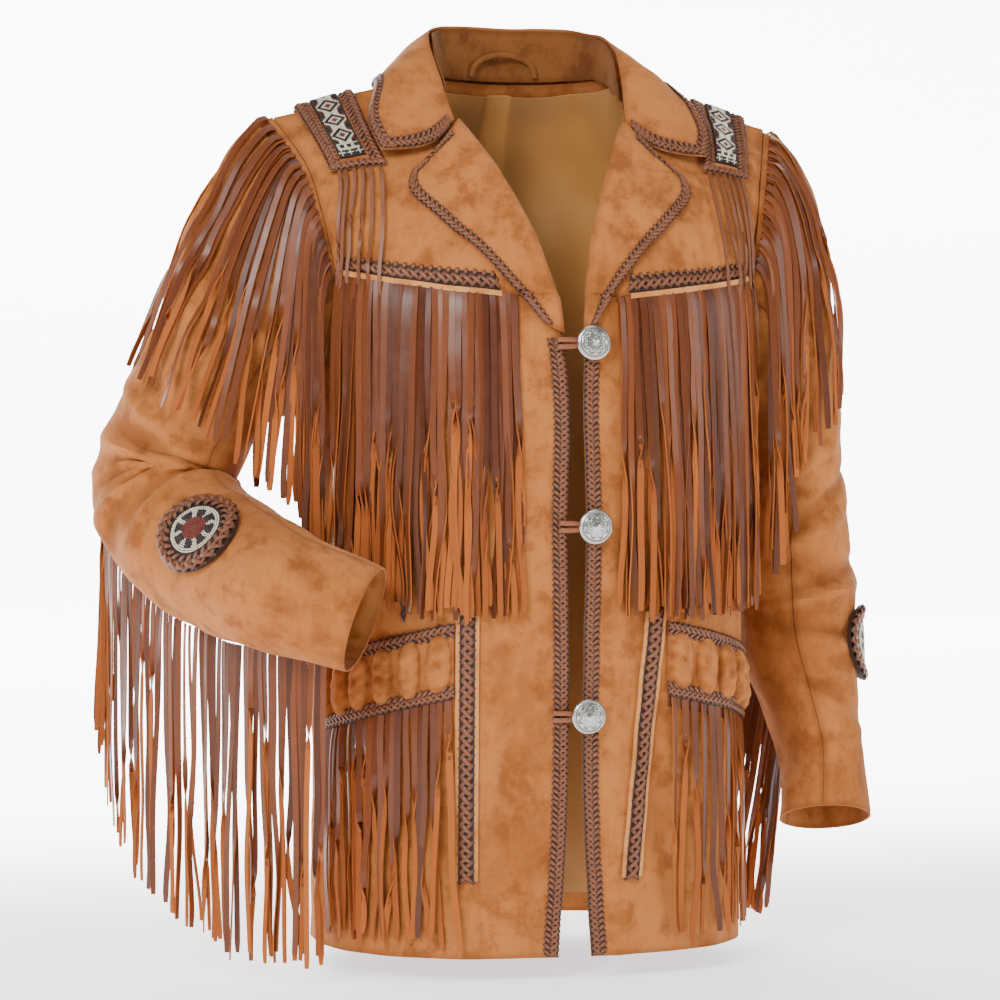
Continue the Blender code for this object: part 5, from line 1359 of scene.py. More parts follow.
HANGER_POINTS = 41
HANGER_WIDE = 0.0052
HANGER_THICK = 0.0026
HANGER_ARCH = 0.8
arc = np.linspace(0, math.pi, HANGER_POINTS)
hanger_y = BACK_NECK_DEPTH - HANGER_INSET - 0.0012
path = np.column_stack((-HANGER_HALF * np.cos(arc), np.full(HANGER_POINTS, hanger_y),
                        HANGER_FOOT_Z + HANGER_RISE * np.sin(arc) ** HANGER_ARCH))
hanger_way = np.cross(unit(np.gradient(path, axis=0)), (0.0, 1.0, 0.0))
# the hanger loop wears the suede copy with painted shade
band("hanger_band", path, hanger_way, HANGER_WIDE, HANGER_THICK, shaded_stand_cloth, "suede", ["hanger_loop"])
print("collar from", COLLAR_FOLD[0, 1:], "to", COLLAR_EDGE[-1, 1:])

# %% Lapels
NEWTON_STEPS = 9
NEWTON_REACH = 1e-3
FLAT_CROSS = 1e-9


def on_front(side, x, z):
    """Folded front under a point of the front view, and the parameters there, by Newton's method."""
    u = np.clip((np.abs(x) - 0.02) / 0.18, 0, 1)
    v = np.clip(1 - z / FRONT_YOKE_Z, 0, 1)
    for step in range(NEWTON_STEPS):
        here = front_yoke(side, u, v)
        du = (front_yoke(side, u + NEWTON_REACH, v) - here) / NEWTON_REACH
        dv = (front_yoke(side, u, v + NEWTON_REACH) - here) / NEWTON_REACH
        miss_x, miss_z = x - here[..., 0], z - here[..., 2]
        cross = du[..., 0] * dv[..., 2] - du[..., 2] * dv[..., 0]
        cross = np.where(np.abs(cross) < FLAT_CROSS, FLAT_CROSS, cross)
        u = np.clip(u + (miss_x * dv[..., 2] - miss_z * dv[..., 0]) / cross, 0.0, 1.0)
        v = np.clip(v + (miss_z * du[..., 0] - miss_x * du[..., 2]) / cross, 0.0, 1.0)
    high = YOKE[side](u, v)
    across = np.clip(front_across(side, x, z), 0, 1)
    low = FRONT[side](across, z)
    return np.where((v > 1e-4)[..., None], high, low)


LAPEL_PUFF = 0.0030
LAPEL_PUFF_REACH = 0.30
LAPEL_PUFF_END = 0.15
LAPEL_RIPPLE_LENGTH = 0.05
LAPEL_RIPPLE = 0.0005
LAPEL_GRID = (90, 40)
ROLL_TURNS = 7
ROLL_END = 0.25
ROLL_RADIUS = SUEDE / 2 + 0.0012


def lapel_skin(side, along, out):
    """Outside of the lapel by along, from notch to button, and out, from roll line to edge."""
    x, z = lapel_outline(side, along, out)
    return np.stack((x, on_front(side, x, z)[..., 1], z), -1)


LAPEL = {}
for name, side in SIDES:
    along, reach = grid(np.linspace(0, 1, LAPEL_GRID[0]), np.linspace(0, 1, LAPEL_GRID[1]))
    base = lapel_skin(side, along, reach)
    out = grid_normals(base, BODY_CENTRE)
    swell = np.exp(-(reach / LAPEL_PUFF_REACH) ** 2) * np.clip((1 - along) / LAPEL_PUFF_END, 0, 1)
    ripple = ripples(base, 31, LAPEL_RIPPLE_LENGTH, LAPEL_RIPPLE)
    puff = LAPEL_LIFT + SUEDE + LAPEL_PUFF * swell + ripple
    top_points = base + out * puff[..., None]
    edge_way = unit(base[0] - base[1])
    middle = base[0] - out[0] * SUEDE / 2
    roll = []
    ways = []
    for angle in np.linspace(math.pi, ROLL_END, ROLL_TURNS):
        radius = ROLL_RADIUS + SUEDE + (puff[0] - LAPEL_LIFT - SUEDE)[:, None] * (1 + math.cos(angle)) / 2
        ways.append(out[0] * math.cos(angle) + edge_way * math.sin(angle))
        roll.append(middle + radius * ways[-1])
    points = np.concatenate((np.array(roll), top_points))
    out = np.concatenate((np.array(ways), out))
    LAPEL[side] = top_points
    cloth("lapel_cloth_" + name, points, out, SUEDE, suede_cloth, "suede", ["lapel_" + name],
          np.concatenate((np.zeros((ROLL_TURNS, LAPEL_GRID[0])), ripple)))
print("lapel grid", LAPEL[RIGHT].shape)

# %% [markdown]
# ## Lacing
# Every edge is bound with a brown lace. A lace stitch is a flat strap that climbs out of one hole, arches
# over the edge and dives into the next. Two families that cross over and under give the plait. A run is
# described in metres along an edge and across it, so the same stitches can be laid on any surface.

# %% Lace stitches
LACE_STATIONS = 6
LACE_SIDES = 6
LACE_WIDE = 0.0030
LACE_DEEP = 0.0012
BED_THICK = 0.0006
STITCH_SLANT = 0.75
STITCH_ARCH = 0.6
STITCH_WEAVE = 0.30
STITCH_UNEVEN = 0.00018
STITCH_WIDTHS = (0.88, 1.12)
BED_STEP = 0.004
BED_LANES = 5
LACES = []

# Bound edges: width, length of a stitch, seed of the stitches' unevenness
EDGINGS = {
    "front_edge": (EDGE_LACING, 0.0050, 2),
    "collar": (0.0095, 0.0052, 4),
    "collar_end": (0.0085, 0.0052, 5),
    "lapel": (0.0098, 0.0052, 6),
    "lapel_top": (0.0080, 0.0052, 7),
    "patch_side": (0.0108, 0.0052, 8),
    "patch_end": (0.0100, 0.0052, 9),
    "pocket": (0.0112, 0.0056, 12),
}
EDGING_RISE = 0.0017


def sampled(points):
    """A surface read off a grid of points: bilinear in two parameters from 0 to 1."""
    rows, count = points.shape[:2]

    def surface(u, v):
        a, b = np.clip(u, 0, 1) * (count - 1), np.clip(v, 0, 1) * (rows - 1)
        i, j = np.minimum(a.astype(int), count - 2), np.minimum(b.astype(int), rows - 2)
        a, b = (a - i)[..., None], (b - j)[..., None]
        low = points[j, i] * (1 - a) + points[j, i + 1] * a
        return low * (1 - b) + (points[j + 1, i] * (1 - a) + points[j + 1, i + 1] * a) * b

    return surface


def arc_map(curve, count=240):
    """Length of a curve, and a function from metres along it to its own parameter."""
    t = np.linspace(0, 1, count)
    points = curve(t)
    run = np.concatenate(((0.0,), np.cumsum(np.linalg.norm(np.diff(points, axis=0), axis=-1))))
    return float(run[-1]), lambda metres: np.interp(metres, run, t)


def plait(length, low, high, pitch, rise):
    """Two families of stitches between two lines: one over in the middle, the other over at its ends."""
    count = max(int(round(length / pitch)), 2)
    middle = (np.arange(count) + 0.5) * length / count
    slant = STITCH_SLANT * pitch
    t = np.linspace(0, 1, LACE_STATIONS)
    arch = np.sin(math.pi * t) ** STITCH_ARCH * rise
    weave = np.cos(2 * math.pi * (t - 0.5)) * rise * STITCH_WEAVE
    starts = np.concatenate((np.stack((middle - slant, np.full(count, low)), -1),
                             np.stack((middle - slant, np.full(count, high)), -1)))
    ends = np.concatenate((np.stack((middle + slant, np.full(count, high)), -1),
                           np.stack((middle + slant, np.full(count, low)), -1)))
    heights = np.concatenate((np.tile(arch + weave, (count, 1)), np.tile(arch - weave, (count, 1))))
    return starts, ends, heights


def whip(length, low, high, pitch, rise, lean=0.5):
    """One family of slanted stitches from a line of holes to the edge."""
    count = max(int(round(length / pitch)), 2)
    middle = (np.arange(count) + 0.5) * length / count
    slant = lean * pitch
    t = np.linspace(0, 1, LACE_STATIONS)
    heights = np.tile(np.sin(math.pi * t) ** STITCH_ARCH * rise, (count, 1))
    starts = np.stack((middle - slant, np.full(count, high)), -1)
    ends = np.stack((middle + slant, np.full(count, low)), -1)
    return starts, ends, heights


def joined(*families):
    """Several families of stitches as one."""
    return [np.concatenate(parts) for parts in zip(*families)]


def stitches(name, place, centre, family, nodes=(), wide=LACE_WIDE, deep=LACE_DEEP, seed=1):
    """Straps over a surface: a flat ellipse carried from start to end, lifted by its heights."""
    starts, ends, heights = family
    draw = np.random.default_rng(seed)
    count = len(starts)
    t = np.linspace(0, 1, LACE_STATIONS)
    jitter = draw.normal(0, STITCH_UNEVEN, (count, 1))
    s = starts[:, :1] * (1 - t) + ends[:, :1] * t + jitter
    w = starts[:, 1:] * (1 - t) + ends[:, 1:] * t
    base = place(s, w)
    out = normals(place, s, w, centre)
    path = base + out * (heights + BED_THICK * 0.5)[..., None]
    tangent = unit(np.gradient(path, axis=1))
    across = unit(np.cross(out, tangent))
    up = np.cross(tangent, across)
    turn = around(LACE_SIDES)
    taper = (0.72 + 0.28 * np.sin(math.pi * t))[None, :, None, None]
    half = wide / 2 * draw.uniform(*STITCH_WIDTHS, (count, 1, 1, 1)) * taper
    corners = (path[:, :, None] + across[:, :, None] * np.cos(turn)[:, None] * half
               + up[:, :, None] * np.sin(turn)[:, None] * deep / 2)
    index = np.arange(count * LACE_STATIONS * LACE_SIDES).reshape(count, LACE_STATIONS, LACE_SIDES)
    after = np.roll(index, -1, 2)
    walls = np.stack((index[:, :-1], after[:, :-1], after[:, 1:], index[:, 1:]), -1).reshape(-1, 4)
    first, last = index[:, 0], index[:, -1]
    caps = [first[:, (3, 2, 1, 0)], first[:, (5, 4, 3, 0)], last[:, (0, 1, 2, 3)], last[:, (0, 3, 4, 5)]]
    faces = np.concatenate([walls] + caps)
    # crown mask for the painted highlight on the strap's upper side in mid-stitch; its ends, where it dips into
    # the holes, and its underside get painted shade
    top = np.clip(np.sin(turn), 0, 1)[None, None, :] * np.sin(math.pi * t)[None, :, None]
    crown = np.broadcast_to(top, index.shape).ravel()
    LACES.append(count)
    return solid(name, corners.reshape(-1, 3), faces, lace_leather, "lacing_leather", nodes, 75.0, crown=crown)


def bed(name, place, centre, length, low, high, material=shade_bed_leather, lift=0.0002, thick=BED_THICK,
        slot="lacing_leather"):
    """Thin strip under the stitches, so that no cloth shows between them; by default it is near-black painted
    shade.
    """
    lanes = np.linspace(low, high, BED_LANES)
    s, w = grid(np.linspace(0.0005, length - 0.0005, max(int(length / BED_STEP), 8)), lanes)
    base = place(s, w)
    out = normals(place, s, w, centre)
    both = doubled(base + out * (lift + thick), base + out * lift)
    return solid(name, both, wall_faces(*s.shape), material, slot, edge=np.full(len(both), INSIDE_EDGE),
                 lift=np.zeros(len(both)), crown=np.zeros(len(both)))


def edging(kind, name, place, centre, length, nodes=()):
    """Bound edge: a plait along the edge and short stitches beside it, on a near-black strip of painted shade.
    """
    width, pitch, seed = EDGINGS[kind]
    bed(name + "_bed", place, centre, length, 0.0003, width * 0.92)
    family = joined(plait(length, 0.0, width * 0.70, pitch, EDGING_RISE),
                    whip(length, width * 0.52, width, pitch, EDGING_RISE * 0.75))
    return stitches(name, place, centre, family, nodes, seed=seed)


# %% Front edges and yoke seams
YOKE_SCALE = 0.165
EDGE_TOP_Z = FIRST_BUTTON_Z + 0.004
EDGE_FOOT_Z = HEM_Z + 0.002
BRAID_UP = 0.05
BRAID_PITCH = 0.0074
BRAID_WIDE = 0.0036
BRAID_LANES = (0.0004, 0.0108, 0.0016)
BRAID_WHIP = (0.0098, 0.0142, 0.0012, 0.2)
BRAID_BED = (0.0005, 0.0125)
RAW_RIM = (-0.0032, 0.0012)
RAW_RIM_LIFT = 0.0030
RAW_RIM_THICK = 0.0011


def front_laces(name, side):
    """Lacing of a front edge, and the braid and the raw edge of its yoke seam."""
    def front_place(s, w):
        z = EDGE_TOP_Z - s
        x = smooth(FRONT_EDGE, z)[..., 0] + side * FRONT_CENTRE_X + w
        return FRONT[side](front_across(side, x, z), z)

    edging("front_edge", "front_edge_laces_" + name, front_place, BODY_CENTRE, EDGE_TOP_Z - EDGE_FOOT_Z,
           ["front_lacing_" + name])

    start = float(front_across(side, YOKE_BRAID_START, FRONT_YOKE_Z))
    seam_line = lambda t: front_yoke(side, start + (YOKE_BRAID_END - start) * t, np.full_like(t, BRAID_UP))
    length, across_at = arc_map(seam_line)

    def yoke_place(s, w):
        across = start + (YOKE_BRAID_END - start) * across_at(s)
        return YOKE[side](across, BRAID_FOOT + w / YOKE_SCALE)

    bed("yoke_braid_bed_" + name, yoke_place, BODY_CENTRE, length, *BRAID_BED)
    low, high, rise = BRAID_LANES
    whip_low, whip_high, whip_rise, whip_lean = BRAID_WHIP
    family = joined(plait(length, low, high, BRAID_PITCH, rise),
                    whip(length, whip_low, whip_high, BRAID_PITCH, whip_rise, whip_lean))
    stitches("yoke_laces_" + name, yoke_place, BODY_CENTRE, family, ["yoke_braid_" + name], wide=BRAID_WIDE,
             seed=3)

    def rim_place(s, w):
        across = start + (YOKE_BRAID_END - start) * across_at(s)
        return FRONT[side](across, front_seam_z(across) + w)

    bed("yoke_raw_edge_" + name, rim_place, BODY_CENTRE, length, *RAW_RIM, raw_edge_cloth, RAW_RIM_LIFT,
        RAW_RIM_THICK, "suede")


for name, side in SIDES:
    front_laces(name, side)

# %% Collar and lapel lacing
COLLAR_END_RUN = (0.10, 0.82)
COLLAR_END_SCALE = 0.20
LAPEL_RIM_SHARE = 0.985
LAPEL_TOP_RUN = (0.16, 0.78)
LAPEL_TOP_SCALE = 0.19
LEAST_COLLAR_REACH = 0.02
LEAST_LAPEL_REACH = 0.014


def reach_of(surface, along):
    """Length of a leaf from its fold to its edge, at places along it."""
    return np.linalg.norm(surface(along, np.ones_like(along)) - surface(along, np.zeros_like(along)), axis=-1)


edge_length, collar_at = arc_map(lambda t: collar(2 * t - 1, np.ones_like(t)))


def collar_place(s, w):
    """Along the collar's outer edge and in from it."""
    across = 2 * collar_at(s) - 1
    return COLLAR_SKIN(across, 1 - w / np.maximum(reach_of(collar, across), LEAST_COLLAR_REACH))


def collar_end_laces(name, side):
    """Lacing of the collar's short end on one side."""
    begin, run = COLLAR_END_RUN
    end_length, out_at = arc_map(lambda t: collar(np.full_like(t, side), begin + run * t))

    def collar_end_place(s, w):
        return COLLAR_SKIN(side * (1 - w / COLLAR_END_SCALE), begin + run * out_at(s))

    edging("collar_end", "collar_end_laces_" + name, collar_end_place, COLLAR_INSIDE, end_length)


def lapel_laces(name, side):
    """Lacing of a lapel's long edge and of its top."""
    lapel_at = sampled(LAPEL[side])
    rim_length, along_at = arc_map(lambda t: lapel_at(LAPEL_RIM_SHARE * t, np.ones_like(t)))

    def lapel_place(s, w):
        along = LAPEL_RIM_SHARE * along_at(s)
        return lapel_at(along, 1 - w / np.maximum(reach_of(lapel_at, along), LEAST_LAPEL_REACH))

    edging("lapel", "lapel_laces_" + name, lapel_place, BODY_CENTRE, rim_length, ["lapel_lacing_" + name])
    begin, run = LAPEL_TOP_RUN
    top_length, reach_at = arc_map(lambda t: lapel_at(np.zeros_like(t), begin + run * t))

    def lapel_top_place(s, w):
        return lapel_at(w / LAPEL_TOP_SCALE, begin + run * reach_at(s))

    edging("lapel_top", "lapel_top_laces_" + name, lapel_top_place, BODY_CENTRE, top_length)


edging("collar", "collar_laces", collar_place, COLLAR_INSIDE, edge_length, ["collar_lacing"])
for name, side in SIDES:
    collar_end_laces(name, side)
    lapel_laces(name, side)
print("stitches", sum(LACES))

# %% [markdown]
# ## How fringe hangs
# A strand leaves its seam along the cloth, bends to the fall line and slides over whatever it meets. All
# strands of a row fall together, one short step at a time: each step is pushed clear of the nearest point
# of the garment, which is known as a cloud of points with normals.

# %% The garment as a cloud, and falling strands
FALL_STEP = 0.009
CLOUD_CHUNK = 200
NEAR_CLOTH = 0.05
STIFFNESS = 0.55


def cloud_of(surface, centre, u, v):
    """Points and outward normals of a surface over crossed parameters."""
    uu, vv = grid(u, v)
    points = surface(uu, vv)
    return np.concatenate((points, normals(surface, uu, vv, centre)), -1).reshape(-1, 6)


def arm_cloud(side):
    """The same for a sleeve, whose inside is a curve."""
    turn, share = grid(np.linspace(-1.80, 1.80, 72), np.linspace(0.01, 1, 112))
    points = ARM[side](turn, share)
    ways = normals(bare_sleeve(side), turn, share, sleeve_centre(side, share))
    return np.concatenate((points, ways), -1).reshape(-1, 6)


clouds = []
for name, side in SIDES:
    clouds.append(cloud_of(lambda u, v, side=side: FRONT[side](u, row_z(front_seam_z(u), v)), BODY_CENTRE,
                           np.linspace(0, 1, 42), np.linspace(0.01, 2, 104)))
    clouds.append(cloud_of(YOKE[side], BODY_CENTRE, np.linspace(0, 1, 40), np.linspace(0, 0.99, 40)))
back_across = np.linspace(-0.995, 0.995, 90)
clouds.append(cloud_of(lambda u, v: BACK(u, row_z(BACK_YOKE_Z, v)), BODY_CENTRE, back_across,
                       np.linspace(0.01, 2, 110)))
clouds.append(cloud_of(BACK_YOKE, BODY_CENTRE, back_across, np.linspace(0, 0.99, 30)))
BODY_CLOUD = np.concatenate(clouds)
ARM_CLOUD = {side: arm_cloud(side) for name, side in SIDES}


def cleared(points, cloud, gap):
    """Points moved out along the nearest cloud point's normal until they are a gap away from its plane."""
    result = points.copy()
    places, ways = cloud[:, :3], cloud[:, 3:]
    square = np.sum(places ** 2, -1)
    for first in range(0, len(points), CLOUD_CHUNK):
        part = slice(first, first + CLOUD_CHUNK)
        near = np.argmin(square[None] - 2 * result[part] @ places.T, -1)
        off = result[part] - places[near]
        height = np.sum(off * ways[near], -1)
        close = (np.linalg.norm(off, axis=-1) < NEAR_CLOTH) & (height < gap[part])
        result[part] += np.where(close[:, None], ways[near] * (gap[part] - height)[:, None], 0.0)
    return result


def fallen(start, heading, length, lean, cloud, gap):
    """Paths of strands: rows of stations from each start, bending from the heading to the fall line."""
    stations = int(np.ceil(np.max(length) / FALL_STEP))
    step = (length / stations)[:, None]
    fall_line = unit(np.column_stack((lean, np.full(len(length), -1.0))))
    path = [start]
    for k in range(stations):
        heading = unit(heading * STIFFNESS + fall_line * (1 - STIFFNESS))
        spot = cleared(path[-1] + heading * step, cloud, gap)
        heading = unit(spot - path[-1])
        path.append(cleared(path[-1] + heading * step, cloud, gap))
    return np.stack(path, 1)


STRAND_THICK = 0.0012
GRAIN_MARK = 0.25
FLESH_MARK = 0.75


def ribbons(name, paths, face, wide, twist, tone, material, slot, nodes, inside):
    """Flat strands: along each path a small rectangle, turned by its twist, with the flesh side marked."""
    count, stations = paths.shape[:2]
    tangent = unit(np.gradient(paths, axis=1))
    front = unit(face - tangent * np.sum(face * tangent, -1, keepdims=True))
    across = unit(np.cross(tangent, front))
    c, s = np.cos(twist)[..., None], np.sin(twist)[..., None]
    front, across = front * c + across * s, across * c - front * s
    half = np.broadcast_to(wide, (count, stations))[..., None] / 2
    deep = front * STRAND_THICK / 2
    corners = np.stack((paths - across * half + deep, paths + across * half + deep,
                        paths + across * half - deep, paths - across * half - deep), 2)
    index = np.arange(count * stations * 4).reshape(count, stations, 4)
    after = np.roll(index, -1, 2)
    walls = np.stack((index[:, :-1], after[:, :-1], after[:, 1:], index[:, 1:]), -1)
    sides = np.broadcast_to(np.arange(4), walls.shape[:-1]).ravel()
    caps = np.concatenate((index[:, 0, ::-1], index[:, -1]))
    faces = np.concatenate((walls.reshape(-1, 4), caps))
    flesh = np.concatenate((np.where(sides == 0, GRAIN_MARK, FLESH_MARK), np.full(len(caps), FLESH_MARK)))
    if not inside:
        flesh = np.full_like(flesh, GRAIN_MARK)
    piece = solid(name, corners.reshape(-1, 3), faces, material, slot, nodes,
                  tone=np.repeat(tone, stations * 4), crown=np.full(count * stations * 4, 0.6))
    layer = piece.data.uv_layers.new(name="strand")
    values = np.repeat(flesh, 4)
    layer.data.foreach_set("uv", np.column_stack((values, values)).ravel())
    STRANDS.append(count)
    return piece


STRANDS = []
STRAND_WIDE = 0.0056
LENGTH_SPREAD = (0.965, 1.02)
LEAN_SPREAD = 0.018
SWAY_WAVES = np.array((1.3, 2.3, 3.7))
SWAY = 0.0016
SWAY_GROWTH = 1.2
SMALL_TURN = (0.2, 1.2)
LATEST_TURN = 0.75
TURN_SPAN = (0.12, 0.35)
ROOT_TWIST = 0.16
TIP_TWIST = 0.25
WIDTH_SPREAD = (0.86, 1.08)
TAPER = 0.10
TIP_SHARE = 0.985
TIP_WIDTHS = (0.55, 1.0)


def hang(name, seed, start, face, heading, length, lean, cloud, gap, nodes, wide=STRAND_WIDE, turned=0.55,
         material=strand_hide, slot="fringe_leather", inside=True, early=0.30):
    """A row of strands: jittered, fallen, and turned over somewhere on the way down."""
    draw = np.random.default_rng(seed)
    count = len(start)
    length = length * draw.uniform(*LENGTH_SPREAD, count)
    lean = lean + draw.normal(0, LEAN_SPREAD, (count, 2))
    paths = fallen(start, heading, length, lean, cloud, np.full(count, gap))
    share = np.linspace(0, 1, paths.shape[1])
    sway = draw.normal(0, 1, (count, 3, 1)) * np.sin(np.outer(SWAY_WAVES, share) * math.pi)[None]
    sway = sway.sum(1) * (share ** SWAY_GROWTH)[None] * SWAY
    side_way = unit(np.cross(face, np.array((0.0, 0.0, 1.0))))
    paths = paths + side_way[:, None] * sway[..., None]
    amount = np.where(draw.uniform(size=count) < turned, math.pi, draw.uniform(*SMALL_TURN, count))
    amount = amount * np.where(draw.uniform(size=count) < 0.5, -1, 1)
    begin = draw.uniform(early, LATEST_TURN, count)
    span = draw.uniform(*TURN_SPAN, count)
    t = np.clip((share[None] - begin[:, None]) / span[:, None], 0, 1)
    small = draw.normal(0, ROOT_TWIST, (count, 1)) + draw.normal(0, TIP_TWIST, (count, 1)) * share[None]
    twist = amount[:, None] * t * t * (3 - 2 * t) + small
    width = wide * draw.uniform(*WIDTH_SPREAD, (count, 1)) * (1 - TAPER * share[None])
    tip = np.where(share[None] > TIP_SHARE, draw.uniform(*TIP_WIDTHS, (count, 1)), 1.0)
    return ribbons(name, paths, face[:, None, :], width * tip, twist, draw.uniform(0.0, 1.0, count), material,
                   slot, nodes, inside)


def straight_down(t):
    """Downward directions, one for each position of a row."""
    return np.tile((0.0, 0.0, -1.0), (len(t), 1))


def evenly(count, seed, jitter=0.25):
    """Positions from 0 to 1, one to a space, each moved a little."""
    draw = np.random.default_rng(seed)
    return (np.arange(count) + 0.5 + draw.uniform(-jitter, jitter, count)) / count


print("cloud", len(BODY_CLOUD), {side: len(cloud) for side, cloud in ARM_CLOUD.items()})

# %% [markdown]
# ## Chest, armhole, sleeve and pocket fringe
# The chest fringe hangs in two layers from under the yoke's lacing. The armhole fringe fans over the upper
# arm; the sleeve fringe falls free from the back seam; the pocket fringe hangs down to the hem.

# %% Fringe rows
CHEST_COUNT = (37, 33)
ARMHOLE_COUNT = (34, 26)
SLEEVE_COUNT = {RIGHT: 62, LEFT: 40}
POCKET_COUNT = {RIGHT: 25, LEFT: 16}
FRINGE_STRIP = 0.009


def pocket_on_skin(side):
    """Pocket band on the folded front: the front's point at the same x and height."""
    flat = pocket_surface(side)

    def surface(u, v):
        base = flat(u, v)
        return FRONT[side](front_across(side, base[..., 0], base[..., 2]), base[..., 2])

    return surface


POCKET = {side: pocket_on_skin(side) for name, side in SIDES}
SEEDS = {"chest": 50, "armhole": 60, "sleeve": 70, "pocket": 80, "thongs": 92}
SPACING_SEEDS = {"chest": 40, "armhole": 44, "sleeve": 48, "pocket": 49, "thongs": 90}
CHEST_GAP = (0.0024, 0.0022)
CHEST_SEAT = (0.0012, 0.0015)
CHEST_LEAN = (0.014, -0.01)
ARMHOLE_GAP = (0.0030, 0.0024)
ARMHOLE_SEAT = (0.0012, 0.0012)
ARMHOLE_GROWTH = (0.98, 0.12)
ARM_DOWN_SHARE = 0.05
ARM_FACE_SHARE = 0.03
SLEEVE_GAP = 0.0034
SLEEVE_SEAT = 0.0012
SLEEVE_STRAND_WIDE = 0.0052
SEAM_OUTWARD = 0.30
POCKET_GAP = 0.0030
POCKET_SEAT = 0.0016
POCKET_RUN = (0.015, 0.97)
POCKET_LENGTH_SHARE = 0.985
STRIP_POINTS = 60
STRIP_ROWS = 4
STRIP_TONE = 0.4
STRIP_LIFT = 0.0008
ARM_ROW = {RIGHT: (-62.0, 104.0), LEFT: (-66.0, 92.0)}
ARM_ROW_SHARE = 0.010
SLEEVE_ROW = {RIGHT: (0.50, 0.965), LEFT: (0.50, 0.90)}
ROW_TURN = {RIGHT: (3.16, 2.86), LEFT: (2.28, 2.28)}
SLEEVE_GROWTH = {RIGHT: 0.040, LEFT: 0.0}
SLEEVE_SWING = {RIGHT: 0.0, LEFT: 0.35}
LOWEST_TIP = -0.752
ARM_LEAN = {RIGHT: 0.40, LEFT: 0.03}
ARM_CROWD = {RIGHT: 0.72, LEFT: 0.9}


def strip(name, line, face, down):
    """Narrow sewn strip that the strands of a row grow from."""
    t = np.linspace(0, 1, STRIP_POINTS)
    out = face(t)
    points = line(t) + down(t) * np.linspace(0, FRINGE_STRIP, STRIP_ROWS)[:, None, None] + out * STRIP_LIFT
    both = doubled(points, points - out * STRAND_THICK)
    return solid(name, both, wall_faces(STRIP_ROWS, STRIP_POINTS), strand_hide, "fringe_leather",
                 tone=np.full(len(both), STRIP_TONE), crown=np.full(len(both), STRIP_TONE))


def chest_row(name, side):
    """Two layers of strands under the yoke seam."""
    start_x = float(front_across(side, CHEST_START[side], FRONT_YOKE_Z))

    def line(t):
        across = start_x + (CHEST_END - start_x) * t
        return FRONT[side](across, front_seam_z(across) - 0.0005)

    def facing(t):
        across = start_x + (CHEST_END - start_x) * t
        return normals(FRONT[side], across, front_seam_z(across) - 0.004, BODY_CENTRE)

    first_tip, last_tip = CHEST_TIP_Z[side]
    for layer, count in enumerate(CHEST_COUNT):
        t = evenly(count, SPACING_SEEDS["chest"] + layer)
        face = facing(t)
        start = line(t) + face * (CHEST_SEAT[0] + CHEST_SEAT[1] * layer)
        length = start[:, 2] - (first_tip + (last_tip - first_tip) * t ** 3) + 0.004
        lean = np.column_stack((side * CHEST_LEAN[0] * t, np.full(count, CHEST_LEAN[1])))
        hang("chest_strands_%d_%s" % (layer, name), SEEDS["chest"] + layer + 2 * side, start, face,
             straight_down(t), length, lean, BODY_CLOUD, CHEST_GAP[0] + CHEST_GAP[1] * layer,
             ["chest_fringe_" + name] if layer == 0 else ())
    strip("chest_strip_" + name, line, facing, straight_down)


def armhole_row(name, side, cloud):
    """Two layers of strands that fan out over the upper arm from the armhole seam."""
    first, last = ARM_ROW[side]

    def turn_at(t):
        return (first + (last - first) * t) / 100

    def line(t):
        return ARM[side](turn_at(t), np.full_like(t, ARM_ROW_SHARE))

    def facing(t):
        return normals(bare_sleeve(side), turn_at(t), np.full_like(t, ARM_FACE_SHARE), ARMHOLE_INSIDE[side])

    def down(t):
        return unit(ARM[side](turn_at(t), np.full_like(t, ARM_DOWN_SHARE)) - line(t))

    for layer, count in enumerate(ARMHOLE_COUNT):
        t = evenly(count, SPACING_SEEDS["armhole"] + layer) ** ARM_CROWD[side]
        face = facing(t)
        start = line(t) + face * (ARMHOLE_SEAT[0] + ARMHOLE_SEAT[1] * layer)
        angle = first + (last - first) * t
        outward = np.cos(np.radians(np.clip(angle * 1.2, -90, 90))) ** 2
        lean = np.column_stack((side * outward * ARM_LEAN[side], -0.05 * np.clip(t - 0.6, 0, 1)))
        length = ARMHOLE_LENGTH * (ARMHOLE_GROWTH[0] + ARMHOLE_GROWTH[1] * t * t)
        hang("armhole_strands_%d_%s" % (layer, name), SEEDS["armhole"] + layer + 2 * side, start, face, down(t),
             length, lean, cloud, ARMHOLE_GAP[0] + ARMHOLE_GAP[1] * layer,
             ["armhole_fringe_" + name] if layer == 0 else ())
    strip("armhole_strip_" + name, line, facing, down)


def sleeve_row(name, side, cloud):
    """Strands that fall free from the back seam of a sleeve."""
    first, last = SLEEVE_ROW[side]
    seam, seam_end = ROW_TURN[side]

    def line(t):
        return ARM[side](seam + (seam_end - seam) * t, first + (last - first) * t)

    count = SLEEVE_COUNT[side]
    t = evenly(count, SPACING_SEEDS["sleeve"])
    start = line(t)
    out = unit(start - sleeve_centre(side, first + (last - first) * t))
    face = unit(np.cross(line(t + 0.02) - line(t - 0.02), np.array((0.0, 0.0, -1.0))))
    face = face * np.where(face[:, 1:2] > 0, -1.0, 1.0)
    low, high = SLEEVE_LEAN[side]
    lean = unit(out[:, :2]) * ((low + (high - low) * t) * SLEEVE_SWING[side])[:, None]
    wanted = SLEEVE_FRINGE_LENGTH[side] + SLEEVE_GROWTH[side] * t
    hang("sleeve_strands_" + name, SEEDS["sleeve"] + side, start + out * SLEEVE_SEAT, face,
         unit(out * SEAM_OUTWARD + straight_down(t)), np.minimum(wanted, start[:, 2] - LOWEST_TIP), lean, cloud,
         SLEEVE_GAP, ["sleeve_fringe_" + name], wide=SLEEVE_STRAND_WIDE, early=0.10)


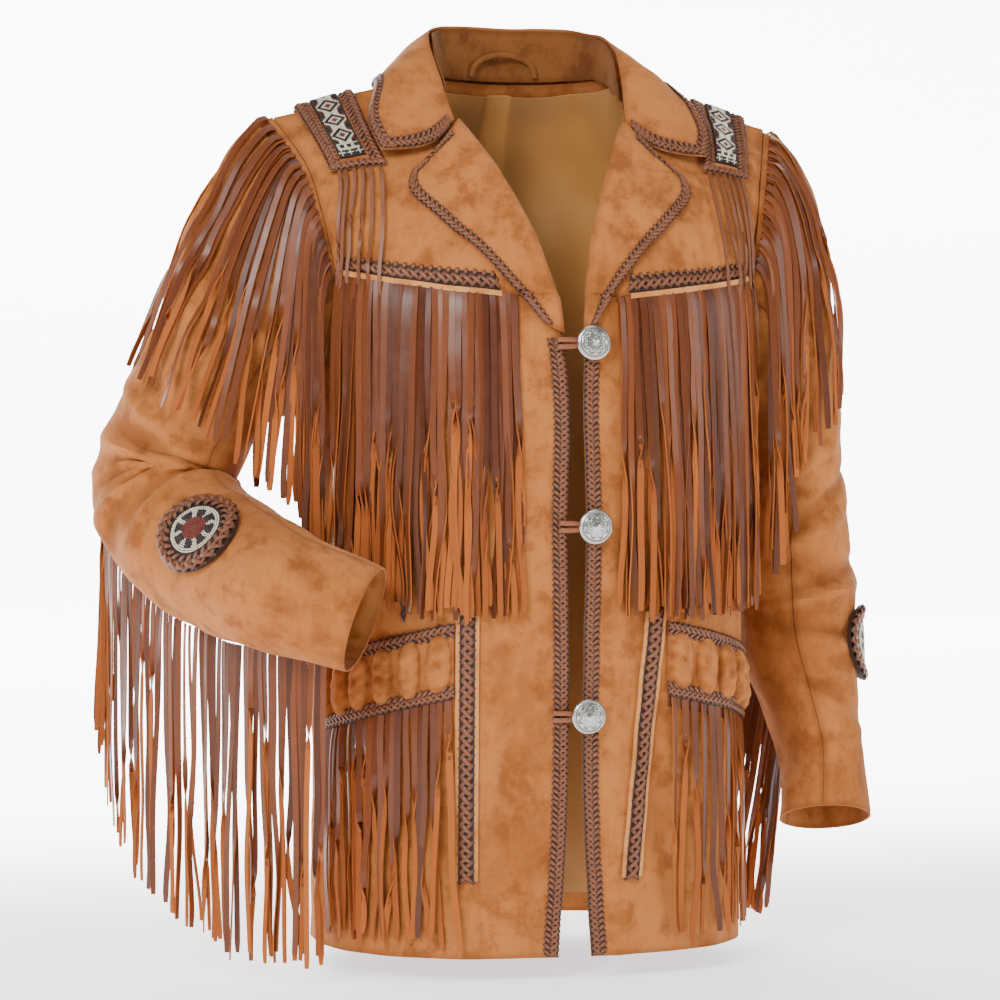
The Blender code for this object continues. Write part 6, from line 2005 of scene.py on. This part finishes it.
def pocket_row(name, side):
    """Strands that hang from a pocket band's foot down to the hem."""
    begin, run = POCKET_RUN

    def line(t):
        return POCKET[side](begin + run * t, np.full_like(t, POCKET_FRINGE_DOWN))

    def facing(t):
        return normals(POCKET[side], begin + run * t, np.full_like(t, POCKET_FRINGE_DOWN - 0.02), BODY_CENTRE)

    count = POCKET_COUNT[side]
    t = evenly(count, SPACING_SEEDS["pocket"])
    face = facing(t)
    start = line(t) + face * POCKET_SEAT
    length = start[:, 2] - (POCKET_TIP_Z[0] + (POCKET_TIP_Z[1] - POCKET_TIP_Z[0]) * t)
    hang("pocket_strands_" + name, SEEDS["pocket"] + side, start, face, straight_down(t),
         length * POCKET_LENGTH_SHARE, np.zeros((count, 2)), BODY_CLOUD, POCKET_GAP, ["pocket_fringe_" + name],
         turned=0.7, early=0.05)
    strip("pocket_fringe_strip_" + name, line, facing, straight_down)


for name, side in SIDES:
    both_cloud = np.concatenate((BODY_CLOUD, ARM_CLOUD[side]))
    chest_row(name, side)
    armhole_row(name, side, both_cloud)
    sleeve_row(name, side, both_cloud)
    pocket_row(name, side)
print("strands", sum(STRANDS))

# %% [markdown]
# ## Shoulder patches and beadwork
# A patch of suede lies over each shoulder seam, laced all round, with a strip of small glass beads down its
# middle. The beads follow a chart of crosses, squares and stepped diamonds; the elbow ornament is beaded in
# rings.

# %% Beads
BEAD_CREAM = (0.72, 0.66, 0.50)
BEAD_BLACK = (0.014, 0.010, 0.011)
BEAD_RED = (0.20, 0.018, 0.010)
BEAD_BROWN = (0.16, 0.05, 0.02)
BEAD_RING = 6
BEAD_COLUMNS = 17
BEAD_HEIGHT = 0.0013
BEAD_SIZES = (0.92, 1.06)
BEAD_SHIFT = 0.00004
BEAD_TONES = (0.80, 1.10)


def bead_mesh():
    """One bead: a hexagonal barrel with rounded shoulders, of unit size, its base on zero."""
    rings = [(0.46, 0.0), (0.49, 0.45), (0.30, 0.86)]
    points = [(r * math.cos(a), r * math.sin(a), h) for r, h in rings for a in around(BEAD_RING)]
    points += [(0, 0, 1.0), (0, 0, 0.0)]
    faces = []
    for level in range(len(rings) - 1):
        for k in range(BEAD_RING):
            a, b = level * BEAD_RING + k, level * BEAD_RING + (k + 1) % BEAD_RING
            faces += [(a, b, b + BEAD_RING), (a, b + BEAD_RING, a + BEAD_RING)]
    last = (len(rings) - 1) * BEAD_RING
    top, foot = len(points) - 2, len(points) - 1
    faces += [(last + k, last + (k + 1) % BEAD_RING, top) for k in range(BEAD_RING)]
    faces += [((k + 1) % BEAD_RING, k, foot) for k in range(BEAD_RING)]
    return np.array(points), np.array(faces)


BEAD_POINTS, BEAD_FACES = bead_mesh()


def beadwork(name, place, across, along, out, pitch, rows_pitch, colour, nodes, seed):
    """Many beads at once: the unit bead scaled and turned to each place."""
    draw = np.random.default_rng(seed)
    count = len(place)
    size = draw.uniform(*BEAD_SIZES, (count, 1, 1))
    shift = draw.normal(0, BEAD_SHIFT, (count, 3))
    points = (place[:, None] + shift[:, None]
              + across[:, None] * BEAD_POINTS[:, 0][None, :, None] * pitch * size
              + along[:, None] * BEAD_POINTS[:, 1][None, :, None] * rows_pitch * size
              + out[:, None] * BEAD_POINTS[:, 2][None, :, None] * BEAD_HEIGHT)
    faces = (BEAD_FACES[None] + (np.arange(count) * len(BEAD_POINTS))[:, None, None]).reshape(-1, 3)
    shade = np.clip(colour * draw.uniform(*BEAD_TONES, (count, 1)), 0, 1)
    tint = np.concatenate((shade, np.ones((count, 1))), 1)
    return solid(name, points.reshape(-1, 3), faces, beads, "bead_work", nodes, 40.0,
                 bead_colour=np.repeat(tint, len(BEAD_POINTS), axis=0))


def strip_chart(row, column, rows):
    """Colours of the shoulder strip, from its front end: crosses, squares, then stepped diamonds."""
    c = np.abs(column - (BEAD_COLUMNS - 1) / 2)
    colour = np.zeros((*row.shape, 3)) + np.array(BEAD_CREAM)

    def lay(mask, value):
        colour[mask] = value

    cross_c = np.mod(column + 1, 6) - 3
    cross_r = row - 3
    cross = (np.abs(cross_c) + np.abs(cross_r) <= 2) & ((cross_c == 0) | (cross_r == 0))
    lay(row < 6, BEAD_BLACK)
    lay((row < 6) & cross, BEAD_CREAM)
    squares = (row >= 8) & (row <= 10) & (np.mod(column + 1, 5) >= 2)
    lay(squares, BEAD_BLACK)
    body = row >= 12
    j = np.mod(row - 12, 17) - 8
    d = c + np.abs(j)
    lay(body & (d <= 7), BEAD_BLACK)
    lay(body & (d <= 4), BEAD_CREAM)
    lay(body & (d <= 2), BEAD_RED)
    lay(body & (d >= 10) & (c >= 5), BEAD_RED)
    lay(body & (d >= 12) & (c >= 5), BEAD_BLACK)
    lay((c >= 8) & (row >= 6), BEAD_BLACK)
    lay(row >= rows - 1, BEAD_BLACK)
    return colour


PATCH_RISE = 0.0034
PATCH_GRID = (40, 90)
PATCH_MIDDLE = 20
PATCH_SMOOTH = 6
PATCH_RIPPLE_LENGTH = 0.03
PATCH_RIPPLE = 0.0003
PATCH_END = 0.0122
BEAD_ROW_PITCH = 1.04
BEAD_LIFT = 0.0012
BACKING_SPARE = 0.012
BACKING_LIFT = 0.0013
BACKING_THICK = 0.0012
BACKING_GRID = (12, 60)
THONGS = 6
THONG_WIDE = 0.0032
THONG_GAP = 0.0052
THONG_SHARES = np.array((1.0, 0.86, 1.0, 0.9, 1.0, 0.93))
THONG_RUN = (0.06, 0.88)


def shoulder_patch(name, side):
    """Patch over the shoulder seam; returns its surface, its height, its width and its own lengths."""
    uu, vv = grid(np.linspace(0, 1, PATCH_GRID[0]), np.linspace(0, 1, PATCH_GRID[1]))
    base = epaulet_surface(side)(uu, vv)
    middle = grid_normals(base, BODY_CENTRE)[:, PATCH_MIDDLE]
    middle = np.pad(middle, ((PATCH_SMOOTH, PATCH_SMOOTH), (0, 0)), "edge")
    window = np.ones(2 * PATCH_SMOOTH + 1) / (2 * PATCH_SMOOTH + 1)
    blur = np.stack([np.convolve(middle[:, k], window, "valid") for k in range(3)], -1)
    out = np.broadcast_to(unit(blur)[:, None], base.shape)
    lift = ripples(base, 27, PATCH_RIPPLE_LENGTH, PATCH_RIPPLE)
    points = base + out * (PATCH_RISE + lift)[..., None]
    cloth("patch_cloth_" + name, points, out, SUEDE, suede_cloth, "suede", ["epaulet_" + name], lift * 2)
    patch_at = sampled(points)
    tall, v_at = arc_map(lambda t: patch_at(np.full_like(t, 0.5), t))
    left_end, right_end = (patch_at(np.array(u), np.array(0.3)) for u in (0.0, 1.0))
    wide = float(np.linalg.norm(right_end - left_end))
    for edge_name, begin, way in (("inner", 0.0, 1.0), ("outer", 1.0, -1.0)):
        def side_place(s, w, begin=begin, way=way):
            return patch_at(begin + way * w / wide, v_at(s))

        edging("patch_side", "patch_laces_%s_%s" % (edge_name, name), side_place, BODY_CENTRE, tall)
    for edge_name, begin, way in (("foot", 0.0, 1.0), ("back", 1.0, -1.0)):
        def end_place(s, w, begin=begin, way=way):
            return patch_at(s / wide, begin + way * w / tall)

        edging("patch_end", "patch_laces_%s_%s" % (edge_name, name), end_place, BODY_CENTRE, wide)
    return patch_at, v_at, tall, wide


def shoulder_beads(name, patch_at, v_at, tall, wide):
    """Strip of beads down the middle of a patch, on a thin near-black backing of painted shade."""
    pitch = wide * (1 - 2 * BEAD_MARGIN) / BEAD_COLUMNS
    first_s, last_s = PATCH_END, tall - PATCH_END
    rows = int((last_s - first_s) / (pitch * BEAD_ROW_PITCH))
    column, row = grid(np.arange(BEAD_COLUMNS), np.arange(rows))
    u = (BEAD_MARGIN + (1 - 2 * BEAD_MARGIN) * (column + 0.5) / BEAD_COLUMNS).ravel()
    v = v_at(first_s + (last_s - first_s) * (row.ravel() + 0.5) / rows)
    place = patch_at(u, v)
    across = unit(patch_at(u + 0.01, v) - patch_at(u - 0.01, v))
    along = unit(patch_at(u, v + 0.01) - patch_at(u, v - 0.01))
    out = unit(np.cross(across, along))
    out = out * np.sign(np.sum(out * (place - BODY_CENTRE), -1, keepdims=True))
    row_pitch = (last_s - first_s) / rows
    beadwork("shoulder_beads_" + name, place + out * BEAD_LIFT, across, along, out, pitch, row_pitch,
             strip_chart(row, column, rows).reshape(-1, 3), ["bead_strip_" + name], 5)
    # backing of painted shade that shows between the beads
    u, v = grid(np.linspace(BEAD_MARGIN - BACKING_SPARE, 1 - BEAD_MARGIN + BACKING_SPARE, BACKING_GRID[0]),
                v_at(np.linspace(first_s - 0.0004, last_s + 0.0004, BACKING_GRID[1])))
    points = patch_at(u, v) + grid_normals(patch_at(u, v), BODY_CENTRE) * BACKING_LIFT
    both = doubled(points, points - grid_normals(points, BODY_CENTRE) * BACKING_THICK)
    solid("bead_backing_" + name, both, wall_faces(*u.shape), shade_bed_leather, "lacing_leather",
          crown=np.zeros(len(both)), edge=np.full(len(both), INSIDE_EDGE), lift=np.zeros(len(both)))
    return rows, pitch


def patch_thongs(name, side, patch_at):
    """Thin lace ends that hang from the foot of a patch."""
    across = THONG_RUN[0] + THONG_RUN[1] * evenly(THONGS, SPACING_SEEDS["thongs"], 0.15)
    foot = patch_at(across, np.full(THONGS, 0.0))
    foot_way = unit(foot - patch_at(across, np.full(THONGS, 0.06)))
    face = np.tile(unit(np.array((side * 0.3, -0.8, 0.4))), (THONGS, 1))
    lengths = np.repeat(np.array(THONG_LENGTHS), 2)[::-side] * THONG_SHARES
    hang("thong_laces_" + name, SEEDS["thongs"] + side, foot + foot_way * 0.001, face, foot_way, lengths,
         np.zeros((THONGS, 2)), np.concatenate((BODY_CLOUD, ARM_CLOUD[side])), THONG_GAP, ["thongs_" + name],
         wide=THONG_WIDE, material=lace_leather, slot="lacing_leather", inside=False)


for name, side in SIDES:
    patch = shoulder_patch(name, side)
    rows, pitch = shoulder_beads(name, *patch)
    patch_thongs(name, side, patch[0])
print("bead rows", rows, "pitch mm", round(pitch * 1000, 2))

# %% Elbow ornaments
ORNAMENT_RISE = 0.0052
ORNAMENT_RINGS = 12
ORNAMENT_SOFT = 0.6
RING_MIDDLE = 0.0305
RING_PITCH = 0.0082
RING_LACE = (0.0046, 0.0016)
RING_BED = (-0.0030, 0.0034)
BEAD_CLOSENESS = 0.98
RING_SHIFT = 0.3
DISC_BACK = (0.0003, 0.0022)
DISC_GRID = (10, 40)


def elbow_ornament(name, side):
    """Beaded disc in a laced ring on one sleeve; returns how many beads it has."""
    share, angle = ROSETTE[side]
    radius = float(smooth(SLEEVES[side][0], np.array(share))[3])
    per_radian = 180 / math.pi / radius

    def ornament(u, v):
        """Sleeve round the ornament's middle, in metres round and along."""
        return sleeve(side, angle + u * per_radian, share + v / SLEEVE_LENGTH)

    inside = sleeve_centre(side, np.array(share))
    middle = ornament(np.array(0.0), np.array(0.0))
    way_u = unit(ornament(np.array(0.01), np.array(0.0)) - ornament(np.array(-0.01), np.array(0.0)))
    way_v = unit(ornament(np.array(0.0), np.array(0.02)) - ornament(np.array(0.0), np.array(-0.02)))
    out = unit(np.cross(way_u, way_v))
    out = out * np.sign(np.dot(out, middle - inside))
    bend = 1 / (2 * (radius + 0.004))

    def plate(u, v):
        """The stiff ornament: half way between the sleeve's own form and a smooth shell."""
        soft = ornament(u, v)
        soft = soft + normals(ornament, u, v, inside) * ORNAMENT_RISE
        firm = (middle + out * (ORNAMENT_RISE + 0.001) + way_u * u[..., None] + way_v * v[..., None]
                - out * (bend * u ** 2)[..., None])
        return soft * ORNAMENT_SOFT + firm * (1 - ORNAMENT_SOFT)

    ring_length = 2 * math.pi * RING_MIDDLE

    def ring_place(s, w):
        turn = s / ring_length * 2 * math.pi
        reach = ROSETTE_RING[1] - w
        return plate(reach * np.cos(turn), reach * np.sin(turn))

    reach_wide = ROSETTE_RING[1] - ROSETTE_RING[0]
    # near-black painted shade under the ring's lace
    bed("elbow_bed_" + name, ring_place, inside, ring_length, 0.0, reach_wide, lift=RING_BED[0],
        thick=RING_BED[1])
    family = joined(plait(ring_length, 0.0002, reach_wide * 0.66, RING_PITCH, 0.0024),
                    whip(ring_length, reach_wide * 0.50, reach_wide, RING_PITCH, 0.0018, 0.3))
    stitches("elbow_laces_" + name, ring_place, inside, family, ["elbow_ring_" + name], *RING_LACE, seed=11)
    step = ROSETTE_DISC / ORNAMENT_RINGS
    reaches, turns = [np.zeros(1)], [np.zeros(1)]
    for k in range(1, ORNAMENT_RINGS):
        number = max(int(round(2 * math.pi * k * step / (step * BEAD_CLOSENESS))), 6)
        reaches.append(np.full(number, k * step))
        turns.append(around(number) + RING_SHIFT * k)
    reach, turn = np.concatenate(reaches), np.concatenate(turns)
    u, v = reach * np.cos(turn), reach * np.sin(turn)
    place = plate(u, v)
    outward = normals(plate, u, v, inside)
    radial = unit(plate(u * 1.02 + 1e-4 * np.cos(turn), v * 1.02 + 1e-4 * np.sin(turn)) - place)
    round_way = np.cross(outward, radial)
    share_out = reach / ROSETTE_DISC
    wedge = np.abs((turn * 8 / (2 * math.pi)) % 1 - 0.5) * 2
    colour = np.zeros((len(reach), 3)) + np.array(BEAD_CREAM)
    colour[(share_out < 0.76) & (wedge < 0.66)] = BEAD_BLACK
    colour[share_out < 0.44] = BEAD_RED
    colour[share_out < 0.12] = BEAD_BROWN
    bead_wide = step * BEAD_CLOSENESS
    beadwork("elbow_beads_" + name, place, radial, round_way, outward, bead_wide, bead_wide, colour,
             ["elbow_disc_" + name], 6)
    # near-black painted shade under the disc, showing between its beads
    tt, rr = grid(around(DISC_GRID[1]), np.linspace(0.0006, ROSETTE_DISC + 0.001, DISC_GRID[0]))
    u, v = rr * np.cos(tt), rr * np.sin(tt)
    way = normals(plate, u, v, inside)
    points = plate(u, v) + way * DISC_BACK[0]
    both = doubled(points, points - way * DISC_BACK[1])
    solid("elbow_backing_" + name, both, wall_faces(*DISC_GRID, True), shade_bed_leather, "lacing_leather",
          crown=np.zeros(len(both)))
    return len(reach)


print("elbow beads", [elbow_ornament(name, side) for name, side in SIDES])

# %% [markdown]
# ## Pockets
# Each pocket is a band of suede with six padded loops, laced along its top and its foot, with a laced strip
# beside it. A short twisted lace ties the mouth.

# %% Pocket bands
LOOP_ROWS = 56
LOOP_COLUMNS = 190
LOOP_HALF = 0.40
LOOP_TALL = 0.40
LOOP_RISE = 0.0085
WRINKLE = 0.00055
LOOP_HOLLOW = 0.0016
BAND_RISE = 0.0016
BAND_THICK = 0.0018
BAND_RIPPLE_LENGTH = 0.02
BAND_RIPPLE = 0.0002
STRIP_RAW_LIFT = 0.0010
STRIP_LANES = (0.0022, STRIP_WIDTH - 0.0024)
STRIP_STITCH = (0.0080, 0.0022)
STRIP_LACE_WIDE = 0.0040
TIE_POINTS = 24
TIE_LIFT = 0.0030
TIE_TURN = 9
TIE_SIZE = (0.0044, 0.0026)


def pocket_band(name, side):
    """Pocket's padded band with its laced edges."""
    pocket_skin = POCKET[side]
    uu, vv = grid(np.linspace(0.004, 0.996, LOOP_COLUMNS), np.linspace(0, 1, LOOP_ROWS))
    base = pocket_skin(uu, vv)
    out = grid_normals(base, BODY_CENTRE)
    phase = np.mod(uu * BULLET_LOOPS, 1.0)
    off, up = (phase - 0.5) / LOOP_HALF, (vv - 0.5) / LOOP_TALL
    height = np.clip(1 - np.abs(off) ** 2.2 - np.abs(up) ** 3, 0, 1) ** 0.5
    number = np.floor(uu * BULLET_LOOPS)
    ribs = np.sin(up * 13 + 2.0 * np.sin(number * 2.1) + 2.5 * off * np.sin(number * 3.7)) * WRINKLE
    ribs = ribs - LOOP_HOLLOW * np.exp(-(np.hypot(off * 1.3, up * 3.2) / 0.42) ** 2)
    ripple = ripples(base, 13, BAND_RIPPLE_LENGTH, BAND_RIPPLE)
    rise = PATCH_LIFT + BAND_RISE + height * LOOP_RISE + ribs * height + ripple
    points = base + out * rise[..., None]
    # the stored lift is negative on the loops' sloping sides, in their wrinkle troughs and hollows, and
    # positive on wrinkle ridges and loop tops: the suede paints shade and highlight from it
    cloth("pocket_cloth_" + name, points, out, BAND_THICK, suede_cloth, "suede", ["pocket_band_" + name],
          (np.where(height > 0, height, 0.75) - 0.75) * 0.0050 + ribs * 3)
    top_length, u_at = arc_map(lambda t: pocket_skin(t, np.zeros_like(t)))
    tall_band = float(reach_of(pocket_skin, np.array(0.5)))
    for edge_name, begin, way in (("top", -0.02, 1.0), ("foot", 1.02, -1.0)):
        def edge_place(s, w, begin=begin, way=way):
            v = begin + way * w / tall_band
            base = pocket_skin(u_at(s), v)
            return base + normals(pocket_skin, u_at(s), v, BODY_CENTRE) * (PATCH_LIFT + BAND_THICK)

        edging("pocket", "pocket_laces_%s_%s" % (edge_name, name), edge_place, BODY_CENTRE, top_length)


def pocket_strip(name, side):
    """Laced strip that runs down beside a pocket."""
    top_x, foot_x = POCKET_STRIP_X[side]
    tall = STRIP_Z[0] - STRIP_Z[1]

    def strip_place(s, w):
        z = STRIP_Z[0] - s
        x = top_x + (foot_x - top_x) * s / tall - CLEAR * 2 - w
        base = FRONT[side](front_across(side, x, z), z)
        return base + np.array((0.0, -1.0, 0.0)) * (PATCH_LIFT + STRIP_RAW_LIFT)

    bed("pocket_raw_" + name, strip_place, BODY_CENTRE, tall, -0.0010, STRIP_WIDTH + 0.0008, raw_edge_cloth,
        -STRIP_RAW_LIFT, BAND_THICK, "suede")
    bed("pocket_strip_bed_" + name, strip_place, BODY_CENTRE, tall, *STRIP_LANES, lift=0.0007)
    stitches("pocket_strip_laces_" + name, strip_place, BODY_CENTRE, plait(tall, *STRIP_LANES, *STRIP_STITCH),
             ["pocket_strip_" + name], wide=STRIP_LACE_WIDE, seed=14)


def pocket_tie(name, side):
    """Short twisted lace over a pocket's mouth."""
    heights = np.linspace(*CORD_Z, TIE_POINTS)
    across = front_across(side, np.full(TIE_POINTS, CORD_X[side]), heights)
    way = normals(FRONT[side], across, heights, BODY_CENTRE)
    path = FRONT[side](across, heights) + way * TIE_LIFT
    turn = np.linspace(0, TIE_TURN, TIE_POINTS)[:, None]
    side_way = np.cross(way, np.array((0.0, 0.0, 1.0)))
    twist_way = side_way * np.cos(turn) + way * np.sin(turn)
    band("pocket_tie_" + name, path, twist_way, *TIE_SIZE, lace_leather, "lacing_leather",
         ["pocket_cord_" + name])


for name, side in SIDES:
    pocket_band(name, side)
    pocket_strip(name, side)
    pocket_tie(name, side)
print("pocket loops", BULLET_LOOPS)

# %% [markdown]
# ## Buttons
# Three silver buttons are engraved with petals and a beaded rim. A double loop of lace holds each one.

# %% Buttons and loops
PETALS = 8
BUTTON_RINGS = 38
BUTTON_TURNS = 72
RIM_BEADS = 32
DOME_FOOT = 0.0056
DOME_RISE = 0.0050
CUT_DEPTH = 0.00035
RIM_BEAD_RISE = 0.00045
HUB_RISE = 0.0009
LOOP_SIZE = (0.0046, 0.0021)
LOOP_POINTS = 30
LOOP_RUN = (-0.0300, 0.0280)
LOOP_DROP = 0.0030


def button(number, x, z):
    """Domed silver button with its engraving, its shank and its double loop of lace."""
    across = front_across(LEFT, np.array(x), np.array(z))
    wall = lambda u, v: front_wall(LEFT, u, v)
    middle = wall(across, np.array(z))
    out = normals(wall, across[None], np.array((z,)), BODY_CENTRE)[0]
    foot = CLEAR + LACE + 0.0010
    side_way = unit(np.cross(np.array((0.0, 0.0, 1.0)), out))
    up_way = np.cross(out, side_way)
    share = np.linspace(0.02, 1, BUTTON_RINGS)
    turn = around(BUTTON_TURNS)
    rr, tt = np.meshgrid(share, turn, indexing="ij")
    dome = foot + DOME_FOOT + DOME_RISE * np.sqrt(np.clip(1 - (rr * 0.97) ** 2, 0, 1))
    petal = np.abs(np.sin(tt * PETALS / 2)) ** 0.6
    edge_of_petal = np.exp(-((rr - (0.30 + 0.38 * petal)) / 0.035) ** 2) * (rr > 0.24)
    vein = np.exp(-((np.mod(tt * PETALS / (2 * math.pi), 1) - 0.5) / 0.05) ** 2) * (rr > 0.26) * (rr < 0.62)
    rim_groove = np.exp(-((rr - 0.80) / 0.025) ** 2)
    rim_beads = np.clip(np.cos(tt * RIM_BEADS), 0, 1) * np.exp(-((rr - 0.89) / 0.05) ** 2)
    hub = np.exp(-(rr / 0.14) ** 2)
    cut = np.clip(edge_of_petal + vein * 0.7 + rim_groove + (1 - np.clip(np.cos(tt * RIM_BEADS), 0, 1))
                  * np.exp(-((rr - 0.89) / 0.04) ** 2) * 0.6, 0, 1)
    dome = dome - cut * CUT_DEPTH + rim_beads * RIM_BEAD_RISE + hub * HUB_RISE
    reach = rr * BUTTON_RADIUS
    front_face = (middle + out * dome[..., None] + side_way * (reach * np.cos(tt))[..., None]
                  + up_way * (reach * np.sin(tt))[..., None])
    shank = [(BUTTON_RADIUS * 0.985, foot + 0.0050), (BUTTON_RADIUS * 0.90, foot + 0.0046),
             (0.0032, foot + 0.0046), (0.0030, foot), (0.0003, foot)]
    flat_ring = side_way * np.cos(turn)[:, None] + up_way * np.sin(turn)[:, None]
    behind = np.stack([middle + out * h + flat_ring * r for r, h in shank])
    rings = np.concatenate((front_face, behind))
    levels = len(rings)
    index = np.arange(levels * BUTTON_TURNS).reshape(levels, BUTTON_TURNS)
    after = np.roll(index, -1, 1)
    faces = np.stack((index[:-1], after[:-1], after[1:], index[1:]), -1).reshape(-1, 4)
    ends = []
    for ring_index in (index[0], index[-1][::-1]):
        half = BUTTON_TURNS // 2
        ends.append(np.stack((ring_index[:half - 1], ring_index[1:half], ring_index[::-1][1:half],
                              ring_index[::-1][:half - 1]), -1))
    faces = np.concatenate([faces] + ends)
    engraved = np.concatenate((cut.ravel(), np.full(len(shank) * BUTTON_TURNS, 0.3)))
    solid("silver_button_%d" % number, rings.reshape(-1, 3), faces, silver, "silver", ["button_%d" % number],
          40.0, engraved=engraved)
    for loop, drop in enumerate((-LOOP_DROP, LOOP_DROP)):
        t = np.linspace(0, 1, LOOP_POINTS)
        reach_x = LOOP_RUN[0] + LOOP_RUN[1] * t
        path = (middle + np.column_stack((reach_x, np.zeros(LOOP_POINTS), drop * (1 - t ** 3)))
                + out * (foot + 0.0022 + 0.0012 * np.sin(math.pi * t))[:, None])
        path[:3] = path[:3] - out * 0.0008
        band("loop_lace_%d_%d" % (number, loop), path, -straight_down(t), *LOOP_SIZE, lace_leather,
             "lacing_leather", ["button_loop_%d" % number] if loop == 0 else ())


for button_row in BUTTONS:
    button(*button_row)
print("buttons", len(BUTTONS))

# %% [markdown]
# ## Where it stands for its picture
# A pale sweep that glows behind the jacket, one soft key light from the upper left, a fill from the right, a
# weak light from above and a small one for the lining keep the suede soft and the fringe glossy.

# %% Floor, lights and camera
FLOOR_Z = -0.775
SWEEP = 1.2
FLOOR_FRONT = 6.0
FLOOR_BACK = 5.0
FLOOR_HALF = 6.0
WALL_HEIGHT = 6.0
FLOOR_GLOW = 6.5
NEAR_GLOW = 0.18
FLOOR_COLOUR = (0.93, 0.93, 0.93, 1.0)
GLOW_START = 0.2
GLOW_END = 1.3
WORLD_GLOW = 0.34
MIDDLE = (0.0, 0.0, -0.37)

# Lights: name, place, what it looks at, size, power
LIGHTS = (
    ("key", (-1.8, -2.3, 1.25), MIDDLE, (1.1, 1.1), 100.0),
    ("fill", (2.4, -1.6, 0.6), MIDDLE, (1.0, 1.8), 34.0),
    ("top", (0.2, 0.1, 2.4), MIDDLE, (2.2, 1.6), 14.0),
    ("neck", (-0.1, -1.5, 1.5), (0.02, 0.05, -0.15), (0.5, 0.5), 9.0),
    ("backdrop", (0.0, 2.2, 2.6), (0.0, 5.5, 0.0), (5.0, 1.5), 200.0),
)


def sweep_floor():
    """Floor that curves up behind into a wall."""
    turn = np.linspace(0, math.pi / 2, 30)
    y = np.concatenate(((-FLOOR_FRONT,), FLOOR_BACK + SWEEP * np.sin(turn), (FLOOR_BACK + SWEEP,)))
    z = np.concatenate(((FLOOR_Z,), FLOOR_Z + SWEEP * (1 - np.cos(turn)), (FLOOR_Z + WALL_HEIGHT,)))
    x = np.array((-FLOOR_HALF, FLOOR_HALF))
    points = np.array([(a, b, c) for b, c in zip(y, z) for a in x])
    faces = [(2 * k, 2 * k + 1, 2 * k + 3, 2 * k + 2) for k in range(len(y) - 1)]
    mesh = bpy.data.meshes.new("floor")
    mesh.from_pydata(points.tolist(), [], faces)
    mesh.shade_smooth()
    floor = bpy.data.objects.new("floor", mesh)
    bpy.context.scene.collection.objects.link(floor)
    pale = Finish("pale_floor", Roughness=0.8, Specular_IOR_Level=0.2, Emission_Strength=FLOOR_GLOW)
    pale.shader.inputs["Base Color"].default_value = FLOOR_COLOUR
    behind = pale.node("ShaderNodeSeparateXYZ", "Y", {0: pale.place()}).step(GLOW_START, GLOW_END)
    glow = pale.mix(behind, (NEAR_GLOW, NEAR_GLOW, NEAR_GLOW), (1.0, 1.0, 1.0))
    pale.tree.links.new(glow.socket, pale.shader.inputs["Emission Color"])
    mesh.materials.append(pale.material)


def soft_light(name, place, aim, size, power):
    """Square area light that looks at a point."""
    data = bpy.data.lights.new(name, "AREA")
    data.shape = "RECTANGLE"
    data.size, data.size_y = size
    data.energy = power
    light = bpy.data.objects.new(name, data)
    light.location = place
    way = np.array(aim) - np.array(place)
    light.rotation_mode = "QUATERNION"
    light.rotation_quaternion = Vector(way.tolist()).to_track_quat("-Z", "Y")
    bpy.context.scene.collection.objects.link(light)


sweep_floor()
for light_row in LIGHTS:
    soft_light(*light_row)
world = bpy.data.worlds.new("pale_world")
world.use_nodes = True
world.node_tree.nodes["Background"].inputs["Color"].default_value = (1.0, 1.0, 1.0, 1.0)
world.node_tree.nodes["Background"].inputs["Strength"].default_value = WORLD_GLOW
bpy.context.scene.world = world

CAMERA_AZIMUTH = -14.0
CAMERA_ELEVATION = 0.8
CAMERA_DISTANCE = 2.9
CAMERA_LENS = 118.6
SENSOR_WIDTH = 36.0
AIM_SHIFT = -0.020
AIM_Z = -0.375
azimuth, elevation = math.radians(CAMERA_AZIMUTH), math.radians(CAMERA_ELEVATION)
back_way = Vector((math.sin(azimuth) * math.cos(elevation), -math.cos(azimuth) * math.cos(elevation),
                   math.sin(elevation)))
aim = Vector((AIM_SHIFT * math.cos(azimuth), AIM_SHIFT * math.sin(azimuth), AIM_Z))
camera_data = bpy.data.cameras.new("camera")
camera_data.lens = CAMERA_LENS
camera_data.sensor_width = SENSOR_WIDTH
camera = bpy.data.objects.new("camera", camera_data)
camera.location = aim + back_way * CAMERA_DISTANCE
camera.rotation_mode = "QUATERNION"
camera.rotation_quaternion = (-back_way).to_track_quat("-Z", "Y")
bpy.context.scene.collection.objects.link(camera)
bpy.context.scene.camera = camera
print("camera", [round(value, 3) for value in camera.location])

# %% [markdown]
# ## Sizes
# Each cloth piece states the flat cut that it was made from.

# %% Sheets
for piece, flat, area in SHEETS:
    print(piece.name, [round(side_length, 3) for side_length in flat])
